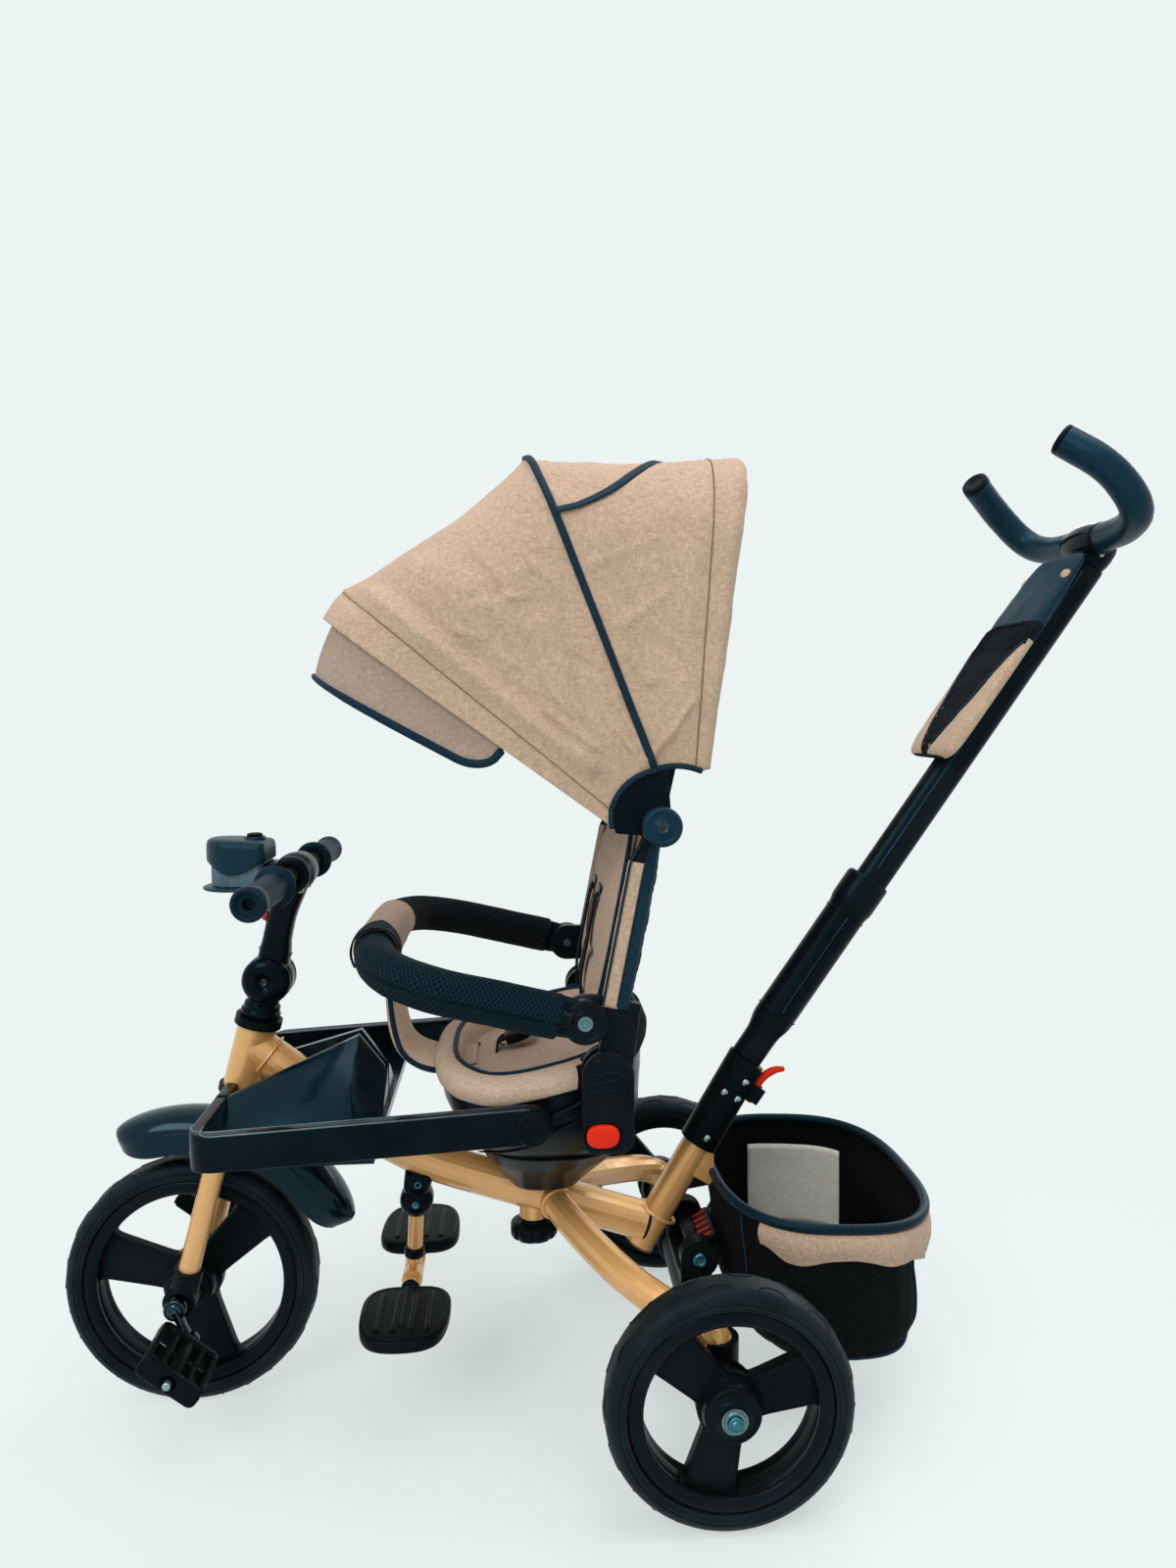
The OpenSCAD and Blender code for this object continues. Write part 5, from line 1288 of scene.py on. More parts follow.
def make_basket():
    """A woven bag that hangs from its rim: outer cloth with a wall's thickness, and sagging folds."""
    rows = [(BASKET_X, 241.5, 118.5, 154.5, 0.04, 2.8), (BASKET_X, 237, 120.2, 156, 0.04, 2.8),
            (BASKET_X + 1, 222, 118.0, 155.2, 0.035, 2.9), (BASKET_X + 4, 203, 111.6, 153.8, 0.02, 3.0),
            (BASKET_X + 4, 180, 108.4, 152.5, 0.01, 3.0), (BASKET_X + 1, 146, 111, 150, 0.0, 3.0),
            (BASKET_X - 2, 114, 107, 145, 0.0, 3.0), (BASKET_X - 6, 95, 94, 137.5, 0.0, 3.0),
            (BASKET_X - 10, 86, 85, 131, 0.0, 3.0), (BASKET_X - 10, 82.4, 78, 124, 0.0, 3.0),
            (BASKET_X - 10, 81.2, 62, 104, 0.0, 2.8), (BASKET_X - 10, 81.0, 34, 58, 0.0, 2.6),
            (BASKET_X - 10, 81.0, 3, 5, 0.0, 2.2)]
    grid = resample_rows(np.array([basket_level(*row) for row in rows]), 4)
    middle = vec(BASKET_X - 6, 0, 0)
    away = (grid - middle) * (1, 1, 0)
    away /= np.linalg.norm(away, axis=2)[:, :, None] + 1e-6
    turn = np.arctan2(grid[:, :, 1], grid[:, :, 0] - BASKET_X)
    depth = 240 - grid[:, :, 2]
    hang = np.clip(depth / 20, 0, 1) * np.clip((150 - depth) / 60, 0, 1)
    folds = np.sin(turn * 17 + 2.2 * np.sin(turn * 3)) * 0.9 + np.sin(turn * 41 + 1.1) * 0.35
    push = folds * hang * 0.9 - 2.2 * hang + rough_noise(grid, 42, 51) * 2.0 * hang
    push += rough_noise(grid, 15, 52) * 0.7
    grid = grid + away * push[:, :, None]
    grid[-14:, :, 2] += 0.6 * (1 + rough_noise(grid[-14:], 26, 53))
    points, faces = skin(grid, caps=False)
    faces.append(tuple(len(points) - 1 - k for k in range(grid.shape[1])))
    bag = mesh_piece("basket_cloth", points, faces, "basket_weave", "chassis", ["basket"])
    modify(bag, "SOLIDIFY", thickness=2.4 * MM, offset=-1)

    # the rim: a foam tube over the wire
    rim = basket_level(BASKET_X, BASKET_Z, BASKET_REACH, BASKET_HALF, BASKET_TIP, 2.8, 160)
    tube("basket_rim_cover", rim, 5.6, "grip_foam", "chassis", ["basket_rim"], sides=18, closed=True)
    # bound seams: under the rim and round the bottom
    low = basket_level(BASKET_X - 9.5, 91, 89.5, 135.5, 0.0, 3.0, 160)
    seam = tube("basket_seam_low", low, 2.3, "piping", "chassis", sides=10, closed=True)
    for number, angle in enumerate((0.62, 2.52, 3.76, 5.66)):
        k = int(round(angle / (2 * pi) * grid.shape[1]))
        line = resample(grid[3:36, k] + away[3:36, k], 40)
        tube(f"basket_seam_{number}", line, 1.5, "piping", "chassis", sides=8, dome=1.2)

    # beige band gathered under the rim, from the left side round the back
    count, high = 150, 14
    band = []
    for i in range(high + 1):
        t = i / high
        row = []
        for k in range(count + 1):
            a = mix(0.86, 3.70, k / count)
            c, s = cos(a), sin(a)
            x = BASKET_REACH * np.sign(c) * abs(c) ** (2 / 2.8)
            y = BASKET_HALF * np.sign(s) * abs(s) ** (2 / 2.8)
            out = unit(vec(c / BASKET_REACH, s / BASKET_HALF, 0) * 100)
            end = smoothstep(min(k, count - k) / 16)
            drop = (38 + 6 * sin(a * 3.1) + 3 * sin(a * 11)) * (0.6 + 0.4 * end)
            bulge = 4.6 * sin(pi * min(t * 1.15, 1.0)) ** 0.7 + 1.6
            ruffle = sin(a * 46 + 3 * sin(a * 7)) * 1.5 * t * smoothstep((a - 1.9) / 0.8)
            z = BASKET_Z - 4.5 + BASKET_TIP * x - drop * t
            row.append(vec(BASKET_X + x, y, z) + out * (bulge + ruffle))
        band.append(row)
    band = np.array(band)
    loose = np.linspace(0, 1, high + 1)[:, None, None]
    band += rough_noise(band, 19, 54)[:, :, None] * vec(1.2, 1.2, 1.4) * loose
    cover = grid_piece("basket_band", band, "beige_fabric", "chassis")
    modify(cover, "SOLIDIFY", thickness=1.6 * MM, offset=0)

    # pale patch sewn inside the far wall; its colour is its own pale grey, lightened as painted light against
    # the basket's shade
    patch = []
    for z in np.linspace(215, 108, 15):
        row = []
        for x in np.linspace(-104, -224, 19):
            u = abs(x - BASKET_X) / 107
            y = -(149 - (232 - z) * 0.035) * (1 - min(u, 0.97) ** 3) ** (1 / 3)
            row.append(vec(x, y + 6.6, z + 0.05 * (x - BASKET_X)))
        patch.append(row)
    patch = np.array(patch)
    patch[:, :, 1] += rough_noise(patch, 30, 55)
    piece = grid_piece("basket_patch", patch, "grey_patch_and_painted_light", "chassis")
    modify(piece, "SOLIDIFY", thickness=1.2 * MM, offset=0)


make_basket()


# ---------- safety bar ----------

BAR_PIVOT = vec(135.7, 0, 490.3)
BAR_SLOPE = 0.235


def bar_point(x, y):
    """A point in the safety bar's sloping plane."""
    return vec(x, y, BAR_PIVOT[2] + BAR_SLOPE * (x - BAR_PIVOT[0]))


def soft_tube(name, line, radius, paint, body, seed, stands_for, uneven, dome=0.0, shape=None):
    """A padded tube: its surface is a little uneven, and shape(t) changes its girth along the way."""
    line = np.array(line, float)
    sides = 40
    sides_way, lifts = frames(line)
    outline = oval(1, 1, sides)
    rings = []
    for i, p in enumerate(line):
        r = radius * (shape(i / (len(line) - 1)) if shape else 1)
        rings.append(p + r * (outline[:, :1] * sides_way[i] + outline[:, 1:] * lifts[i]))
    grid = np.array(rings)
    away = (grid - line[:, None]) / radius
    lumps = rough_noise(grid, 31, seed) * uneven + rough_noise(grid, 9, seed + 1) * uneven * 0.3
    grid = grid + away * lumps[:, :, None]
    rings, run = list(grid), list(travel(line))
    if dome:
        round_ends(rings, run, line, dome, 0.03)
    points, faces = skin(rings)
    around = 2 * pi * radius / sides
    uvs = [(u * MM, k * around * MM) for u in run for k in range(sides)]
    return mesh_piece(name, points, faces, paint, body, stands_for, True, uvs)


def make_safety_bar():
    """The padded bar in front of the child, with its sleeve, tongue and hinges."""
    corners = [bar_point(149.7, 194), bar_point(356, 194), bar_point(356, -194), bar_point(149.7, -194)]
    path = resample(eased(corners, 128, 9), 240)
    run = travel(path)
    total = run[-1]

    def stretch(start, end, count):
        places = np.linspace(start, end, count)
        return np.stack([np.interp(places, run, path[:, k]) for k in range(3)], axis=1)

    cuff = 0.392 * total
    arm = soft_tube("bar_arm_left", stretch(14, cuff + 6, 90), 22.8, "mesh_cloth", "safety_bar", 61,
                    ["bar_padding"], 0.5, dome=5, shape=lambda t: 1 - 0.05 * t ** 6)
    # painted shade: the far arm has the dull black cloth instead of the near arm's mesh, so it shows darker
    # and without highlights
    arm = soft_tube("bar_arm_right", stretch(total - cuff - 6, total - 14, 90), 22.6, "black_fabric",
                    "safety_bar", 63, (), 0.4, dome=5)
    sleeve = soft_tube("bar_sleeve", stretch(cuff - 3, total - cuff + 12, 70), 24.4, "beige_fabric",
                       "safety_bar", 65, (), 1.0, shape=lambda t: 1 + 0.035 * (1 - (2 * t - 1) ** 8))
    spots = stretch(total - cuff + 12, total - cuff + 9, 2)
    lathe("bar_cuff_right", [(23.4 + 1.7 * cos(a), 1.7 * sin(a)) for a in np.linspace(0, 2 * pi, 12, False)],
          spots[0], unit(spots[1] - spots[0]), "beige_fabric", "safety_bar", sides=48, closed=True)
    # the cloth cover's pointed tongue that laps over the sleeve, with its bound edge
    spots = stretch(cuff - 15, cuff + 26, 30)
    sides, lifts = frames(spots, vec(-BAR_SLOPE, 0, 1))
    flap, edge_a, edge_b = [], [], []
    for i, p in enumerate(spots):
        t = i / (len(spots) - 1)
        wide = 2.3 * (1 - t) ** 1.2 + 0.03
        angles = np.linspace(-wide, wide, 25) + 1.5
        flap.append([p + 26.3 * (sides[i] * cos(a) + lifts[i] * sin(a)) for a in angles])
        edge_a.append(flap[-1][0])
        edge_b.append(flap[-1][-1])
    points, faces = skin(flap, ring_closed=False, caps=False)
    uvs = [(i * 41 / 29 * MM, wide_at * 26.3 * MM) for i in range(len(flap)) for wide_at in
           np.linspace(-1, 1, 25) * (2.3 * (1 - i / 29) ** 1.2 + 0.03)]
    tongue = mesh_piece("bar_cover_tongue", points, faces, "mesh_cloth", "safety_bar", uvs=uvs)
    modify(tongue, "SOLIDIFY", thickness=1.4 * MM, offset=0)
    outline = np.array(edge_a + edge_b[::-1])
    tube("bar_tongue_edge", resample(outline, 60), 1.3, "piping", "safety_bar", sides=8, dome=1)

    def hinge(side, word):
        face = BAR_PIVOT + vec(0, side * 197.4, 0)
        lathe(f"bar_hinge_cover_{word}", [(4, -1), (22, -1), (22.6, 0.4), (21.8, 2.2), (19.6, 3.0),
                                          (17.8, 2.4), (16.8, 1.2), (11.6, 1.2), (11, 1.9), (10.2, 2.1),
                                          (4, 2.1)], face, (0, side, 0), "satin_black", "safety_bar")
        lathe(f"bar_hinge_bolt_{word}", [(0.6, 0.5), (5.6, 0.5), (5.8, 1.4), (5.4, 3.2), (4.4, 4.4),
                                         (3.2, 4.8), (2.8, 3.8), (0.4, 3.6)], face, (0, side, 0),
              "teal_bolt", "safety_bar", sides=36)
        # arched cover from the hinge into the padding
        line = [bar_point(x, side * 190.6) for x in (137, 143, 150, 157, 164, 169)]
        sweep(f"bar_hinge_arch_{word}", line, oval(7.6, 20.5, 32, 3), "satin_black", "safety_bar",
              up=vec(-BAR_SLOPE, 0, 1), scale=lambda t: 0.92 + 0.1 * sin(pi * t * 0.5), dome=2)

    both(hinge)


make_safety_bar()


# ---------- console, rails and fender ----------

def rounded_box(width, height, corner):
    """A rectangle's outline with rounded corners."""
    steps, line = 4, []
    for k, (sx, sy) in enumerate(((1, 1), (-1, 1), (-1, -1), (1, -1))):
        for i in range(steps + 1):
            a = pi / 2 * (k + i / steps)
            line.append((sx * (width / 2 - corner) + corner * cos(a),
                         sy * (height / 2 - corner) + corner * sin(a)))
    return line


def make_rails():
    """The rails beside the console, with their end caps and knobs, and the bridge between them."""
    section = rounded_box(13.6, 38, 2.4)
    front = 529.4
    for side, word in SIDES:
        path = eased([vec(188, side * 171, 378), vec(front, side * 171, 359), vec(front, side * 64, 359)],
                     24, 9)
        rail = sweep(f"guard_rail_{word}", path, section, "gloss_black", "chassis",
                     ["guard_rails"] if side == 1 else (), up=vec(0, 0, 1))
        crisp(rail, 50)
        # painted highlights: thin pale tubes along the top edges of the rail, standing in for the light that
        # catches them
        for number, off in enumerate((6.3, -6.3)):
            ways = [p + vec(0, 0, 18.7) for p in path[:-1]]
            line = [p + vec(-off * smoothstep((i - 1) / 10), side * off * (1 - smoothstep((i - 1) / 10)), 0)
                    for i, p in enumerate(ways)]
            tube(f"rail_edge_highlight_{word}_{number}", line, 0.9, "painted_edge_highlight", "chassis", sides=8)
        lathe(f"rail_end_{word}", [(2, -44), (14, -44), (14, -8), (19.4, -7), (20.2, -5), (20.2, 5.2),
                                   (19.4, 7), (17.8, 7.6), (2, 7.6)], (188, side * 171, 378), (0, side, 0),
              "satin_black", "chassis")
        lathe(f"rail_knob_{word}", [(1, 7.2), (17.4, 7.2), (18, 8.4), (17.6, 13.2), (16.4, 15.4),
                                    (14.6, 16.2), (13, 15.2), (12, 14), (5, 13.6), (1, 13.4)],
              (188, side * 171, 378), (0, side, 0), "black_plastic", "chassis",
              ["rail_knobs"] if side == 1 else ())
        # ribs inside the corner of the tray
        for k in range(3):
            x = 380 + 42 * k
            sweep(f"rail_rib_{word}_{k}", [vec(x, side * 163.6, 351), vec(x, side * 163.6, 368)],
                  oval(1.6, 1.2, 10), "gloss_black", "chassis", up=vec(1, 0, 0), dome=1)
    bridge = [vec(front, y, 371) for y in np.linspace(66, -66, 13)]
    sweep("console_bridge", bridge, rounded_box(13.6, 14, 2.2), "gloss_black", "chassis", up=vec(0, 0, 1))


def make_console_wings():
    """The two tall wings of the console, which rise from its front corners to a peak beside the frame."""
    stations = (524.4, 522, 505, 480, 455, 430, 412, 400, 393, 388.5, 386, 383, 378, 371, 364, 358, 354.6)

    def wing(side, word):
        rings = []
        for x in stations:
            foot = np.interp(x, (356, 364, 371, 378, 386, 400, 430, 480, 523),
                             (62, 70, 76.5, 82.5, 87, 91.5, 96.5, 102.5, 106))
            inner = np.interp(x, (356, 386, 523), (5, 7, 57))
            crest = np.interp(x, (354.6, 356, 386, 523, 524.4), (384.5, 387.6, 428, 377.4, 376.4))
            lip = inner + np.interp(x, (356, 386, 523), (6.4, 8.4, 6.4))
            low = 341.2
            ring = [vec(x, side * inner, low)]
            for t in np.linspace(0, 1, 15):
                bulge = sin(pi * t) * np.interp(x, (356, 386, 440, 523), (2.5, 5, 5.5, 1.5))
                slope = unit(np.array((crest - low, foot - lip)))
                ring.append(vec(x, side * (mix(foot, lip, t) + bulge * slope[0]),
                                mix(low, crest, t) + bulge * slope[1]))
            ring += [vec(x, side * inner, crest), vec(x, side * inner, mix(low, crest, 0.5))]
            rings.append(ring)
        piece = skin_piece(f"console_wing_{word}", rings, "fender_paint", "chassis")
        crisp(piece, 42)
        soften(piece, 0.8, 2, 50)

    both(wing)


def make_fender():
    """A deep scoop over the front wheel, with a rounded lobe at each end."""
    rings = []
    count = 60
    for i in range(count + 1):
        t = i / count
        end = min(t, 1 - t)
        w = 0.05 + 0.95 * (1 - max(0.0, 1 - end / 0.17) ** 2) ** 0.5
        angle = radians(mix(162, 64, t))
        half, top = 33.4 * w, 202.5 - 11 * (1 - w) ** 1.5
        skirt = mix(184, 158.5, w)
        shape = [(half, skirt), (half - 0.6, mix(skirt, top, 0.25)), (half * 0.965, mix(skirt, top, 0.48)),
                 (half * 0.86, mix(skirt, top, 0.70)), (half * 0.66, mix(skirt, top, 0.87)),
                 (half * 0.35, mix(skirt, top, 0.97)), (0, top)]
        outer = shape + [(-y, r) for y, r in reversed(shape[:-1])]
        outer = spline([(y, r, 0) for y, r in outer], 4)
        shrink = max(half - 2.6, half * 0.5) / half
        inner = [(y * shrink, r - 2.6 * (r - skirt) / (top - skirt), 0) for y, r, _ in outer[::-1]]
        ring = list(outer) + inner
        rings.append([FRONT_AXLE + vec(r * cos(angle), y, r * sin(angle)) for y, r, _ in ring])
    fender = skin_piece("fender_skin", rings, "fender_paint", "steering", ["front_fender"])
    crisp(fender, 55)
    # raised crease along each side, and the round stay on the top
    for side, word in SIDES:
        line = []
        for i in range(8, 53):
            ring = np.array(rings[i])
            line.append(ring[9] if side == 1 else ring[48 - 9])
        tube(f"fender_crease_{word}", resample(line, 60), 1.2, "fender_paint", "steering", sides=8,
             scale=lambda t: 0.2 + 0.8 * sin(pi * min(max(t, 0), 1)) ** 0.5)
    lathe("fender_stay", [(1, 197.5), (7, 197.5), (8.5, 199), (8.5, 206)], FRONT_AXLE,
          (-sin(radians(15)), 0, cos(radians(15))), "black_plastic", "steering", sides=24)


make_rails()
make_console_wings()
make_fender()


# ---------- steering column, handlebar and lamp ----------

RAKE = radians(15)
UP_STEER = vec(-sin(RAKE), 0, cos(RAKE))
ON_STEER = vec(cos(RAKE), 0, sin(RAKE))
BAR_S, KNUCKLE_S = 491, 364.3


def steer(s, forward=0.0, y=0.0):
    """A point on the steering column: s up from the front axle, then forward and to the left."""
    return FRONT_AXLE + UP_STEER * s + ON_STEER * forward + vec(0, y, 0)


def make_column():
    """The steering column's collar, folding knuckle, stem, bar clamp and red button."""
    lathe("column_collar", [(14.5, 318.8), (21.6, 318.8), (22.6, 320), (22.6, 325.5), (21.4, 327),
                            (20.2, 328), (20.6, 329.4), (20.6, 333), (19.6, 334.6), (18.2, 335.6),
                            (17.4, 338), (18.6, 344)], FRONT_AXLE, UP_STEER, "gloss_black", "steering",
          ["stem_knuckle"], sides=64)
    ball = steer(KNUCKLE_S)
    # cheeks of the folding knuckle either side of the stem's tongue
    cheek = [(2, 13.4), (27.4, 13.4), (27.8, 15), (27.2, 18), (25.4, 21.2), (22.4, 24), (18.4, 25.8),
             (14, 26.6), (10, 26.8), (9.4, 25.8), (8.8, 24.6), (2, 24.6)]
    for side, word in SIDES:
        lathe(f"knuckle_cheek_{word}", cheek, ball, (0, side, 0), "gloss_black", "steering", sides=64)
        lathe(f"knuckle_screw_{word}", [(0.5, 24), (4.4, 24), (4.6, 25.2), (3.9, 26.2), (2.7, 26.4),
                                        (2.3, 25.2), (0.5, 25)], ball, (0, side, 0), "crank_metal",
              "steering", sides=24)
    lathe("knuckle_tongue", [(2, -13), (26.6, -13), (27.6, -11.6), (28, -6), (28.1, 0), (28, 6),
                             (27.6, 11.6), (26.6, 13), (2, 13)], ball, (0, 1, 0), "gloss_black",
          "handlebar_unit", ["stem"], sides=64)
    # curved neck from the knuckle up to the clamp
    line = spline([steer(s, forward) for s, forward in ((KNUCKLE_S + 14, -1.0), (398, 0.5), (420, 2.2),
                                                        (445, 2.4), (468, 0.6), (BAR_S + 2, -1.5))], 7)
    girth = [(0, 1.02), (0.1, 1.1), (0.19, 1.07), (0.32, 0.97), (0.55, 0.94), (0.75, 1.0), (1.0, 1.12)]
    sweep("stem_neck", line, oval(16.6, 17.4, 40, 2.5), "gloss_black", "handlebar_unit", up=vec(0, 1, 0),
          scale=lambda t: float(np.interp(t, [g[0] for g in girth], [g[1] for g in girth])))
    lathe("stem_neck_ring", [(16.6, -2), (18.6, -1.4), (19.2, 0), (18.6, 1.6), (16.6, 2.2)],
          steer(396.5, 0.4), UP_STEER, "gloss_black", "handlebar_unit", closed=True)
    lathe("bar_clamp", [(11.1, -31), (18.2, -31), (20.4, -29.6), (21.2, -27), (21.2, -12), (22.4, -10),
                        (23, -4), (23, 4), (22.4, 10), (21.2, 12), (21.2, 27), (20.4, 29.6), (18.2, 31),
                        (11.1, 31)], steer(BAR_S), (0, 1, 0), "satin_black", "handlebar_unit", closed=True,
          sides=56)
    for side, word in SIDES:
        for number, forward in enumerate((14, -14)):
            lathe(f"clamp_screw_{word}_{number}", [(0.4, -3), (3.6, -3), (3.6, 1.2), (2.8, 2.0), (1.8, 2.0),
                                                   (1.6, 0.8), (0.4, 0.8)],
                  steer(BAR_S - 16, forward, side * 20), (0, 0, -1), "bright_bolt", "handlebar_unit",
                  sides=18)
    button = steer(434)
    lathe("stem_button_cap", [(0.4, 9), (6, 9), (6, 21.6), (5.6, 23.2), (4.2, 24), (0.4, 24.2)], button,
          ON_STEER, "red_plastic", "stem_button", ["stem_button"], sides=32)
    lathe("stem_button_ring", [(6.6, 15.6), (8.6, 15.6), (9, 17), (8.4, 18.4), (6.8, 18.6)], button, ON_STEER,
          "gloss_black", "handlebar_unit", sides=32, closed=True)


# the bar's end and the grip's length, both from left to right
BAR_END, GRIP_LENGTH = 215, 113


def make_grips():
    """The foam grips at the ends of the handlebar."""
    def grip(side, word):
        profile = [(11.2, 0), (19.6, 0), (21.6, 0.8), (22.5, 3), (21.6, 5.2), (19.4, 6.2), (16.8, 7.2),
                   (15.6, 10)]
        for k in range(9):
            y = 15 + 8.6 * k
            profile += [(15.6, y), (14.9, y + 0.9), (14.9, y + 1.9), (15.6, y + 2.8)]
        profile += [(15.6, 97), (16.4, 99), (17.4, 101.5), (17.7, 105), (17.5, 109), (16.4, 112),
                    (14.2, 113), (12.6, 112.6), (11.8, 110.8), (11.2, 108.6), (8.6, 108), (7.4, 108.6),
                    (6.4, 108.2), (6.0, 106.8), (6, 98), (11.2, 96)]
        lathe(f"grip_{word}", profile, steer(BAR_S, 0, side * (BAR_END - GRIP_LENGTH)), (0, side, 0),
              "grip_foam", "handlebar_unit", ["grips"] if side == 1 else (), closed=True, sides=56)

    both(grip)


LAMP_FOOT = steer(BAR_S) + vec(29, 0, -13)
LAMP_NOSE, LAMP_TILT = 36, 0.07


def lamp_ring(grow, z, droop=0.0, tilt=0.0, count=96):
    """The lamp's plan, a square back with a round nose, at height z over its foot.

    droop lowers the middle of both sides, and tilt raises the nose."""
    half = 31 + grow
    corner = max(min(8.0, half / 2), 0.5)
    line = []
    for a in np.linspace(-pi / 2, pi / 2, 41):
        line.append((LAMP_NOSE + half * cos(a), half * sin(a)))
    for turn, side in ((pi / 2, 1), (pi, -1)):
        for a in np.linspace(turn, turn + pi / 2, 6):
            line.append((-grow * 0.5 + corner + corner * cos(a), side * (half - corner) + corner * sin(a)))
    ring = resample([(x, y, 0) for x, y in line], count, closed=True)
    made = []
    for x, y, _ in ring:
        side = smoothstep((abs(y) - 8) / 20)
        along = min(max((x - 2) / 64, 0.0), 1.0)
        made.append(LAMP_FOOT + vec(x, y, z - droop * side * sin(pi * along) + tilt * (x - LAMP_NOSE)))
    return np.array(made)


def make_lamp_hood():
    """The lamp on the handlebar: hood, ribbed lens, lip, neck, knob and bulbs."""
    rings = [lamp_ring(0.4, 29, 13), lamp_ring(1.6, 28.2, 13.5), lamp_ring(2.4, 29, 13),
             lamp_ring(2.6, 32, 11.5), lamp_ring(2.6, 40, 5, LAMP_TILT * 0.6),
             lamp_ring(2.4, 45, 1.5, LAMP_TILT), lamp_ring(1.6, 48.6, 0, LAMP_TILT),
             lamp_ring(-0.4, 51.2, 0, LAMP_TILT), lamp_ring(-4, 52.8, 0, LAMP_TILT),
             lamp_ring(-9, 53.5, 0, LAMP_TILT), lamp_ring(-16, 54, 0, LAMP_TILT),
             lamp_ring(-24, 54.2, 0, LAMP_TILT), lamp_ring(-30, 54.3, 0, LAMP_TILT)]
    hood = skin_piece("lamp_hood", rings, "lamp_shell", "handlebar_unit", ["headlight_body"])
    crisp(hood, 60)
    # ribbed lens under the hood
    rings = []
    for grow, z in ((-3, 0.6), (-2.2, 1.4), (-2.2, 26.6), (-3, 27.4)):
        ring = lamp_ring(grow, z, count=240)
        middle = ring.mean(axis=0)
        way = ring - middle
        way[:, 2] = 0
        way /= np.linalg.norm(way, axis=1)[:, None]
        ribs = np.array([0.7 if k % 4 < 2 else 0.0 for k in range(len(ring))])
        keep = np.clip((ring[:, 0] - LAMP_FOOT[0] - 22) / 4, 0, 1)
        rings.append(ring - way * (ribs * keep)[:, None])
    skin_piece("lamp_lens_ribbed", rings, "lamp_lens", "handlebar_unit", ["headlight_lens"], smooth=False)
    rings = [lamp_ring(-28, -4), lamp_ring(4.6, -4), lamp_ring(6.6, -3.4), lamp_ring(7.4, -2.4),
             lamp_ring(7.2, -1.0), lamp_ring(5.6, -0.2), lamp_ring(-10, 0.2), lamp_ring(-28, 0.2)]
    skin_piece("lamp_lip", rings, "lamp_shell", "handlebar_unit")
    line = [LAMP_FOOT + vec(x, 0, 14) for x in (-17, -8, 2, 12, 22)]
    sweep("lamp_neck", line, rounded_box(46, 26, 4), "satin_black", "handlebar_unit", up=vec(0, 0, 1),
          scale=lambda t: 0.86 + 0.14 * t)
    # round knob on the top, which turns the lamp on
    knob = LAMP_FOOT + vec(16, 0, 0)
    lathe("lamp_knob", [(0.4, 46), (8, 46), (8, 54), (8.6, 54.6), (8.8, 57.4), (8, 58.6), (6.4, 59),
                        (5.8, 58.2), (0.4, 57.8)], knob, (0, 0, 1), "satin_black", "lamp_button",
          ["headlight_button"], sides=48)
    lathe("lamp_knob_seat", [(9.4, 50), (12.4, 50), (12.2, 54.2), (11.2, 55.2), (9.4, 55)], knob, (0, 0, 1),
          "lamp_shell", "handlebar_unit", sides=48, closed=True)
    for k in range(3):
        lathe(f"lamp_bulb_{k}", [(0.2, -6), (2.6, -6), (2.6, 1.6), (1.9, 3.2), (0.2, 3.9)],
              LAMP_FOOT + vec(42, -14 + 14 * k, 13), (1, 0, 0), "bright_bolt", "handlebar_unit", sides=20)


make_column()
make_grips()
make_lamp_hood()


# ---------- backrest, side pods and canopy hubs ----------

RECLINE = vec(112, 0, 408)
LEAN = radians(11.2)
UP_BACK = vec(-sin(LEAN), 0, cos(LEAN))
ON_BACK = vec(cos(LEAN), 0, sin(LEAN))


def back(s, off=0.0, y=0.0):
    """A point on the backrest: s up from its pivot, then forward and to the left."""
    return RECLINE + UP_BACK * s + ON_BACK * off + vec(0, y, 0)


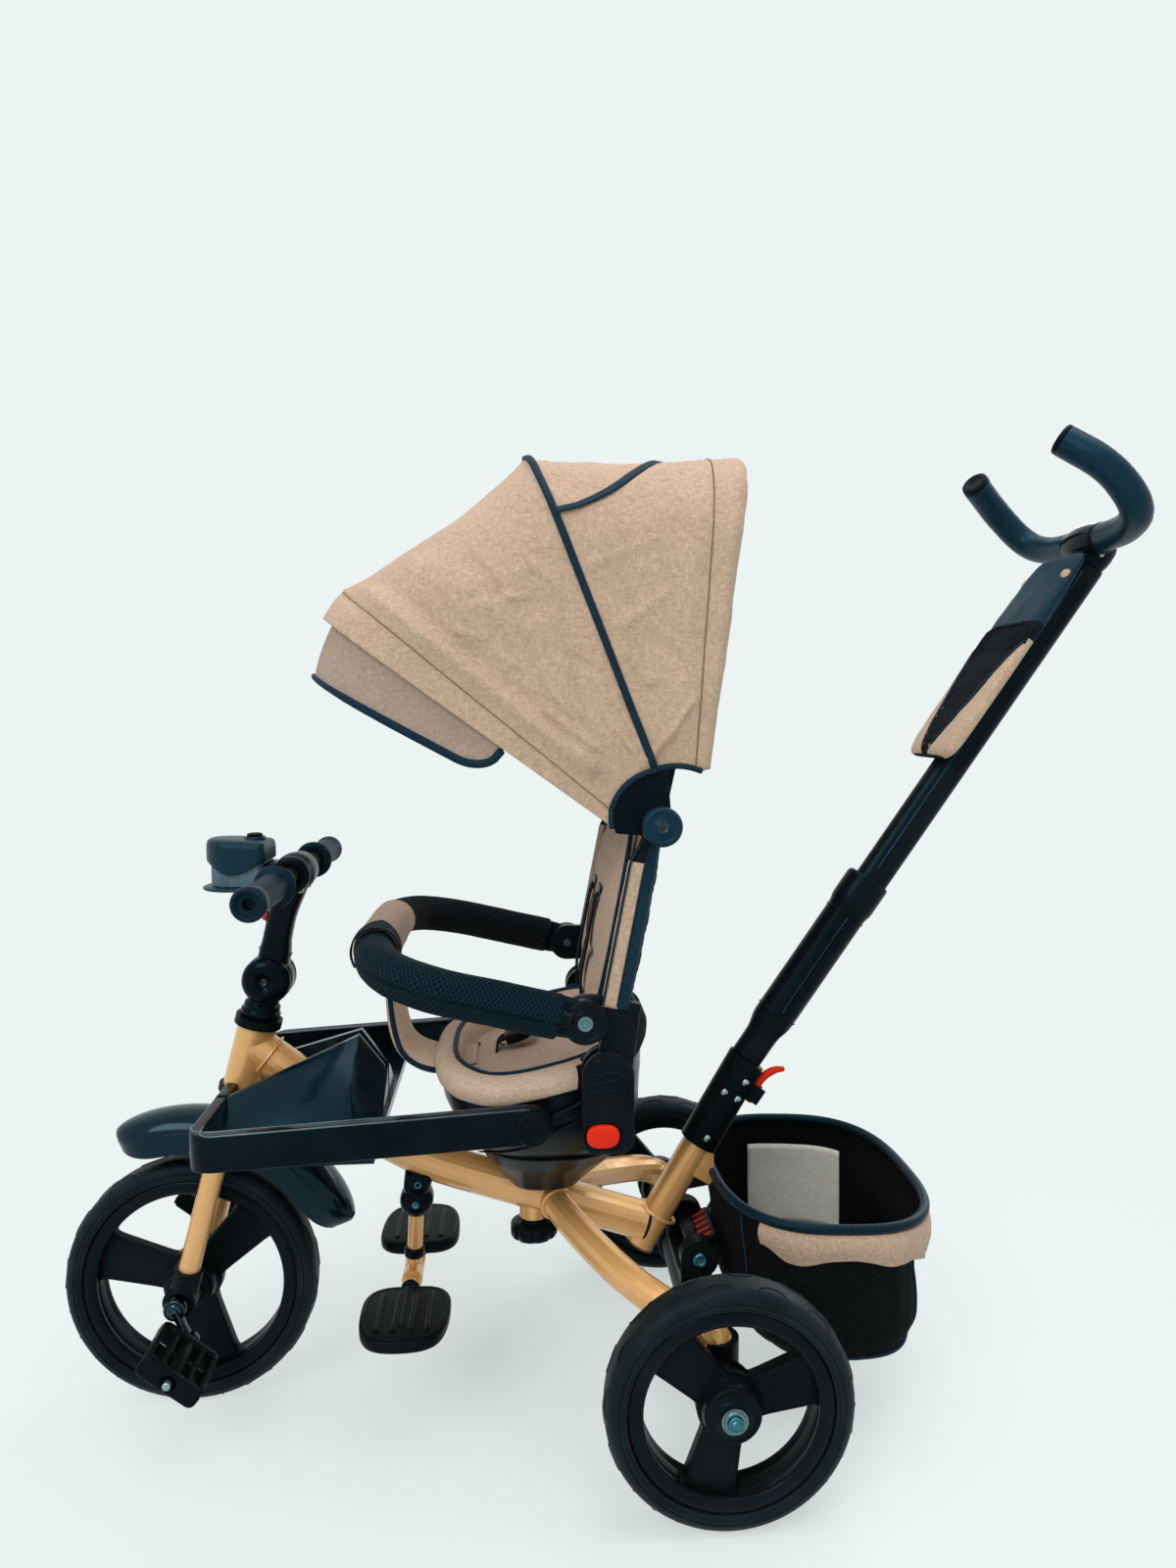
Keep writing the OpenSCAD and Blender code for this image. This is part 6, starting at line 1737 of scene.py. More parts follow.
def make_pad():
    """The crowned back cushion, beige in front, in a black quilted cover that is piped together."""
    rows = [(50, 82, 7), (54, 96, 10.5), (62, 108, 12.6), (78, 122, 13.6), (100, 133, 14.2),
            (130, 139, 14.6), (165, 140, 14.8), (200, 139.6, 14.6), (232, 138, 14), (254, 134, 12.6),
            (268, 126, 11), (278, 114, 8.6), (283, 98, 5.6)]
    lines = spline([(s, h, t) for s, h, t in rows], 4)
    grid = []
    for s, half, thick in lines:
        ring = []
        for u, v in oval(1, 1, 120, 5.0):
            crown = 1 + 0.22 * (1 - abs(v) ** 2.2)
            ring.append(back(s, -2 + u * thick * (1.9 * crown if u > 0 else 0.92), v * half))
        grid.append(ring)
    grid = np.array(grid)
    u = (grid - RECLINE) @ ON_BACK + 2
    v = grid[:, :, 1]
    s = (grid - RECLINE) @ UP_BACK
    front = np.clip(u / 6, 0, 1)
    # sewn channels: two down the sides and three across the middle
    sewn = np.exp(-((np.abs(v) - 78) / 3) ** 2)
    for at_s in (112, 168, 224):
        sewn = sewn + np.exp(-((s - at_s - 4 * np.cos(v / 40)) / 3) ** 2) * (np.abs(v) < 78)
    swell = rough_noise(grid, 44, 71) * 2.4 + rough_noise(grid, 15, 72) * 0.9
    quilt = np.abs(np.sin((s + v) * pi / 44)) * np.abs(np.sin((s - v) * pi / 44))
    push = front * (swell - 4.2 * np.clip(sewn, 0, 1)) + np.clip(-u / 6, 0, 1) * (quilt * 3.4 - 1.6)
    grid = grid + push[:, :, None] * ON_BACK
    pad = skin_piece("back_cushion", grid, "beige_fabric", "backrest", ["back_pad"])
    pad.data.materials.append(PAINTS["black_fabric"])
    for face in pad.data.polygons:
        place = from_axle(face.center) - RECLINE
        half = np.interp(place @ UP_BACK, [row[0] for row in rows], [row[1] for row in rows])
        gusset = abs(place[1]) > half * 0.955 and place @ ON_BACK > 14
        if place @ ON_BACK < -6 or gusset:
            face.material_index = 1
    # piping all round where the beige front meets the black cover
    for number, (off, girth) in enumerate(((-8.2, 2.9), (21.0, 2.5))):
        edge = []
        for s_at, half, _ in lines:
            edge.append(back(s_at, off, half * (0.985 if off < 0 else 0.955)))
        far = [vec(p[0], -p[1], p[2]) for p in edge[::-1]]
        loop = resample(np.array(edge + far), 200, closed=True)
        tube(f"back_piping_{number}", loop, girth, "piping", "backrest", sides=12, closed=True)
    # straps that run up the cushion to their slots
    for number, y in enumerate((-38, 38)):
        line = spline([back(58, 30, y), back(84, 35.4, y), back(120, 36, y), back(150, 36.2, y * 0.96),
                       back(176, 35.4, y * 0.92), back(186, 29, y * 0.9)], 8)
        strap(f"back_strap_{number}", line, "backrest", unit(ON_BACK))
        plate(f"strap_slot_{number}", [rounded_box(36, 9, 4)], 3, 0.9, back(187, 32.6, y * 0.9), (0, 1, 0),
              UP_BACK, "black_plastic", "backrest")


POST_Y = 177.3


def post_narrow(s):
    """The share of its depth that a post's cover keeps at the height s."""
    return 1 - 0.35 * smoothstep((s - 236) / 32)


def make_post_cover(side, word):
    """The cloth cover on a post: a beige strip in front and a navy quilted back."""
    outline = resample([(x, y, 0) for x, y in rounded_box(15.4, 28, 5)], 64, closed=True)
    rows = []
    for s in np.linspace(92, 268, 60):
        rows.append([back(s, (11 + y) * post_narrow(s), side * POST_Y + x) for x, y, _ in outline])
    grid = np.array(rows)
    off = (grid - RECLINE) @ ON_BACK
    s = (grid - RECLINE) @ UP_BACK
    outward = np.array([unit(vec(0, x, 0) + ON_BACK * y * 0.3) for x, y, _ in outline])
    quilt = np.abs(np.sin((s + off) * pi / 15)) * np.abs(np.sin((s - off) * pi / 15)) * (off < 9)
    grid = grid + outward[None] * (quilt * 1.3 + rough_noise(grid, 24, 74 + side) * 0.9)[:, :, None]
    cover = skin_piece(f"post_cover_{word}", grid, "black_fabric", "backrest",
                       ["backrest_frame"] if side == 1 else ())
    cover.data.materials.append(PAINTS["beige_fabric"])
    cover.data.materials.append(PAINTS["navy_mesh"])
    count = len(outline)
    for number, face in enumerate(cover.data.polygons[:(len(grid) - 1) * count]):
        row, k = number // count, number % count
        middle = 11 + (outline[k][1] + outline[(k + 1) % count][1]) / 2
        if middle < 9:
            face.material_index = 2
        elif row < 50:
            face.material_index = 1
    for number, at_off in enumerate((9, 24)):
        line = [back(s, at_off * post_narrow(s), side * (POST_Y + 8.2)) for s in
                np.linspace(95, 258, 40)]
        tube(f"post_piping_{word}_{number}", line, 1.3, "piping", "backrest", sides=8, dome=1)


def make_uprights():
    """Canopy hubs, posts and the arms for the safety bar, and the rails between the posts."""
    def upright(side, word):
        hub = back(281, 0, side * 184.4)
        lathe(f"hub_cover_{word}", [(2, -14), (19.4, -14), (20.2, 0), (20.2, 8.6), (19.2, 11), (17.4, 12.2),
                                    (15.6, 12.4), (14.6, 11.4), (8.6, 11.2), (8, 12), (2, 12)], hub,
              (0, side, 0), "lamp_shell", "backrest", ["canopy_hubs"] if side == 1 else ())
        lathe(f"hub_screw_{word}", [(0.4, 11), (6.6, 11), (6.8, 12.8), (5.8, 13.4), (4.6, 12.2), (0.4, 12.0)],
              hub, (0, side, 0), "crank_metal", "backrest", sides=24)
        lathe(f"hub_pin_{word}", [(0.4, -25), (9, -25), (9, -23), (6, -23), (6, 0), (0.4, 0)],
              hub, (0, side, 0), "black_steel", "backrest", sides=24)
        # black plate that fills the corner between the hub and the canopy's bound hem
        turns = np.linspace(-9, 97, 28)
        reaches = np.interp(turns, (-9, 19, 84, 97), (46, 50, 54, 57))
        skirt = [(r * cos(radians(a)), r * sin(radians(a))) for a, r in zip(turns, reaches)]
        skirt += [(17 * cos(radians(a)), 17 * sin(radians(a))) for a in np.linspace(128, 322, 22)]
        plate(f"hub_skirt_{word}", [skirt], 3, 1.0, hub - vec(0, side * 6.4, 0), (1, 0, 0), (0, 0, 1),
              "satin_black", "backrest")
        # lower end of the post, round its pin, and the arm that carries the safety bar
        foot = [(21 * cos(a), 21 * sin(a)) for a in np.linspace(pi, 2 * pi, 22)] + [(15, 100), (-15, 100)]
        plate(f"post_foot_{word}", [foot], 11.6, 1.8, back(0, 0, side * POST_Y), ON_BACK, UP_BACK,
              "satin_black", "backrest")
        arm = [(BAR_PIVOT[0] + 23 * cos(a), BAR_PIVOT[2] + 23 * sin(a))
               for a in np.linspace(-pi / 2, pi / 2, 24)]
        arm += [(100, BAR_PIVOT[2] + 22), (93, BAR_PIVOT[2] + 16), (93, BAR_PIVOT[2] - 18),
                (98, BAR_PIVOT[2] - 22)]
        plate(f"post_arm_{word}", [arm], 12, 2.2, (0, side * POST_Y, 0), (1, 0, 0), (0, 0, 1), "satin_black",
              "backrest", steps=3)
        make_post_cover(side, word)

    both(upright)
    for number, s in enumerate((71, 256)):
        line = [back(s, 0, y) for y in np.linspace(-171, 171, 9)]
        sweep(f"back_rail_{number}", line, rounded_box(8, 22, 2), "black_steel", "backrest", up=UP_BACK)


def pod_outline(grow=0.0):
    """Arched top, straight sides and a rounded foot, in x and z from the recline pivot."""
    line = []
    for a in np.linspace(0, pi, 17):
        line.append(((26 + grow) * cos(a), 24 + (26 + grow) * sin(a)))
    foot = -54 - grow
    for a in np.linspace(pi, 1.5 * pi, 7):
        line.append((-12 + (14 + grow) * cos(a), foot + 14 + grow + (14 + grow) * sin(a)))
    for a in np.linspace(1.5 * pi, 2 * pi, 7):
        line.append((12 + (14 + grow) * cos(a), foot + 14 + grow + (14 + grow) * sin(a)))
    return line


def make_pods():
    """The pods beside the recline pivot, with their red buttons."""
    def pod(side, word):
        centre = RECLINE + vec(0, side * 186.6, -2)
        hole = [(6 + x, z - 34) for x, z in oval(17.8, 13, 48, 2.5)]
        plate(f"pod_face_{word}", [pod_outline(), hole], 6, 2.2, centre, (1, 0, 0), (0, 0, 1),
              "satin_black", "chassis", steps=3)
        line = [centre + vec(x, side * 3.0, z) for x, z in pod_outline(-4.5)]
        tube(f"pod_edge_{word}", line, 1.2, "gloss_black", "chassis", sides=8, closed=True)
        for number, z in enumerate((30, 21, 12)):
            line = [centre + vec(x, side * 3.2, z - 0.012 * x * x) for x in np.linspace(-15, 15, 9)]
            sweep(f"pod_rib_{word}_{number}", line, oval(2.2, 1.4, 12), "gloss_black", "chassis",
                  up=vec(0, 1, 0), dome=1)
        for number, z in enumerate((0.5, -8)):
            line = [centre + vec(x, side * 2.9, z) for x in (-16, -8, 0, 8, 16)]
            sweep(f"pod_slot_{word}_{number}", line, oval(1.6, 0.9, 12), "black_plastic", "chassis",
                  up=vec(0, 1, 0), dome=1)
        face = vec(118, side * 189.2, 372)
        plate(f"recline_press_{word}", [oval(16.6, 11.8, 48, 2.5)], 10, 3.2, face + vec(0, side * 1.5, 0),
              (1, 0, 0), (0, 0, 1), "red_plastic", f"recline_button_{word}", [f"recline_button_{word}"],
              steps=4)
        ring = [face + vec(x, side * 0.4, z) for x, z in oval(19, 14.2, 48, 2.5)]
        tube(f"press_ring_{word}", ring, 1.3, "gloss_black", "chassis", sides=8, closed=True)

    both(pod)


make_pad()
make_uprights()
make_pods()


# ---------- push bar ----------

PUSH_FOOT = vec(-70, 0, 384)
PUSH_LEAN = radians(34.8)
UP_PUSH = vec(-sin(PUSH_LEAN), 0, cos(PUSH_LEAN))
ON_PUSH = vec(cos(PUSH_LEAN), 0, sin(PUSH_LEAN))
PUSH_LEN = 735
# the gold socket that the push bar stands in
SOCKET_FOOT = vec(60, 0, 160)
SOCKET_LEAN = radians(30.5)
SOCKET_WAY = vec(-sin(SOCKET_LEAN), 0, cos(SOCKET_LEAN))


def push(s, off=0.0, y=0.0):
    """A point on the push bar: s up from its foot, then to its upper side and to the left."""
    return PUSH_FOOT + UP_PUSH * s + ON_PUSH * off + vec(0, y, 0)


def stadium(width, thickness):
    """A round-ended outline: width across the bar's side view, thickness from left to right."""
    line = []
    r, flat = thickness / 2, (width - thickness) / 2
    for a in np.arange(48) * 2 * pi / 48:
        line.append((flat * np.sign(round(cos(a), 6)) + r * cos(a), r * sin(a)))
    return line


def bar_loft(name, rows, paint, body, stands_for):
    """Stadium sections up the push bar: (s, width, thickness, offset to the upper side)."""
    rings = []
    for s, width, thick, off in rows:
        rings.append([push(s, off + x, y) for x, y in stadium(width, thick)])
    piece = skin_piece(name, rings, paint, body, stands_for)
    crisp(piece, 38)
    return piece


def make_casing():
    """The lower casing: a narrow foot, bands round its body, and a flared mouth that the tube slides in."""
    rows = [(0.4, 36, 32, 0), (1.6, 38, 34, 0), (24, 38, 34, 0), (34, 38.6, 34.4, 0.1), (42, 41, 36, 0.7),
            (50, 45.4, 38.6, 0.6), (57, 47.6, 39.8, 0.2), (64, 48, 40, 0), (212, 48, 40, 0),
            (217, 49.4, 41.4, 0), (222, 52.2, 44.2, 0), (227, 53, 45, 0), (255, 53, 45, 0),
            (258.6, 51.8, 43.6, -0.4), (260, 49.8, 41, -0.8), (260, 41.2, 28.2, -3.2), (150, 41, 28, -3.2)]
    bar_loft("push_casing_skin", rows, "satin_black", "chassis", ["push_casing"])
    for number, s in enumerate((66, 209)):
        ring = [push(s, x, y) for x, y in stadium(49.4, 41.4)]
        tube(f"casing_band_{number}", ring, 1.0, "gloss_black", "chassis", sides=8, closed=True)
    for side, word in SIDES:
        line = [push(s, 0, side * 20.1) for s in np.linspace(82, 196, 12)]
        sweep(f"casing_panel_{word}", line, oval(6.5, 0.9, 16, 3), "black_plastic", "chassis", up=ON_PUSH,
              dome=5)
        # painted highlight: a thin navy line along each side of the casing
        line = [push(s, 2, side * 20.6) for s in np.linspace(72, 206, 12)]
        tube(f"casing_highlight_line_{word}", line, 0.8, "painted_navy_highlight", "chassis", sides=8, dome=1)


def make_sleeve():
    """The black sleeve that joins the gold socket to the casing, with its rivets and the red lever."""
    low, way = SOCKET_FOOT, SOCKET_WAY
    face = vec(cos(SOCKET_LEAN), 0, sin(SOCKET_LEAN))
    rings = []
    for s, width, thick in ((142, 43, 39), (143, 45.4, 41.4), (146, 46, 42), (166, 46, 42), (168, 45.2, 41.2),
                            (200, 45.2, 41.2), (225, 45.6, 41.4), (248, 46, 42), (250, 44, 40)):
        rings.append([low + way * s + face * x + vec(0, y, 0) for x, y in stadium(width, thick)])
    rings = np.array(rings)
    # the sleeve's head is cut square to the push bar
    for ring in rings:
        over = (ring - PUSH_FOOT) @ UP_PUSH
        ring -= np.clip(over, 0, None)[:, None] * UP_PUSH
    sleeve = skin_piece("push_sleeve_skin", rings, "satin_black", "chassis")
    crisp(sleeve, 38)
    for side, word in SIDES:
        for number, (s, off) in enumerate(((156, 0), (214, -8), (214, 10), (236, -6))):
            spot = low + way * s + face * off + vec(0, side * 20.6, 0)
            lathe(f"sleeve_rivet_{word}_{number}", [(0.3, -2), (4.4, -2), (4.4, 0.8), (3.4, 2.0),
                                                    (1.6, 2.5), (0.3, 2.6)], spot, (0, side, 0),
                  "bright_bolt", "chassis", sides=20)
    hook = spline([push(-41, -33), push(-30, -32), push(-18, -30.5), push(-6, -32), push(6, -38),
                   push(13, -46)], 8)
    sweep("latch_hook", hook, rounded_box(9.6, 8.0, 3.2), "red_plastic", "latch_lever", ["latch_lever"],
          up=vec(0, 1, 0), scale=lambda t: float(np.interp(t, (0, 0.3, 0.75, 1), (0.95, 1.1, 0.95, 0.62))),
          dome=2.5)
    lathe("latch_eye", [(3.1, -4.9), (6, -4.9), (6.6, -4.2), (6.6, 4.2), (6, 4.9), (3.1, 4.9)],
          push(-30, -34), (0, 1, 0), "red_plastic", "latch_lever", closed=True, sides=28)


def make_upper_tube():
    """The sliding tube with its bracket, handle boss and horn-shaped grips."""
    rows = [(127, 34, 27, 0), (186, 34, 27, 0), (190, 40, 27, -3.2), (712, 40, 27, -3.2), (715, 39, 26, -3.2)]
    bar_loft("push_tube_skin", rows, "black_steel", "push_slider", ["push_tube"])
    for side, word in SIDES:
        # two thin ridges along each side of the tube; the one towards the upper side is coloured navy as a
        # painted highlight
        for number, off in enumerate((-10.5, 3.5)):
            line = [push(s, off, side * 13.3) for s in np.linspace(276, 700, 20)]
            tube(f"tube_ridge_{word}_{number}", line, 0.7, ("gloss_black", "painted_navy_highlight")[number],
                 "push_slider", sides=8, dome=1)
    rows = [(712, 33, 27, 0), (714, 38, 33, 0), (717, 41, 38, 0), (722, 44, 43, 0), (730, 46, 46, 0),
            (740, 46, 46, 0), (744, 44, 44, 0), (745.6, 38, 38, 0)]
    bar_loft("push_bracket_skin", rows, "gloss_black", "push_slider", ["push_bracket"])
    top = push(PUSH_LEN) + vec(8, 0, 10)
    lathe("handle_boss", [(2, -34), (17.2, -34), (18.6, -32), (18.9, -24), (19.6, -20), (20.6, -12),
                          (21, 0), (20.6, 12), (19.6, 20), (18.9, 24), (18.6, 32), (17.2, 34), (2, 34)],
          top, (0, 1, 0), "gloss_black", "push_slider", sides=56)
    for side, word in SIDES:
        lathe(f"handle_boss_screw_{word}", [(0.3, -2), (3.6, -2), (3.6, 1.2), (2.6, 2.0), (0.3, 2.1)],
              push(726, 0, side * 22.4), (0, side, 0), "bright_bolt", "push_slider", sides=20)

        def place(p):
            return top + vec(p[0], side * p[1], p[2])

        path = eased([place(p) for p in ((0, 23.3, 0), (0, 84, 2), (14, 124, 16), (52, 130, 58),
                                         (93, 106, 91))], 34, 8)
        path = resample(path, 110)
        horn = soft_tube(f"horn_{word}", path[:-2], 17.2, "horn_foam", "push_slider", 91 + side,
                         ["push_grips"] if side == 1 else (), 0.35, dome=0.8)
        end, way = path[-1], unit(path[-1] - path[-3])
        lathe(f"horn_cap_{word}", [(0.4, -6), (15.4, -6), (16.6, -3.4), (16.9, -0.6), (16.2, 1.6),
                                   (14.2, 2.8), (11, 3.2), (10, 2.4), (0.4, 2.2)], end, way,
              "black_plastic", "push_slider", sides=40)
        start, way = path[0], unit(path[2] - path[0])
        lathe(f"horn_collar_{word}", [(16, -3), (18.2, -2.6), (18.8, 0), (18.2, 3), (17, 3.8), (16, 3.8)],
              start, way, "satin_black", "push_slider", sides=40, closed=True)


POUCH_OFF = 26.2
POUCH_SPOTS = (421, 432, 452, 620, 670, 703)


def pouch_edge(s):
    """Half the width of the pouch's black middle, which tapers to its lower end."""
    return np.interp(s, (421, 432, 462, 500, 540, 575, 590), (7, 13, 25, 35, 47, 58, 70))


def make_pouch():
    """The slim bag on the bar: mesh top, a pleated band and a ribbed lower part, beige at its sides."""
    rows = []
    for s, half, thick in spline([(421, 44, 4.2), (424, 52, 6.4), (432, 58.5, 8.4), (452, 61.6, 9.4),
                                  (500, 62.2, 9.6), (560, 62, 9.5), (620, 60, 9), (670, 56, 7.4),
                                  (694, 52, 5.6), (703, 47, 4.0)], 8):
        ring = []
        for u, v in oval(1, 1, 112, 3.4):
            ring.append((s, POUCH_OFF + u * thick, v * half))
        rows.append(ring)
    grid = np.array(rows)
    s, u, v = grid[:, :, 0], grid[:, :, 1], grid[:, :, 2]
    upper = np.clip((u - 26) / 5, 0, 1)
    lower = (s < 566) * (np.abs(v) < pouch_edge(s))
    ribs = np.cos((s - 430) * 2 * pi / 10.5) * 1.1 * upper * lower * (s < 548)
    band = np.cos(v * 2 * pi / 7.5) * 1.5 * upper * ((s > 566) & (s < 600)) * (np.abs(v) < pouch_edge(s))
    seams = (np.exp(-((s - 563) / 2.2) ** 2) + np.exp(-((s - 603) / 2.2) ** 2)) * -2.4 * upper
    soft = rough_noise(grid, 38, 95) * 1.8 + rough_noise(grid, 13, 96) * 0.6
    grid[:, :, 1] += ribs + band + seams + soft * upper
    world = PUSH_FOOT + grid[:, :, :1] * UP_PUSH + grid[:, :, 1:2] * ON_PUSH + grid[:, :, 2:] * vec(0, 1, 0)
    pouch = skin_piece("pouch_cloth", world, "beige_fabric", "push_slider", ["push_pouch"])
    for paint in ("black_fabric", "navy_mesh"):
        pouch.data.materials.append(PAINTS[paint])
    for face in pouch.data.polygons:
        off = from_axle(face.center) - PUSH_FOOT
        at_s, at_u, at_v = off @ UP_PUSH, off @ ON_PUSH, off[1]
        if at_u < 20:
            face.material_index = 1
        elif (at_u > 25 or at_s > 584) and abs(at_v) < pouch_edge(at_s):
            face.material_index = 2 if at_s > 602 else 1
    for side, word in SIDES:
        line = []
        for at_s in np.linspace(426, 578, 40):
            edge = pouch_edge(at_s) + 0.5
            half = np.interp(at_s, POUCH_SPOTS, (44, 58.5, 61.6, 60, 56, 47))
            thick = np.interp(at_s, POUCH_SPOTS, (4.2, 8.4, 9.4, 9, 7.4, 4.0))
            lift = thick * max(1 - min(edge / half, 0.99) ** 3.4, 0.0) ** (1 / 3.4)
            line.append(push(at_s, POUCH_OFF + lift + 0.6, side * edge))
        tube(f"pouch_piping_{word}", np.array(line), 1.8, "piping", "push_slider", sides=10, dome=1.4)
        lathe(f"pouch_stud_{word}", [(0.3, -1), (5.4, -0.8), (6.0, 0.4), (5.2, 1.5), (3.0, 2.0),
                                     (0.3, 2.1)], push(672, 31.4, side * 48),
              ON_PUSH + vec(0, side * 0.5, 0), "beige_fabric", "push_slider", sides=24)
    lip = [push(604, POUCH_OFF + 9.6, y) + ON_PUSH * (-(abs(y) / 47) ** 4 * 2.2)
           for y in np.linspace(-35, 35, 21)]
    tube("pouch_lip", lip, 2.0, "piping", "push_slider", sides=10, dome=1.5)


make_casing()
make_sleeve()
make_upper_tube()
make_pouch()


# ---------- pedals, footrest, brake, frame details ----------

CRANK_TILT = radians(22)


def make_cranks_and_pedals():
    """The cranks on the front axle and the block pedals."""
    def one(side, word):
        arm = vec(-side * 40 * sin(CRANK_TILT), 0, -side * 40 * cos(CRANK_TILT))
        hub = FRONT_AXLE + vec(0, side * 70.5, 0)
        line = [hub + arm * t for t in np.linspace(0, 1, 12)]
        sweep(f"crank_arm_{word}", line, oval(4.6, 8.6, 28, 3), "crank_metal", "front_wheel",
              ["crank"] if side == 1 else (), up=vec(0, 1, 0) if side == 1 else vec(0, -1, 0),
              scale=lambda t: 1.12 - 0.28 * sin(pi * t), dome=4)
        lathe(f"crank_boss_{word}", [(0.5, -10), (11.6, -10), (12.2, -8.6), (12.2, 3.4), (11.4, 5),
                                     (9, 5.8), (8.2, 4.8), (7.4, 6.4), (4.6, 7.2), (0.5, 7.4)], hub,
              (0, side, 0), "crank_metal", "front_wheel", sides=36)
        lathe(f"axle_sheath_{word}", [(0.5, -12), (8.4, -12), (9.2, -10), (9.2, -6), (8, -4), (0.5, -4)],
              hub, (0, side, 0), "black_plastic", "front_wheel", sides=32)
        foot = FRONT_AXLE + arm
        lathe(f"crank_eye_{word}", [(0.5, -5), (9.4, -5), (9.9, -3.6), (9.9, 3.6), (9.4, 5), (0.5, 5)],
              foot + vec(0, side * 70.5, 0), (0, side, 0), "crank_metal", "front_wheel", sides=32)
        lathe(f"pedal_pin_{word}", [(0.5, 0), (4.5, 0), (4.5, 74), (3.8, 75.4), (0.5, 75.6)],
              foot + vec(0, side * 75.5, 0), (0, side, 0), "bright_bolt", "front_wheel", sides=24)
        # block pedal: end plates, barrel, and treads with recesses between them
        turn = radians(-38)
        long_way, thick_way = vec(cos(turn), 0, -sin(turn)), vec(sin(turn), 0, cos(turn))
        middle = foot + vec(0, side * 111, 0)
        body = f"pedal_{word}"
        for number, off in enumerate((-30, 30)):
            plate(f"pedal_plate_{word}_{number}", [rounded_box(73, 22, 8)], 8, 2.0, middle + vec(0, off, 0),
                  long_way, thick_way, "black_plastic", body, [f"pedal_{word}"] if number == 0 else ())
        for number, x in enumerate((-32.5, -16.5, 16.5, 32.5)):
            line = [middle + long_way * x + vec(0, y, 0) for y in np.linspace(-30, 30, 9)]
            sweep(f"pedal_tread_{word}_{number}", line, rounded_box(21.4, 6.4, 2.2), "black_plastic", body,
                  up=long_way)
            for k in range(5):
                for face, name in ((1, "top"), (-1, "low")):
                    spot = middle + long_way * x + thick_way * face * 10.6 + vec(0, -24 + 12 * k, 0)
                    lathe(f"pedal_stud_{word}_{number}_{k}_{name}",
                          [(0.3, -0.6), (2.2, -0.6), (1.7, 0.7), (0.3, 0.8)], spot, thick_way * face,
                          "black_plastic", body, sides=10)
        lathe(f"pedal_barrel_{word}", [(4.6, -34), (9.4, -34), (10, -33), (10, 33), (9.4, 34), (4.6, 34)],
              middle, (0, 1, 0), "black_plastic", body, sides=32, closed=True)
        web = [middle + long_way * x for x in np.linspace(-33, 33, 7)]
        sweep(f"pedal_web_{word}", web, rounded_box(5, 13.6, 1.4), "black_plastic", body, up=thick_way)

    both(one)


def make_footrest():
    """The footrest's pads, its ball-shaped bracket and the collar on its strut."""
    pivot, bar = vec(324, 0, 226), vec(329, 0, 138)

    def pad(side, word):
        centre = bar + vec(0, side * 100, 0)
        # D-shaped pad: round outer side, straight inner side
        shape = rounded_outline([(-49, -54), (49, -54), (49, 26), (30, 56), (-30, 56), (-49, 26)], 36, 9)
        shape = [(x, side * y) for x, y in shape]
        plate(f"foot_pad_{word}", [shape], 14, 4.2, centre, (1, 0, 0), (0, 1, 0), "black_plastic", "footrest",
              ["footrest_pads"] if side == 1 else (), steps=4)
        for k in range(4):
            x = -27 + 18 * k
            line = [centre + vec(x, y, 7.0) for y in np.linspace(-34, 34, 9)]
            sweep(f"foot_rib_{word}_{k}", line, oval(3.4, 1.7, 16, 2.4), "satin_black", "footrest",
                  up=vec(0, 0, 1), dome=3)
        edge = [centre + vec(x * 0.9, y * 0.9, 6.4) for x, y in shape]
        tube(f"foot_edge_{word}", edge, 1.2, "satin_black", "footrest", sides=8, closed=True)
        line = [centre + vec(0, -side * 54 + side * t, -1) for t in np.linspace(-6, 84, 10)]
        tube(f"foot_pad_barrel_{word}", line, 9.2, "black_plastic", "footrest", sides=28, dome=4)
        lathe(f"foot_cap_{word}", [(0.4, 0), (10.4, 0), (11, 1.4), (10.2, 4), (8, 5.2), (0.4, 5.6)],
              bar + vec(0, side * 40, 0), (0, side, 0), "satin_black", "footrest", sides=32)

    both(pad)
    # ball-shaped bracket under the main tube, with its bolts
    lathe("footrest_ball", [(0.5, -19), (9, -18.6), (15, -16), (18.6, -11), (19.6, -6), (19.8, 0),
                            (19.6, 6), (18.6, 11), (15, 16), (9, 18.6), (0.5, 19)], pivot, (0, 1, 0),
          "gloss_black", "chassis", ["footrest_bracket"], sides=48)
    line = [pivot + vec(x, 0, z) for x, z in ((0, 8), (-1, 18), (-3, 28), (-5, 36))]
    sweep("footrest_saddle", line, rounded_box(34, 30, 8), "gloss_black", "chassis", up=vec(1, 0, 0),
          scale=lambda t: 1.0 + 0.16 * t)
    for side, word in SIDES:
        for number, (x, z) in enumerate(((0, 0), (-3, 23))):
            lathe(f"footrest_bolt_{word}_{number}", [(0.4, -2), (4.6, -2), (4.8, 0.8), (4.1, 2.4),
                                                     (2.9, 3.0), (2.4, 1.8), (0.4, 1.6)],
                  pivot + vec(x, side * (18.6 if z == 0 else 16.4), z), (0, side, 0), "teal_bolt",
                  "chassis", sides=28)
    lathe("strut_collar", [(9.2, -4), (11.4, -4), (12, -2), (12, 5), (11.2, 7), (9.2, 7)],
          bar + vec(-1, 0, 22), unit(pivot - bar), "satin_black", "footrest", sides=32, closed=True)


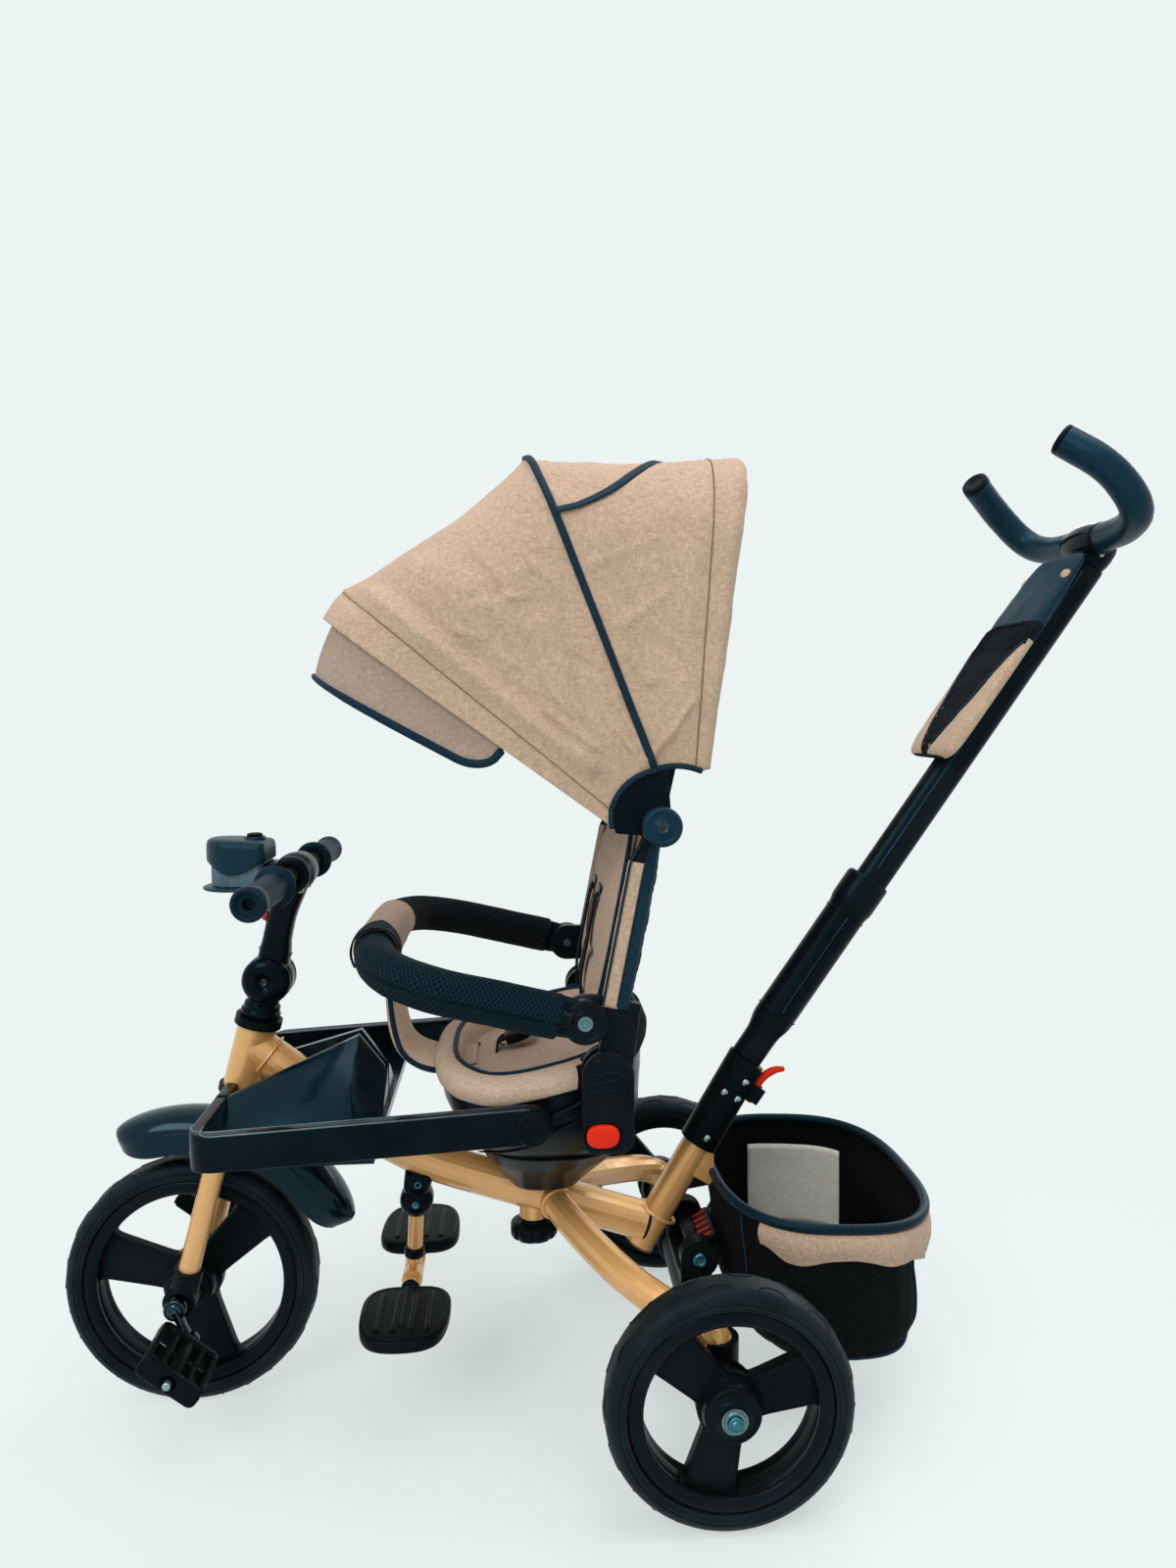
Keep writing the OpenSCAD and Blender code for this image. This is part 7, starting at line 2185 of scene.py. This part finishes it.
def make_frame_details():
    """Weld beads, plugs and the knob under the main tube."""
    def weld(name, centre, way, radius, squash, seed):
        """A wavy weld bead round a tube."""
        way = unit(np.array(way, float))
        side = unit(np.cross(way, vec(0, 1, 0)))
        line = []
        for k in range(72):
            a = 2 * pi * k / 72
            ripple = 0.28 * sin(a * 24 + seed)
            reach = radius + ripple
            line.append(centre + side * reach * squash * cos(a) + vec(0, 1, 0) * reach * sin(a))
        tube(name, line, 1.9, "gold_paint", "chassis", sides=10, closed=True)

    # the main tube runs from the head, through its bend, to its lower end
    head, bend, low = steer(284), vec(333, 0, 279), vec(52, 0, 187)
    weld("weld_head", mix(head, bend, 0.105), bend - head, 22.6, 1.04, 1)
    weld("weld_socket", SOCKET_FOOT + SOCKET_WAY * 44, SOCKET_WAY, 18.4, 1.3, 2)
    lathe("main_tube_plug", [(0.4, -3), (21, -3), (22.6, -1.4), (22.6, 0.6), (21, 2.0), (14, 2.8), (0.4, 3)],
          low, low - bend, "black_plastic", "chassis", sides=48)
    lathe("socket_plug", [(0.4, -3), (17, -3), (18.2, -1.2), (17.6, 1.4), (12, 3), (0.4, 3.2)], SOCKET_FOOT,
          -SOCKET_WAY, "black_plastic", "chassis", sides=40)

    def leg(side, word):
        line = [vec(166, side * 8, 226), vec(142, side * 62, 216), vec(90, side * 132, 190),
                vec(32, side * 186.7, 172)]
        spot, way = mix(line[0], line[1], 0.28), unit(line[1] - line[0])
        up = unit(np.cross(way, vec(1, 0, 0.2)))
        across = np.cross(way, up)
        ring = [spot + (18.4 + 0.25 * sin(a * 20)) * (up * cos(a) + across * sin(a)) for a in
                np.linspace(0, 2 * pi, 64, False)]
        tube(f"weld_leg_{word}", ring, 1.9, "gold_paint", "chassis", sides=10, closed=True)

    both(leg)
    # the hand knob under the tube, scalloped for the fingers
    rings = []
    for z, r, deep in ((0, 24, 0.3), (1.2, 26.6, 0.8), (4, 28.2, 1), (13, 28.2, 1), (16, 26.8, 0.8),
                       (17.6, 24, 0.4), (18.2, 16, 0), (23.6, 15, 0)):
        ring = []
        for a in np.linspace(0, 2 * pi, 128, False):
            reach = r - 1.9 * deep * max(0.0, cos(8 * a)) ** 2
            ring.append(vec(186, 0, 176 + z) + vec(reach * cos(a), reach * sin(a), 0))
        rings.append(ring)
    knob = skin_piece("frame_knob_skin", rings, "satin_black", "frame_knob", ["frame_knob"])
    crisp(knob, 40)


def make_brake():
    """The brake pedal with its red ribs, bolts and drums."""
    pin = vec(-4, 0, 168)
    tilt = radians(28)
    back_way, up_way = vec(-cos(tilt), 0, sin(tilt)), vec(sin(tilt), 0, cos(tilt))
    centre = pin + back_way * 14
    plate("brake_tread", [rounded_box(72, 32, 6)], 8.4, 2.6, centre, (0, 1, 0), back_way, "black_plastic",
          "brake_pedal", ["brake_pedal"], steps=4)
    lathe("brake_barrel", [(5.2, -40), (9.2, -40), (10, -39), (10, 39), (9.2, 40), (5.2, 40)], pin, (0, 1, 0),
          "black_plastic", "brake_pedal", sides=36, closed=True)
    for k in range(5):
        line = [centre + vec(0, -26 + 13 * k, 0) + up_way * 4.4 + back_way * t
                for t in np.linspace(-10, 10, 5)]
        sweep(f"brake_rib_{k}", line, oval(1.9, 1.1, 12), "red_plastic", "brake_pedal", up=up_way, dome=1.4)

    def end(side, word):
        for number, (x, z) in enumerate(((-4, 168), (0, REAR_R))):
            lathe(f"brake_bolt_{word}_{number}", [(0.4, -2), (8.4, -2), (8.8, 0.8), (7.6, 3.2), (5.2, 4.2),
                                                  (4.6, 3), (0.4, 2.8)], vec(x, side * 60, z), (0, side, 0),
                  "teal_bolt", "chassis", sides=32)
        lathe(f"brake_drum_{word}", [(7, -6), (27, -6), (28, -4), (28, 6), (26.4, 8), (14, 9), (7, 9)],
              vec(0, side * 70, REAR_R), (0, side, 0), "satin_black", "chassis", sides=48, closed=True)

    both(end)


make_cranks_and_pedals()
make_footrest()
make_frame_details()
make_brake()


# ---------- the solids that stay as they are built ----------

def round_the_solids():
    """A small radius on the hard edges of the solids that show."""
    for node, width in (("console_tray", 0.7), ("recline_housings", 1.6), ("brake_housing", 1.2),
                        ("axle_caps", 1.2), ("fork_boots", 1.0), ("headset_cups", 0.8)):
        soften(NODES[node], width, 2, 40)
    NODES["console_tray"].data.materials[0] = PAINTS["fender_paint"]


round_the_solids()


# ---------- edges of the carried-over CAD pieces ----------

for node, shape in NODES.items():
    if not shape.hide_render:
        crisp(shape, 34)
